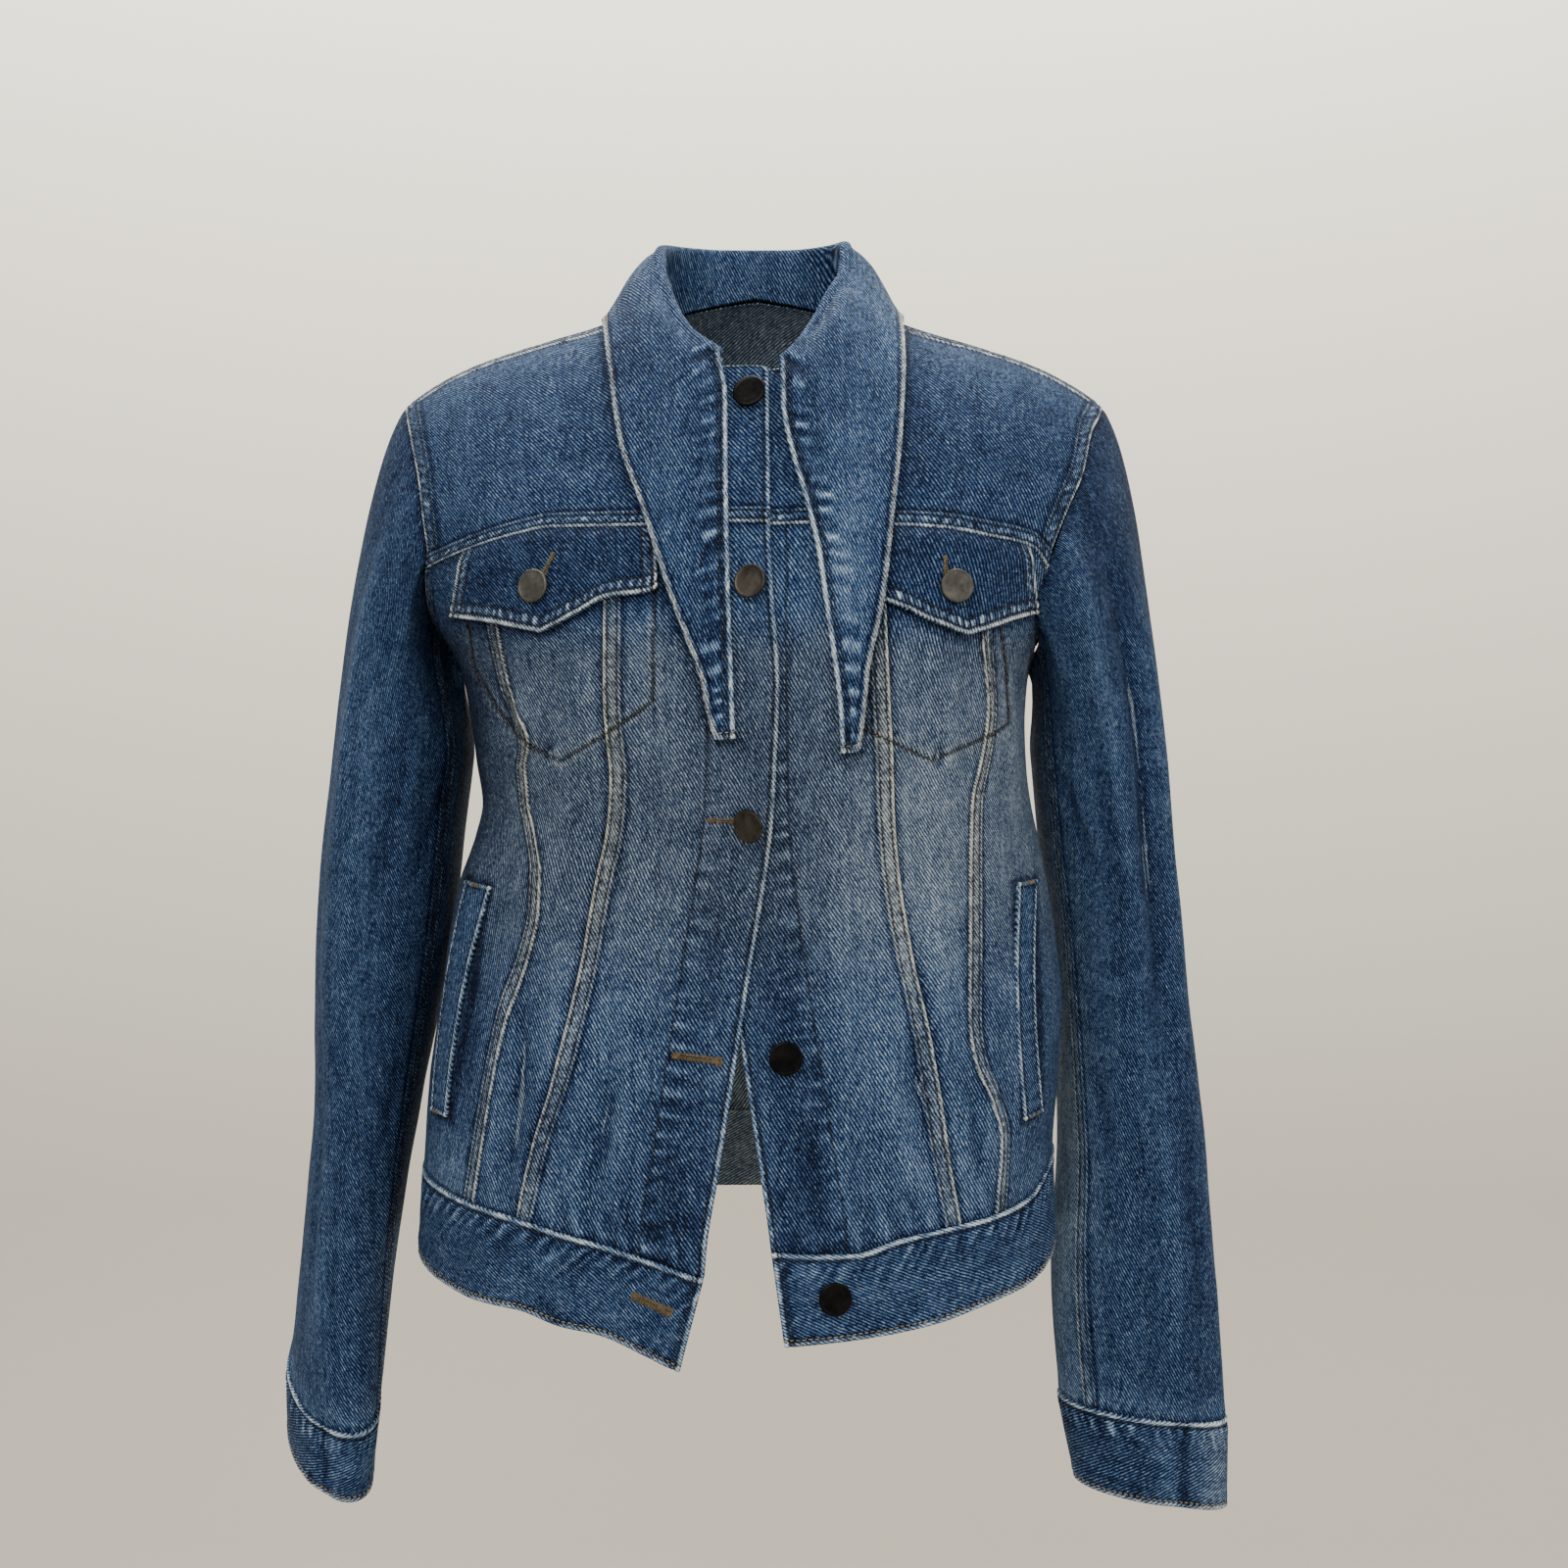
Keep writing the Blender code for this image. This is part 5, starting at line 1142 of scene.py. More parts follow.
def weave_of(a, h):
    """Where a place of the torso lies in the flat cloth."""
    middle = math.pi / 2 if np.mean(np.sin(a)) > 0 else 1.5 * math.pi
    return np.stack([np.interp(middle, TURN, GIRTH) - np.interp(a, TURN, GIRTH), h], -1)


def on_torso(grid):
    return base_torso(grid[..., 0], grid[..., 1])


def x_of(place):
    return float(base_torso(*place)[0])


def torso_cloth(name, grid, lists, layer, wash, pitch, thick_of=None):
    grid = fine(on_torso, grid, *lists, pitch)
    a, h = grid[..., 0], grid[..., 1]
    p = torso(a, h, layer)
    side = 1.0 if a[0, -1] < a[0, 0] else -1.0
    c = Cloth(name, p, normals(torso, a, h, layer), CLOTH, wash, h, side)
    c.uv = weave_of(a, h)
    if thick_of is not None:
        c.thick = thick_of(p)
    wash_down(c, name.startswith("front"))
    return c


# soft fades of the wash seen from the front, with painted shadow: the dark entries just below
# the armholes (x -172 to -150 and 160, z -240 to -200) are painted shadow of the sleeves; x, z,
# half sizes (mm), how pale
FRONT_FADES_AND_SHADE = [
    (158, -262, 22, 60, 0.13), (123, -290, 14, 40, 0.06), (102, -450, 16, 34, 0.06),
    (-148, -450, 20, 34, 0.04), (-166, -470, 18, 26, 0.14), (12, -230, 18, 60, -0.03),
    (-118, -480, 30, 22, 0.05), (112, -465, 26, 34, 0.06), (34, -170, 16, 50, 0.03),
    (-98, -215, 42, 34, 0.045), (-112, -300, 34, 62, 0.05), (-80, -330, 40, 80, 0.03),
    (-158, -240, 22, 60, -0.22), (-150, -215, 16, 40, -0.06), (-60, -460, 40, 34, -0.03),
    (-50, -215, 26, 60, 0.02), (-45, -330, 26, 70, 0.04), (82, -205, 46, 44, 0.035),
    (88, -285, 38, 72, 0.155), (60, -330, 40, 80, 0.055),
    (125, -215, 20, 50, 0.05), (-168, -420, 26, 70, -0.075), (-150, -455, 30, 30, -0.03),
    (165, -425, 22, 70, -0.03), (-40, -440, 16, 70, -0.05), (24, -400, 16, 80, -0.075),
    (0, -470, 70, 22, -0.04), (-172, -205, 16, 60, -0.08), (160, -200, 14, 60, -0.04),
    (-100, -90, 70, 40, -0.012), (110, -85, 70, 46, -0.062), (-60, -450, 40, 30, 0.01),
    (90, -440, 40, 34, 0.012),
]
BACK_FADES = [
    (-60, -230, 60, 90, 0.06), (70, -245, 60, 90, 0.065), (0, -380, 80, 60, 0.03),
    (-150, -400, 30, 90, -0.05), (150, -400, 30, 90, -0.04), (0, -470, 120, 20, -0.04),
    (0, -80, 90, 40, 0.01), (-120, -100, 40, 40, -0.015), (120, -95, 40, 40, -0.01),
]
# creases: x0, z0, x1, z1, half width (mm), height (mm), how pale: painted highlight on raised
# folds, painted shade in sunk ones
FRONT_CREASES = [
    (-128, -330, -140, -476, 6, 0.9, 0.03), (-118, -350, -128, -478, 4, -0.9, -0.04),
    (96, -300, 100, -400, 8, 0.8, 0.03), (84, -330, 96, -440, 5, -0.7, -0.03),
    (130, -330, 138, -470, 6, 0.8, 0.03), (-92, -320, -104, -420, 7, 0.7, 0.02),
    (-20, -300, -30, -400, 8, -0.6, -0.02), (-28, -120, -30, -190, 6, -0.5, -0.02),
    (-104, -236, -103, -248, 2.2, -0.9, -0.10), (-99, -236, -98, -250, 2.4, 0.5, 0.05),
    (95, -236, 95, -250, 2.2, -0.9, -0.10), (101, -238, 100, -252, 2.4, 0.5, 0.05),
    (-126, -208, -124, -234, 3.5, -0.6, -0.06), (-119, -205, -117, -232, 4, 0.5, 0.05),
    (-62, -270, -54, -330, 5, 0.5, 0.02), (-70, -400, -84, -470, 4.5, -0.8, -0.05),
    (-62, -405, -76, -472, 4.5, 0.7, 0.04), (-95, -400, -116, -470, 5, -0.8, -0.04),
    (-150, -330, -160, -455, 4, -0.5, -0.03), (-40, -350, -52, -480, 6, 0.5, 0.0),
    (64, -380, 92, -476, 5, 0.6, 0.03), (76, -385, 106, -478, 4, -0.8, -0.05),
    (112, -400, 122, -476, 4, -0.9, -0.06), (118, -396, 130, -474, 4, 0.7, 0.04),
    (45, -300, 60, -420, 7, 0.4, 0.015), (136, -205, 138, -290, 5, 0.5, 0.03),
    (150, -330, 148, -440, 5, -0.5, -0.02), (-20, -470, -70, -486, 3, -0.5, -0.04),
    (30, -420, 36, -486, 4, -0.6, -0.05), (40, -430, 48, -486, 4, 0.5, 0.04),
    (-35, -180, -40, -260, 7, 0.4, 0.01), (40, -150, 44, -230, 6, 0.4, 0.01),
]
BACK_CREASES = [
    (-60, -380, -72, -462, 5, -0.8, -0.05), (-50, -385, -60, -462, 5, 0.7, 0.04),
    (56, -390, 70, -462, 5, 0.7, 0.04), (66, -386, 82, -462, 5, -0.8, -0.05),
    (-20, -420, -24, -464, 4, -0.6, -0.04), (14, -410, 18, -464, 4, 0.6, 0.03),
    (-120, -230, -108, -330, 6, 0.5, 0.02), (122, -240, 106, -330, 6, 0.5, 0.02),
    (-140, -380, -150, -460, 4, -0.7, -0.04), (138, -370, 148, -460, 4, 0.7, 0.03),
    (-40, -180, -30, -260, 8, 0.4, 0.01), (30, -170, 40, -260, 8, -0.4, -0.01),
]


def clouded(near, far, seed):
    """Soft noise about zero: large clouds and smaller ones on them."""
    return noise(*near, seed) - 0.5 + 0.6 * (noise(*far, seed + 1) - 0.5)


def wash_down(c, front):
    """The fades and creases of the whole front or back, with the painted shade and highlight
    among them.
    """
    blobs(c, c.x, c.z, FRONT_FADES_AND_SHADE if front else BACK_FADES)
    creases(c, c.x, c.z, FRONT_CREASES if front else BACK_CREASES)
    khaki = 0.46 if front else 0.14
    c.warm += khaki * ease((-165 - c.z) / 30) * (1 - 0.85 * ease((-c.z - 300) / 90))
    fade = ease(np.minimum(np.minimum(c.dl, c.dr), 40) / 12)
    soft = clouded((c.x / 17, c.z / 26), (c.x / 7, c.z / 12), 11)
    c.up += 0.35 * soft * fade
    c.wash += 0.030 * soft


def arm_band(c, d, s, seed, where=1.0):
    """The body's side of an armhole: corded edge and two sewn rows."""
    felled(c, d, s, 9.5, seed, 0.01, where, 0.5, 0.26, 0.15, 0.22)


# chest pocket outlines sewn through the front, below the flaps (x, z in mm)
POCKET = {
    "r": [(-48, -140), (-48, -165), (-49, -215), (-72, -231), (-96, -245), (-112, -239),
          (-123, -230), (-133, -218), (-146, -198), (-148, -176)],
    "l": [(48, -140), (50, -176), (54, -205), (57, -229), (91, -245), (126, -232),
          (134, -227), (132, -197), (128, -177)],
}


def pocket(c, tag, seed):
    sewn_line(c, *near_path(c.x, c.z, POCKET[tag]), seed)


def up_front(table, column, sign=1):
    """A front line from the waist seam to the yoke seam, as (alpha, h)."""
    z = np.linspace(*crossings(table, column, sign), N_ROWS)
    return spot(sign * pchip(table, column, z), z)


def up_side(sign, alpha):
    """The side seam of one side, from the waist seam to the underarm."""
    rows = np.linspace(float(waist_height(alpha, 1)), UNDERARM[sign], N_ROWS)
    return np.stack([np.full(N_ROWS, alpha), rows], -1)


def at_armhole(c, x, d, seed):
    """The top of a side panel: armhole as far as x, then the yoke seam."""
    arm = (np.abs(c.x[-1]) >= abs(x) / MM - 1.0) * 1.0
    arm_band(c, c.dt, c.dl, seed, arm[None] * ease((d - 8) / 4))
    under(c, c.dt, (1 - arm)[None])


for sign, tag in BOTH:
    layer, seed, arm = -sign, (10 if sign < 0 else 40), ARMHOLE[tag][0]
    seams = SEAMS_R if sign < 0 else SEAMS_L
    edge_column = 1 if sign < 0 else 2
    edge = up_front(FRONT_EDGES, edge_column)
    inner, outer = up_front(seams, 1, sign), up_front(seams, 2, sign)
    corner = meet(arm, lambda x: pchip(YOKE, 1, x))
    corner_spot = on_curve(arm, 2, corner, 1.0)[0]
    corner_x = x_of(corner_spot)
    side_alpha = math.pi if sign < 0 else 0.0
    top = yoke_line(x_of(inner[-1]), x_of(edge[-1]), 6 * K + 1)
    top_mid = yoke_line(x_of(outer[-1]), x_of(inner[-1]), 3 * K + 1)
    part = yoke_line(corner_x, x_of(outer[-1]), 2 * K + 1)
    part[0] = corner_spot

    def doubled(p):
        from_edge = np.abs(p[..., 0] - pchip(FRONT_EDGES, edge_column, p[..., 2]))
        return CLOTH + (DOUBLE - CLOTH) * ease((0.046 - from_edge) / 0.012)

    # front centre: inner seam to the front edge
    grid = coons(waist_line(inner[0, 0], edge[0, 0], 6), top, inner, edge)
    hem = HEM[tag]
    to_hem = TURNED + [11, 14, 17, 20, 23, 26, 29] + [
        hem + d for d in (-3.6, -2, -1.2, -0.6, 0, 0.6, 1.4, 3)]
    c = torso_cloth("front_center_" + tag, grid, (FELL, to_hem, PLAIN, PLAIN), layer,
                    0.352, (2.6, 1.5), doubled)
    felled(c, c.dl, c.z, 9.0, seed + 1)
    cord(c, c.dr, c.z, seed + 2, 0.26, 3.0, warm=0.1)
    ditch = hump(c.dr, hem, 0.7)
    c.up -= 0.30 * ditch
    c.wash -= 0.14 * ditch
    low_down = ease((-262 - c.z) / 50) if sign < 0 else ease((-190 - c.z) / 60)
    inside = np.clip(hem - c.dr, -50, hem)
    puckers(c, inside, c.z, 0.5, 17, 10.5, 0.15, 0.38, 0.075, seed + 3,
            low_down * ease(c.dr / 8) * (inside > -1))
    c.wash -= (0.045 if sign < 0 else 0.06) * low_down * hump(c.dr, hem * 0.55, 14)
    puckers(c, c.db, c.x, 0.5, 34, 13.0, 0.25, 0.5, 0.05, seed + 30, ease(c.dl / 8))
    under(c, c.dt)
    under(c, c.db, 1.0, 0.16)
    pocket(c, tag, seed + 20)

    # front middle
    grid = coons(waist_line(outer[0, 0], inner[0, 0], 3), top_mid, outer, inner)
    c = torso_cloth("front_mid_" + tag, grid, [PLAIN] * 4, layer, 0.34, (1.9, 1.5))
    for d in (c.dl, c.dr, c.dt):
        under(c, d)
    puckers(c, c.db, c.x, 0.5, 26, 12.0, 0.2, 0.45, 0.04, seed + 31)
    under(c, c.db, 1.0, 0.16)
    pocket(c, tag, seed + 21)

    # front side: side seam to the outer seam
    top_side = np.concatenate([on_curve(arm, 4 * K + 1, corner, 1.0)[::-1], part[1:]])
    grid = coons(waist_line(side_alpha, outer[0, 0], 6), top_side, up_side(sign, side_alpha),
                 outer)
    c = torso_cloth("front_side_" + tag, grid, (PLAIN, FELL, PLAIN, FELL), layer,
                    0.325, (2.2, 1.5))
    felled(c, c.dr, c.z, 8.0, seed + 4)
    under(c, c.dl, 1.0, 0.10)
    under(c, c.db, 1.0, 0.16)
    at_armhole(c, corner_x, c.dr, seed + 5)
    pocket(c, tag, seed + 22)

    # front yoke: armhole to the front edge
    bottom = np.concatenate([part[:-1], top_mid[:-1], top])
    left = on_curve(arm, N_ROWS, 0.0, corner)[::-1]
    neck = []
    for d in np.linspace(float(pchip(FRONT_EDGES, edge_column, -0.042)) * sign, 0.062, 7):
        radius = shoulder(sign * abs(d)) - FRONT_Z0
        angle = math.radians(float(pchip(NECK_FRONT, 1, d)))
        a = spot(sign * d, FRONT_Z0 + radius * math.sin(angle))
        neck.append((float(a[0]), float(FRONT_Z0 + radius * angle)))
    neck = np.array(neck)
    right = np.concatenate([line_between(edge[-1], neck[0], 4)[:-1], neck[[0, 2, 4, 5, 6]]])
    right = on_curve(right, N_ROWS)
    shoulder_x = np.linspace(0.1925, 0.062, len(bottom))
    topline = np.stack([spot(sign * shoulder_x, shoulder(shoulder_x) - 1e-9)[:, 0],
                        FRONT_Z0 + (shoulder(shoulder_x) - FRONT_Z0) * math.pi / 2], -1)
    topline[0], topline[-1] = left[-1], right[-1]
    c = torso_cloth("front_yoke_" + tag, coons(bottom, topline, left, right),
                    (FELL, TURNED, FELL, PLAIN), layer, 0.305, (2.4, 1.35), doubled)
    felled(c, c.db, c.x, 8.0, seed + 6, 0.05, 1.0, 0.6, 0.22, 0.12, 0.44)
    c.wash = c.wash - 0.06 * hump(c.db, 2.5, 0.8) - 0.06 * hump(c.db, 6.7, 0.8)
    arm_band(c, c.dl, c.z, seed + 7, ease((c.db - 7) / 3))
    # the lap of the shoulder seam comes forward over the ridge
    c.lap = 34.5 - 0.150 * (np.abs(c.x) - 70) - c.dt
    here = ease((c.lap + 1.0) / 1.0) * ease((c.dl - 8) / 3)
    felled(c, c.lap, c.x, 9.0, seed + 8, 0.06, here, 0.6, 0.34, 0.5, 0.24)
    # a painted shadow line just in front of the lap's edge, and the cloth a little paler beyond
    # the band
    c.wash = c.wash - 0.20 * hump(c.lap, -1.6, 1.5) + 0.05 * ease((c.lap - 10) / 3)
    cord(c, c.dr, c.z, seed + 9, 0.26, 3.0, warm=0.1)
    edges_of[tag].update(edge=edge, inner=inner, outer=outer)

# the back
for sign, tag in BOTH:
    seed, arm = (70 if sign < 0 else 90), ARMHOLE[tag][1]
    z = np.linspace(BACK_WAIST[0], BACK_YOKE, N_ROWS)
    seam = spot(sign * pchip(BACK_SEAM, 1, z), z, False)
    seam[0, 1] = float(waist_height(seam[0, 0], 1))
    corner = meet(arm, lambda x: BACK_YOKE + 0 * x)
    corner_spot = on_curve(arm, 2, corner, 1.0)[0]
    side_alpha = math.pi if sign < 0 else 2 * math.pi
    x0 = x_of(corner_spot)
    part = spot(np.linspace(x0, x_of(seam[-1]), 3 * K + 1), BACK_YOKE, False)
    part[0] = corner_spot
    top_side = np.concatenate([on_curve(arm, 3 * K + 1, 0.0, corner), part[1:]])
    grid = coons(waist_line(side_alpha, seam[0, 0], 6), top_side, up_side(sign, side_alpha),
                 seam)
    c = torso_cloth("back_side_" + tag, grid, (FELL, PLAIN, PLAIN, FELL), 0, 0.33, BACK_PITCH)
    felled(c, c.dl, c.z, 8.0, seed + 1, warm=0.25)
    under(c, c.dr)
    under(c, c.db, 1.0, 0.16)
    at_armhole(c, x0, c.dl, seed + 2)
    edges_of[tag].update(seam=seam, part=part,
                         arm=on_curve(arm, N_ROWS, corner, 1.0))

right, left = edges_of["r"], edges_of["l"]
top = spot(np.linspace(x_of(right["seam"][-1]), x_of(left["seam"][-1]), 8 * K + 1),
           BACK_YOKE, False)
grid = coons(waist_line(right["seam"][0, 0], left["seam"][0, 0], 8), top,
             right["seam"], left["seam"])
c = torso_cloth("back_center", grid, (FELL, FELL, PLAIN, PLAIN), 0, 0.345, BACK_PITCH)
felled(c, c.dl, c.z, 9.0, 81, warm=0.25)
felled(c, c.dr, c.z, 9.0, 82, warm=0.25)
under(c, c.dt)
under(c, c.db, 1.0, 0.16)

bottom = np.concatenate([right["part"][:-1], top, left["part"][::-1][1:]])
xs = np.concatenate([np.linspace(-0.1925, -0.062, 4 * K + 1)[:-1],
                     -0.062 * np.cos(np.linspace(0, math.pi, 6 * K + 1)),
                     np.linspace(0.062, 0.1925, 4 * K + 1)[1:]])
topline, dips = [], []
for x in xs:
    radius = float(shoulder(x) - BACK_Z0)
    angle = 90.0 if abs(x) >= 0.0619 else float(pchip(NECK_BACK, 1, abs(x)))
    zz = BACK_Z0 + radius * math.sin(math.radians(angle)) - 1e-9
    high = BACK_Z0 + radius * math.pi / 2
    topline.append((float(spot(x, zz, False)[0]), high))
    dips.append(high - BACK_Z0 - radius * math.radians(angle))
topline = np.array(topline)
topline[0], topline[-1] = right["arm"][-1], left["arm"][-1]
grid = coons(bottom, topline, right["arm"], left["arm"])
grid[..., 1] -= np.linspace(0, 1, N_ROWS)[:, None] ** 3 * np.array(dips)
c = torso_cloth("back_yoke", grid, (FELL, FELL, FELL, PLAIN), 0, 0.325, BACK_PITCH)
felled(c, c.db, c.x, 7.5, 95, 0.0, 1.0, 0.6, 0.26, 0.06, 0.34)
arm_band(c, c.dl, c.z, 96, ease((c.db - 7) / 3))
arm_band(c, c.dr, c.z, 97, ease((c.db - 7) / 3))
under(c, c.dt)


# ------------------------------------------------------- the waistband
# turn of the band's columns in the part, to share out its ends' lean
full = 2 * math.pi
corners = [left[k][0, 0] for k in ("edge", "inner", "outer")] + [
    0.0, left["seam"][0, 0] - full, right["seam"][0, 0] - full, -math.pi] + [
    right[k][0, 0] - full for k in ("outer", "inner", "edge")]
counts = [6, 3, 6, 6, 8, 6, 6, 3, 6]
passed = np.concatenate([[0], np.cumsum(counts)]) / sum(counts)
END_LEAN = (0.032, 0.058)
BAND_END = TURNED + [10, 12.5]


def band_spot(turn, v):
    share = np.interp(-turn, -np.array(corners), passed)
    a = turn - END_LEAN[0] * v * ease((0.10 - share) / 0.10)
    a = (a + END_LEAN[1] * v * ease((share - 0.90) / 0.10)) % (2 * math.pi)
    return a, (1 - v) * waist_height(a, 1) + v * waist_height(a, 2), share


def band_point(grid, out=0.0006):
    a, z, share = band_spot(grid[..., 0], grid[..., 1])
    p, n = torso(a, z, 0, out), normals(torso, a, z, 0, out)
    far = np.where(share > 0.7, lift(p, 1), np.where(share < 0.3, lift(p, -1), 0.0))
    return p + n * far[..., None], n


turn = np.interp(np.linspace(0, 1, 901), passed, corners)
grid = np.stack(np.broadcast_arrays(turn[None], np.linspace(1, 0, 21)[:, None]), -1)
grid = fine(lambda g: band_point(g)[0], grid, BAND_END, BAND_END, TURNED, TURNED, (1.9, 1.5))
c = Cloth("waistband", *band_point(grid), DOUBLE, 0.275, None, -1.0, True)
s = c.dl
cord(c, c.dt, s, 121, 0.42, 3.6, 1.0, 0.3, 0.2)
cord(c, c.db, s, 122, 0.24, 3.3, 1.0, 0.15)
puckers(c, c.dt, s, 3.6, 24, 9.0, 0.8, 0.60, 0.085, 123)
bars(c, c.dt, s, 4.6, 15.0, 11.0, 0.45, 0.13, 223)
puckers(c, c.db, s, 3.0, 16, 8.0, -0.7, 0.40, 0.05, 124)
for d, seed in ((c.dl, 125), (c.dr, 126)):
    cord(c, d, c.dt, seed, 0.40, 3.4, 1.0, 0.22, 0.2)
    c.wash = c.wash - 0.16 * hump(d, 5.4, 0.8) + 0.05 * hump(d, 4.4, 0.5)
    puckers(c, d, c.dt, 5.0, 10, 9.0, 0.3, 0.25, 0.05, seed + 4)
soft = clouded((s / 22, c.dt / 18), (s / 8, c.dt / 9), 15)
c.up += 0.7 * soft
c.wash = c.wash + 0.10 * soft + 0.015
front = np.sin(band_spot(grid[..., 0], grid[..., 1])[0]) > 0
c.wash += np.where(front & (c.x > 0), 0.03 * ease(c.x / 30), 0.0)

# -------------------------------------------------- flaps, hand pockets
for sign, tag in BOTH:
    low, top = (mm(FLAP[tag][k]) * (sign, 1) for k in ("low", "top"))
    t = np.linspace(0, 1, 81)
    low_x, top_x = along(low, t), along(top, t)
    # the flap is caught in the yoke seam
    top_x[:, 1] = pchip(YOKE, 1, top_x[:, 0]) - 0.0003
    # the point keeps its corner
    coarse = along(low, np.linspace(0, 1, 9))
    coarse[4] = (sign * 0.1043, -0.1810)
    k = np.linspace(0, 8, 81)
    sharp = np.stack([np.interp(k, range(9), coarse[:, j]) for j in (0, 1)], -1)
    low_x = low_x + (sharp - low_x) * np.exp(-(((k - 4) / 0.9) ** 2))[:, None]
    v = np.linspace(0, 1, 31)[:, None, None]
    flat = (1 - v) * low_x[None] + v * top_x[None]
    shares_of = np.stack(np.meshgrid(t, v.ravel()), -1)
    grid = np.concatenate([spot(flat[..., 0], flat[..., 1]), shares_of], -1)
    grid = fine(on_torso, grid, FLAP_EDGE, FLAP_EDGE, FLAP_EDGE, PLAIN, (1.3, 1.2))
    a, h = grid[..., 0], grid[..., 1]
    rise = 0.0006 + 0.0014 * (1 - grid[..., 3]) ** 2 * ease(2.2 * (1 - grid[..., 2]))
    p, n = torso(a, h), normals(torso, a, h)
    down = lengths(p.transpose(1, 0, 2)).T
    thin = 0.0004 + 0.0016 * ease((down[-1:] - down) / 0.007)
    c = Cloth("flap_" + tag, p + n * (rise + thin)[..., None], n, thin,
              0.205 if sign < 0 else 0.225, h, -sign * 1.0)
    c.uv = weave_of(a, h)
    seed = 130 if sign < 0 else 140
    for k, (d, s) in enumerate(((c.db, c.dl), (c.dl, c.dt), (c.dr, c.dt))):
        cord(c, d, s, seed + k, 0.42 if k == 0 else 0.32, 3.5, 1.0, 0.16, 0.6)
        row = hump(d, 8.7, 0.7)
        c.up -= 0.25 * row
        c.wash -= 0.16 * row
        bars(c, d, s, 4.1, 8.6, 4.9, 0.3, 0.50 if k == 0 else 0.30, seed + 4 + k)
    near = np.minimum(np.minimum(c.db, c.dl), c.dr)
    band = (1 - ease((near - 6.5) / 3)) * ease(near / 2)
    c.wash += 0.11 * band
    c.warm += 0.25 * band
    under(c, c.dt, 1.0, 0.06)
    soft = noise(c.x / 14, c.z / 9, 17) - 0.5
    c.up += 0.3 * soft
    c.wash += 0.05 * soft

for sign, tag in BOTH:
    top_out, top_in, low_in, low_out = mm(WELT[tag]) * (sign, 1)
    v = np.linspace(0, 1, 61)[::-1, None, None]
    u = np.linspace(0, 1, 13)[None, :, None]
    bow = np.sin(math.pi * v) * (sign * WELT_BOW[tag], 0)
    a, b = (1 - v) * top_out + v * low_out + bow, (1 - v) * top_in + v * low_in + bow
    flat = a + (b - a) * u
    grid = spot(flat[..., 0], flat[..., 1])
    grid = fine(on_torso, grid, STRIP, STRIP, STRIP, STRIP, (0.9, 1.3))
    a, h = grid[..., 0], grid[..., 1]
    n = normals(torso, a, h, -sign)
    c = Cloth("welt_" + tag, torso(a, h, -sign) + n * 0.0020, n, 0.0016, 0.33, h, -sign * 1.0)
    for k, (d, s) in enumerate(((c.dl, c.z), (c.dr, c.z), (c.db, c.x), (c.dt, c.x))):
        cord(c, d, s, 150 + k, 0.30 if k < 2 else 0.18, 3.0, 1.0, 0.2, 0.2)
    puckers(c, c.dl, c.z, 1.5, 11, 8.0, 0.1, 0.2, 0.06, 155)

# ---------------------------------------------------------- the collar
places = [0.0, 0.09, 0.18, 0.27, 0.36, 0.44, 0.50, 0.56, 0.62, 0.68, 0.74, 0.80,
          0.86, 0.91, 0.95, 0.985, 1.0]
many = np.interp(np.linspace(0, 16, 49), range(17), places)
columns = [collar_column("r", u) for u in reversed(many)]
columns += [collar_column("l", u) for u in many[1:]]
t = np.linspace(0, 1, 120)
mid = np.array([along(col, t) for col in columns]).transpose(1, 0, 2)
grid = fine(lambda g: g, mid, TURNED, TURNED, PLAIN, TURNED + [10, 12, 14], (2.7, 1.9))
n = unit(np.cross(np.gradient(grid, axis=0), np.gradient(grid, axis=1)))
if n[-6, n.shape[1] // 2, 1] < 0:
    n = -n
c = Cloth("collar", grid + n * HALF, n, 2 * HALF, 0.315, None, -1.0)
c.uv = np.stack([c.p[..., 0] * 1.05, 0.84 * c.p[..., 2] + 0.545 * c.p[..., 1]], -1)
rolls = c.p[..., 2].argmax(axis=0)          # row of the fold in each column


def near_line(c, line):
    """Distance (mm) of each point of a cloth from a line, and where on it."""
    dense = along(line, np.linspace(0, 1, 500))
    s = lengths(dense[None])[0] / MM
    flat = c.p.reshape(-1, 3)
    d, at = np.empty(len(flat)), np.empty(len(flat))
    for i in range(0, len(flat), 4000):
        gap = flat[i:i + 4000, None] - dense[None]
        size = np.einsum("ijk,ijk->ij", gap, gap)
        k = size.argmin(axis=1)
        d[i:i + 4000] = np.sqrt(size[np.arange(len(k)), k]) / MM
        at[i:i + 4000] = s[k]
    return d.reshape(c.p.shape[:2]), at.reshape(c.p.shape[:2])


d_out, s_out = near_line(c, c.p[-1, ::4])
fall = ease((np.arange(len(c.p))[:, None] - rolls[None]) / 4.0)
cord(c, d_out, s_out, 161, 0.32, 3.7, fall, 0.2, 0.6)
for end, seed in ((0, 162), (-1, 168)):
    d, s = near_line(c, c.p[rolls[end]::3, end])
    cord(c, d, s, seed, 0.40, 3.5, fall, 0.24, 0.35)
    c.wash -= 0.14 * hump(d, 5.4, 0.7) * fall
    puckers(c, d, s, 3.4, 15, 9.5, -0.15, 0.36, 0.05, seed + 1, fall * ease(d_out / 4))
    bars(c, d, s, 6.0, 17.5, 10.5, -0.35, 0.34, seed + 2, fall * ease((d_out - 2) / 4))
    c.wash -= 0.07 * hump(d, 11, 8) * fall
soft = clouded((c.x / 15, c.z / 20), (c.x / 6, c.z / 9), 19)
c.up += 0.30 * soft * fall
c.wash += 0.03 * soft
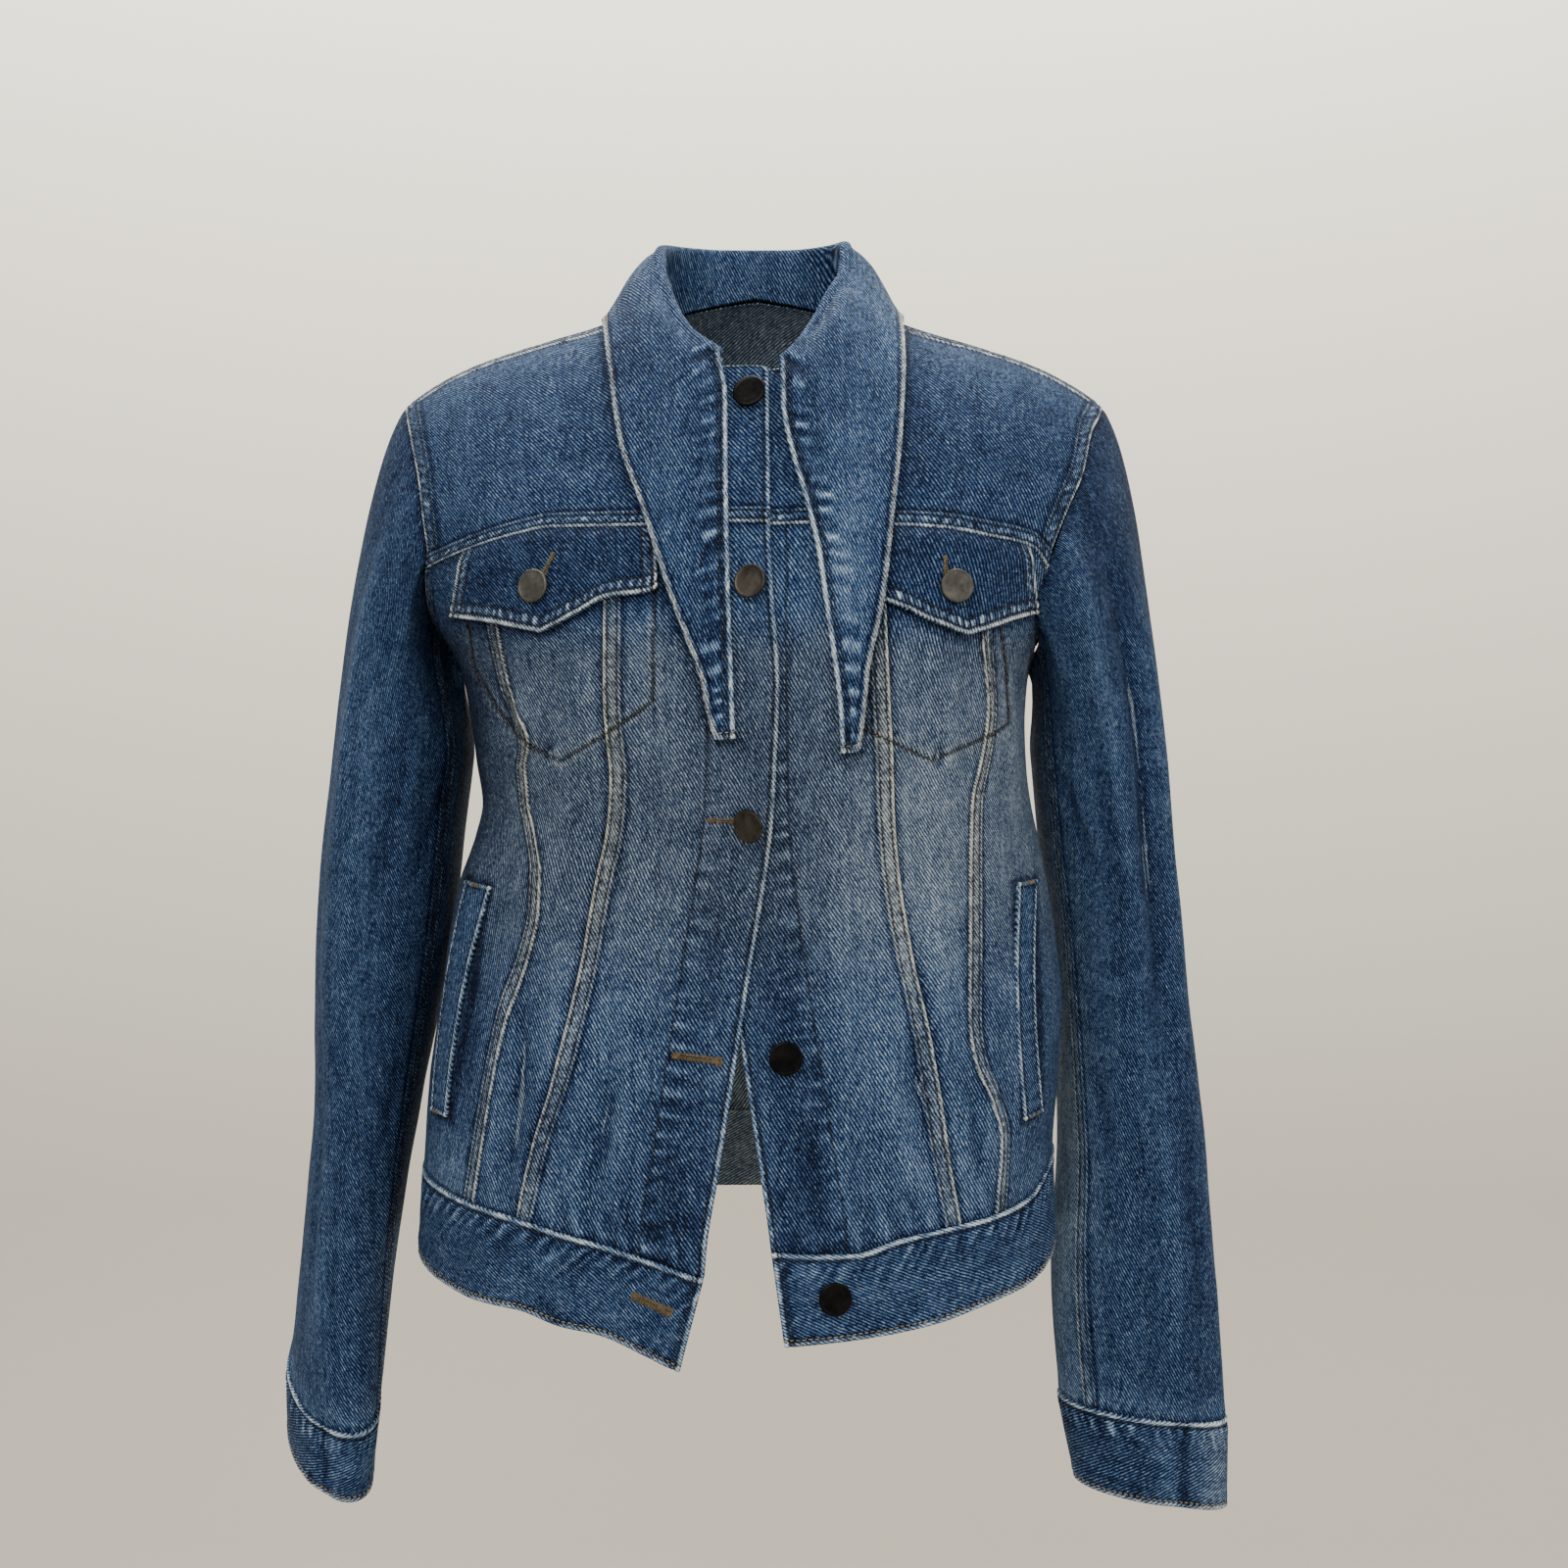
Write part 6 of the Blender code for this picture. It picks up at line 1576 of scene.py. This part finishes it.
blobs(c, c.x, c.z, [
    (78, -20, 14, 40, 0.04), (62, -10, 20, 40, 0.02), (-66, -40, 22, 34, -0.05),
    (36, -40, 22, 34, -0.03), (-60, -128, 18, 36, 0.035), (-70, -30, 14, 50, 0.02),
    (60, -230, 10, 24, 0.08), (-12, -225, 10, 20, 0.08), (46, -155, 14, 50, 0.195),
    (-78, -20, 30, 40, -0.035)])

# painted shadow on the cloth beside the edges that lie on it: the collar's outer edge, the
# flaps' lower edges and the welts
collar_path = [(float(x) / MM, float(z) / MM) for x, y, z in c.p[-1, ::6] if y < 0.03]
for name, cloth in cloths.items():
    if not name.startswith(("front", "flap")):
        continue
    d, _ = near_path(cloth.x, cloth.z, collar_path)
    cloth.wash = cloth.wash - 0.15 * hump(d, 0, 3.2) - 0.03 * hump(d, 0, 9)
    if name.startswith("front"):
        sign = -1 if name[-1] == "r" else 1
        low, welt = ([(sign * x, z) for x, z in line]
                     for line in (FLAP[name[-1]]["low"], WELT[name[-1]]))
        d, _ = near_path(cloth.x, cloth.z, low)
        cloth.wash = cloth.wash - 0.17 * hump(d, 0, 3.6) - 0.04 * hump(d, 0, 11)
        d, _ = near_path(cloth.x, cloth.z, welt + welt[:1])
        cloth.wash -= 0.22 * hump(d, 0.8, 1.9)

# --------------------------------------------------------- the sleeves
# the same tables for the sleeves: angle from the outside, height; on the left sleeve the pale
# entries at 150 and 160 degrees are painted light on the inner side, where the body shades it
SLEEVE_FADES_AND_LIGHT = {
    "r": [(60, -110, 12, 140, 0.05), (38, -230, 12, 120, 0.03), (84, -260, 10, 120, 0.02),
          (110, -330, 16, 160, -0.035), (150, -260, 24, 120, -0.05), (46, -480, 14, 120, 0.025),
          (72, -560, 14, 60, 0.03), (20, -400, 14, 160, -0.02), (250, -300, 30, 160, 0.02),
          (300, -420, 30, 120, 0.02)],
    "l": [(86, -180, 12, 120, 0.045), (62, -260, 10, 160, -0.04), (36, -220, 16, 140, 0.03),
          (110, -320, 14, 160, 0.02), (150, -420, 34, 160, 0.10), (160, -430, 22, 120, 0.24),
          (40, -520, 20, 80, -0.02), (70, -590, 12, 40, -0.03), (250, -300, 30, 160, 0.02),
          (300, -420, 30, 120, 0.02)],
}
# creases: angle, height, angle, height, half width (mm), height (mm), tone: painted highlight on
# raised folds, painted shade in sunk ones
SLEEVE_CREASES = {
    "r": [(52, -90, 56, -300, 5, 0.7, 0.03), (70, -150, 66, -420, 6, 0.6, 0.02),
          (100, -220, 96, -330, 5, -0.8, -0.04), (120, -240, 100, -300, 5, 0.7, 0.02),
          (150, -250, 118, -330, 6, -0.8, -0.03), (40, -360, 46, -560, 6, -0.5, -0.02),
          (60, -440, 56, -600, 6, 0.6, 0.03), (86, -420, 82, -600, 5, -0.6, -0.03),
          (130, -400, 120, -470, 6, -0.7, -0.03), (140, -470, 118, -540, 6, 0.6, 0.02),
          (200, -330, 240, -400, 8, -0.8, -0.03), (210, -350, 250, -420, 8, 0.7, 0.02),
          (280, -180, 284, -400, 7, 0.5, 0.02), (320, -250, 316, -450, 7, -0.5, -0.02)],
    "l": [(80, -90, 84, -330, 5, 0.8, 0.04), (56, -130, 66, -420, 6, -0.7, -0.03),
          (34, -120, 40, -400, 6, 0.6, 0.02), (98, -200, 100, -400, 5, -0.7, -0.03),
          (140, -250, 112, -320, 6, -0.8, -0.03), (126, -240, 106, -300, 5, 0.6, 0.02),
          (86, -420, 82, -600, 5, 0.6, 0.03), (60, -430, 62, -600, 6, -0.6, -0.03),
          (30, -420, 34, -600, 7, 0.5, 0.02), (130, -420, 116, -480, 6, -0.7, -0.03),
          (200, -330, 240, -400, 8, -0.8, -0.03), (210, -350, 250, -420, 8, 0.7, 0.02),
          (280, -180, 284, -400, 7, 0.5, 0.02), (320, -250, 316, -450, 7, -0.5, -0.02)],
}
SLEEVE_TOP = {"r": 0.285, "l": 0.275}
DENT = {"r": 60.0, "l": 76.0}           # where each cuff is dented, degrees
DEGREE = 0.8727                         # mm along the cloth for one degree
for sign, tag in BOTH:
    for piece, t0, t1, sides, count in (("upper", -105.0, 150.0, FELL, 61),
                                        ("under", 150.0, 255.0, PLAIN, 31)):
        theta = np.radians(np.linspace(t0, t1, count))
        w = np.linspace(2.0, 0.0, 161)
        grid = np.stack(np.broadcast_arrays(theta[None], w[:, None]), -1)
        grid = fine(lambda g: sleeve_point(tag, g[..., 0], g[..., 1]), grid, sides, sides,
                    PLAIN, PLAIN, (3.0, 3.0))
        c = Cloth("sleeve_" + piece + "_" + tag, *sleeve(tag, grid[..., 0], grid[..., 1]), CLOTH,
                  SLEEVE_TOP[tag], None, -sign * 1.0)
        deg = np.degrees(grid[..., 0]) % 360
        if piece == "upper":
            felled(c, c.dl, c.db, 8.0, 171 + sign, 0.01, 1.0, 0.5, 0.08, 0.12, 0.06)
            felled(c, c.dr, c.db, 8.0, 173 + sign, 0.01, 1.0, 0.5, 0.08, 0.12, 0.06)
        else:
            under(c, c.dl, 1.0, 0.05)
            under(c, c.dr, 1.0, 0.05)
        blobs(c, deg, c.z, SLEEVE_FADES_AND_LIGHT[tag])
        c.wash += 0.09 * hump(c.db, 6, 8)
        creases(c, deg * (math.pi / 180 * 50), c.z, [
            (a0 * DEGREE, z0, a1 * DEGREE, *rest) for a0, z0, a1, *rest in SLEEVE_CREASES[tag]])
        # painted shade: the sleeve darker towards its top, and a little darker all over
        c.wash = c.wash - 0.075 * ease((c.z + 230) / 130) - 0.02
        # gathers where the sleeve is set in, and where the cuff holds it
        puckers(c, c.dt, deg * 0.9, 0, 11, 9.0, 0.1, 0.30, 0.04, 175 + sign)
        puckers(c, c.db, deg * 0.9, 0, 16, 11.0, 0.1, 0.45, 0.035, 177 + sign)
        under(c, c.dt, 1.0, 0.10, 3.0)
        under(c, c.db, 1.0, 0.12, 2.5)
        soft = clouded((deg / 16, c.z / 60), (deg / 7, c.z / 24), 21)
        c.up += 0.55 * soft * ease(np.minimum(c.dl, c.dr) / 12)
        c.wash += 0.035 * soft
        # painted light on the inner side of the sleeve, which the body shades
        if piece == "under" or sign > 0:
            c.wash += 0.07 * ease((deg - 120) / 40) * (1 - ease((deg - 215) / 40))

    # the cuff
    theta = np.linspace(0, 2 * math.pi, 169)[:-1]
    span = (CUFF_TOP[tag] - CUFF_LOW[tag]) / MM
    down = np.array(TURNED + list(np.linspace(10, span - 8.4, 18))
                    + [span - d for d in reversed(TURNED[:-1])])
    miss = (np.degrees(theta) - DENT[tag] + 180) % 360 - 180
    dent = -0.0030 * np.exp(-(miss / 14.0) ** 2)
    rows = []
    for d in down[::-1]:
        ring = sleeve_ring(tag, theta, np.full(theta.shape, CUFF_TOP[tag] - d * MM))
        away = unit((ring - ring.mean(axis=0)) * (1, 1, 0))
        rows.append(ring + away * (0.0008 + dent)[:, None])
    p = np.array(rows)
    p[-1, :, 2] -= HALF_GAP
    n = unit(np.cross(np.roll(p, -1, axis=1) - np.roll(p, 1, axis=1), np.gradient(p, axis=0)))
    if (n[1, 0, 0] < 0) == (sign > 0):
        n = -n
    c = Cloth("cuff_" + tag, p, n, DOUBLE, 0.275, None, -sign * 1.0, True)
    deg = np.degrees(theta)[None] + 0 * c.up
    s = deg * 0.84
    cord(c, c.dt, s, 181 + sign, 0.44, 3.6, 1.0, 0.3, 0.2)
    cord(c, c.db, s, 183 + sign, 0.24, 3.3, 1.0, 0.15)
    puckers(c, c.dt, s, 3.6, 20, 8.4, 0.5, 0.5, 0.06, 185 + sign)
    bars(c, c.dt, s, 4.6, 15.0, 8.4, 0.2, 0.28, 285 + sign)
    c.wash = c.wash + 0.10 * clouded((s / 12, c.dt / 7), (s / 5, c.dt / 5), 23) + 0.015
    puckers(c, c.db, s, 2.6, 12, 8.4, -0.4, 0.24, 0.05, 187 + sign)
    miss = (deg - DENT[tag] + 180) % 360 - 180
    # painted shade in the cuff's dent and painted highlight on the bulge beside it
    c.wash = c.wash - 0.16 * hump(miss, 0, 4) + 0.09 * hump(miss, 12, 8)
    if sign > 0:
        c.wash = c.wash + 0.20 * hump(deg, 44, 24) - 0.03
        c.warm += 0.25 * hump(deg, 44, 24)


# --------------------------------------------------------- the buttons
# name, x, z, layer, height of the foot above the body cloth, turn sideways
BUTTONS = [
    ("button_neck", -0.0005, -0.0600, 1, 0.0003, -14, "black"),
    ("button_chest", 0.0005, -0.1570, 1, 0.0003, -26, "bronze"),
    ("button_waist", 0.0000, -0.2755, 1, 0.0003, -34, "bronze"),
    ("button_lower", 0.0174, -0.3955, -1, 0.0003, 0, "black"),
    ("button_band", 0.0417, -0.5160, -1, 0.0009, 4, "black"),
    ("button_flap_r", -0.1074, -0.1580, 0, 0.0034, -4, "grey"),
    ("button_flap_l", 0.1010, -0.1577, 0, 0.0034, -12, "grey"),
]
METALS = {"black": metal_material("metal_black", (10, 10, 10), (30, 28, 26), 0.30),
          "bronze": metal_material("metal_bronze", (42, 39, 34), (80, 74, 65), 0.42),
          "grey": metal_material("metal_grey", (56, 54, 49), (98, 94, 85), 0.44)}
# radius and height above the shank's head, from the shank to the middle of the face
PROFILE = [(0.0026, 0.0010), (0.0026, 0.0014), (0.0060, 0.00145), (0.0076, 0.0015),
           (0.0083, 0.0018), (0.0086, 0.0022), (0.0086, 0.0030), (0.0084, 0.0034),
           (0.0080, 0.00362), (0.0076, 0.00360), (0.0072, 0.00346), (0.0066, 0.00342),
           (0.0045, 0.00350), (0.0022, 0.00354)]
SIDES = 40


def circle(centre, axis, radius):
    side = unit(np.cross(axis, (0, 0, 1.0)))
    other = np.cross(axis, side)
    turns = np.linspace(0, 2 * math.pi, SIDES + 1)[:-1, None]
    return centre + (side * np.cos(turns) + other * np.sin(turns)) * radius


def button(name, foot, normal, axis, reach, metal):
    head = foot + normal * reach
    rings = [circle(foot, normal, 0.0026)]
    rings += [circle(head + axis * h, axis, r) for r, h in PROFILE]
    verts = np.concatenate([foot[None]] + rings + [(head + axis * 0.00355)[None]])
    starts = 1 + SIDES * np.arange(len(rings))
    faces = []
    for k in range(SIDES):
        m = (k + 1) % SIDES
        faces.append([0, 1 + m, 1 + k])
        faces += [[a + k, a + m, b + m, b + k] for a, b in zip(starts[:-1], starts[1:])]
        faces.append([len(verts) - 1, starts[-1] + k, starts[-1] + m])
    obj = mesh_of("metal_" + name, verts, np.concatenate(faces), [len(f) for f in faces],
                  METALS[metal])
    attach(obj, "root")
    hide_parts(name)


for name, x, z, layer, rise, lean, metal in BUTTONS:
    a, h = spot(x, z)
    p, n = torso(a, h, layer, rise), normals(torso, a, h, layer, rise)
    co, si = math.cos(math.radians(lean)), math.sin(math.radians(lean))
    axis = unit(np.array([n[0] * co - n[1] * si, n[0] * si + n[1] * co, n[2]]))
    steep = abs(si)
    button(name, p, n, axis, 0.0026 * steep + 0.0076 * max(0.0, steep - 0.19), metal)


# --------------------------------------------------------- the sewing
def sew_rows(tag, rows):
    """Sew cloth by cloth: its name, the group, places in mm, then the
    distances they are measured by with their seeds.  A margin keeps the
    stitches of an armhole off the yoke seam, or of the lap off its end."""
    for name, group, places, sides, *margin in rows:
        c = cloths[name + tag]
        reach = np.abs(c.x[-1])
        keep = None
        if margin:
            keep = (reach > reach[-1] + margin[0] if margin[0] > 0
                    else reach < reach.max() + margin[0])
        for at in places:
            for side, seed in sides:
                line = trace(c, getattr(c, side), at, side in ("dl", "dr"), keep)
                sew(group, *line, seed=seed)


for sign, tag in BOTH:
    front, yoke, flap, arm = "front_" + tag, "yoke_" + tag, "flap_" + tag, "sleeve_" + tag
    sew_rows(tag, [
        ("front_center_", front, (2.5, 7.7), [("dl", 1)]),
        ("front_center_", front, (3.5,), [("dr", 2)]),
        ("front_center_", front, (HEM[tag],), [("dr", 3)]),
        ("front_side_", front, (2.5, 6.7), [("dr", 4)]),
        ("front_side_", front, (2.5, 8.2), [("dt", 5)], 14),
        ("front_yoke_", yoke, (2.5, 6.7), [("db", 6)]),
        ("front_yoke_", yoke, (2.5, 7.7), [("lap", 7)], -10),
        ("front_yoke_", yoke, (2.5, 8.2), [("dl", 8)]),
        ("front_yoke_", yoke, (3.5,), [("dr", 9)]),
        ("back_side_", "back", (2.5, 6.7), [("dl", 10)]),
        ("back_side_", "back", (2.5, 8.2), [("dt", 11)], 46),
        ("flap_", flap, (3.5, 8.7), [("db", 12), ("dl", 13), ("dr", 14)]),
        ("welt_", "welts", (3.0,), [("dl", 15), ("dr", 16)]),
    ])
    c = cloths["welt_" + tag]
    k = c.p.shape[1] // 2
    for end in (3, -4):
        tack(c.out()[end, k] + c.n[end, k] * 0.0003, c.n[end, k], c.p[end, -1] - c.p[end, 0],
             9.0, 2.6, 12)
    sew_rows(tag, [("sleeve_upper_", arm, (2.5, 6.7), [("dl", 17), ("dr", 18)])])
    c = cloths["cuff_" + tag]
    for d, at, group in ((c.dt, 3.6, arm), (c.db, 3.3, "tan_" + tag)):
        pts, ups = trace(c, d, at, False)
        sew(group, np.concatenate([pts, pts[:1]]), np.concatenate([ups, ups[:1]]), seed=19)
sew_rows("", [
    ("back_center", "back", (2.5, 7.7), [("dl", 20)]),
    ("back_center", "back", (2.5, 7.7), [("dr", 20)]),
    ("back_yoke", "back", (2.5, 6.7), [("db", 21)]),
    ("back_yoke", "back", (2.5, 8.2), [("dl", 22)]),
    ("back_yoke", "back", (2.5, 8.2), [("dr", 22)]),
    ("waistband", "band", (3.6,), [("dt", 23)]),
    ("waistband", "tan_band", (3.3,), [("db", 24)]),
    ("waistband", "band", (3.4, 5.4), [("dl", 25)]),
    ("waistband", "band", (3.4, 5.4), [("dr", 25)]),
])
c = cloths["collar"]
for d, first in ((c.dl, rolls[0]), (c.dr, rolls[-1])):
    shown = np.arange(len(c.p)) > first + 2
    for at in (3.5, 5.4):
        sew("collar", *trace(c, d, at, True, shown), seed=26)
sew("tan_collar", *trace(c, c.dt, 3.7, False), seed=27)

faces_of = {key: (c.out().reshape(-1, 3), c.n.reshape(-1, 3)) for key, c in cloths.items()
            if key.startswith(("front_", "flap"))}
band = cloths["waistband"]
ahead = band.p[..., 1] < 0
faces_of["waistband"] = (band.out()[ahead], band.n[ahead])


def drop_on(names, pts):
    """Points (x, z in mm) dropped on the nearest of some cloths."""
    out_p, out_n = [], []
    for x, z in pts:
        best = None
        for name in names:
            q, n = faces_of[name]
            gap = (q[:, 0] - x * MM) ** 2 + (q[:, 2] - z * MM) ** 2
            k = int(np.argmin(gap))
            if best is None or gap[k] < best[0]:
                best = (gap[k], q[k], n[k])
        out_p.append((x * MM, best[1][1], z * MM))
        out_n.append(best[2])
    return np.array(out_p), np.array(out_n)


def stepped(a, b, least, step, last=0):
    """Places from a to b, at most about a step apart."""
    (x0, z0), (x1, z1) = a, b
    count = max(least, int(math.hypot(x1 - x0, z1 - z0) / step))
    return [(x0 + (x1 - x0) * k / count, z0 + (z1 - z0) * k / count)
            for k in range(count + last)]


for sign, tag in BOTH:
    names = ["front_center_" + tag, "front_mid_" + tag, "front_side_" + tag]
    line = POCKET[tag][1:]
    pts, ups = drop_on(names, sum([stepped(a, b, 2, 1.5) for a, b in zip(line, line[1:])], []))
    sew("pocket_" + tag, pts + ups * 0.00015, ups, 3.0, 0.88, 0.44, seed=30)

# buttonholes: ends of the slit in x, z (mm), half length of a bar
HOLES = [
    ("front_center_r", (-21.6, -274), (-7.5, -274.5), 1.6),
    ("front_center_r", (-40, -393.5), (-15, -396.5), 2.5),
    ("waistband", (-60, -514), (-40, -522.5), 3.0),
    ("flap_r", (-99.6, -140.5), (-104.5, -151), 1.5),
    ("flap_l", (98, -142), (98.4, -151), 1.5),
]
for name, a, b, half in HOLES:
    pts, ups = drop_on([name], stepped(a, b, 8, 0.62, 1))
    ups = unit(ups.mean(axis=0))[None] + 0 * ups
    ahead = unit(pts[-1] - pts[0])
    side = unit(np.cross(ahead, ups[0]))
    for k, (p, up) in enumerate(zip(pts, ups)):
        swing = 0.5 * (float(noise(k * 1.9, 0, 9)) - 0.5)
        reach = half * (0.85 + 0.3 * float(noise(k * 1.3, 4, 9)) + 0.35 * (k > len(pts) - 6))
        a = p - side * (reach * MM) - ahead * (swing * MM)
        b = p + side * (reach * MM) + ahead * (swing * MM)
        line = np.stack([a, (a + b) / 2, b]) + up * 0.0003
        sew("gold", line, np.stack([up] * 3), pitch=2 * reach, share=0.98, radius=0.30,
            lift=0.1, seed=k)
    sew("slits", np.stack([pts[0], pts[-1]]) + ups[:1] * 0.0002, ups[:2],
        pitch=float(np.linalg.norm(pts[-1] - pts[0])) / MM, share=0.95, radius=0.26, lift=0.45)

# ----------------------------------------------------- make the pieces
# start of a name, its slot, the piece its cloth rests on ("_": same side)
RESTS = [("front_yoke", "denim_dark", "collar"), ("back_yoke", "denim_dark", "collar"),
         ("front", "denim_faded", "front_yoke_"), ("back", "denim_faded", "back_yoke"),
         ("welt", "denim_faded", "front_side_"), ("waistband", "denim_dark", "back_center"),
         ("collar", "denim_dark", "back_yoke"), ("flap", "denim_dark", "front_yoke_"),
         ("cuff", "denim_dark", "sleeve_upper_"), ("sleeve", "denim_dark", "front_yoke_")]
for name, c in cloths.items():
    slot, rests = next(row[1:] for row in RESTS if name.startswith(row[0]))
    rests = "cloth_" + rests + (name[-1] if rests.endswith("_") else "")
    shell(c, name, ring=name.startswith("cuff"))
threads()

# ------------------------------------------------ floor, light, camera
floor_mesh = bpy.data.meshes.new("floor")
half, wall_y, floor_z, top_z, bend = 4.0, 1.6, -1.60, 2.6, 0.7
profile = [(-3.2, floor_z)] + [
    (wall_y - bend + bend * math.sin(t), floor_z + bend - bend * math.cos(t))
    for t in np.linspace(0, math.pi / 2, 13)] + [(wall_y, top_z)]
verts = [(x, y, z) for y, z in profile for x in (-half, half)]
faces = [(2 * k, 2 * k + 1, 2 * k + 3, 2 * k + 2) for k in range(len(profile) - 1)]
floor_mesh.from_pydata(verts, [], faces)
floor_mesh.polygons.foreach_set("use_smooth", [True] * len(faces))
floor = bpy.data.objects.new("floor", floor_mesh)
# the backdrop's painted shade darkens it towards the floor
floor_mesh.materials.append(sweep_material("backdrop_with_painted_shade", (184, 177, 164), (254, 249, 233)))
bpy.context.scene.collection.objects.link(floor)

world = bpy.data.worlds.new("studio")
world.use_nodes = True
world.node_tree.nodes["Background"].inputs[0].default_value = (0.90, 0.93, 1.0, 1)
world.node_tree.nodes["Background"].inputs[1].default_value = 0.66
bpy.context.scene.world = world


def area_light(name, place_at, target, size, power, colour):
    data = bpy.data.lights.new(name, "AREA")
    data.shape = "RECTANGLE"
    data.size, data.size_y = size
    data.energy = power
    data.color = colour
    obj = bpy.data.objects.new(name, data)
    obj.location = place_at
    obj.rotation_euler = (Vector(target) - Vector(place_at)).to_track_quat("-Z", "Y").to_euler()
    bpy.context.scene.collection.objects.link(obj)


area_light("key", (-0.7, -2.5, 1.5), (0, 0, -0.35), (2.2, 1.2), 58, (1.0, 0.985, 0.95))
area_light("fill", (2.2, -2.0, 0.3), (0, 0, -0.4), (1.6, 2.0), 24, (1.0, 0.99, 0.97))
area_light("wall", (0.0, 0.7, 2.2), (0, 1.6, 0.6), (3.4, 0.9), 175, (1.0, 0.97, 0.90))

camera_data = bpy.data.cameras.new("camera")
camera_data.lens = 49.41
camera_data.sensor_width = 36.0
camera = bpy.data.objects.new("camera", camera_data)
camera.location = (0.0164, -1.20, -0.20)
camera.rotation_euler = (math.radians(87), 0, 0)
bpy.context.scene.collection.objects.link(camera)
bpy.context.scene.camera = camera

bpy.context.view_layer.update()
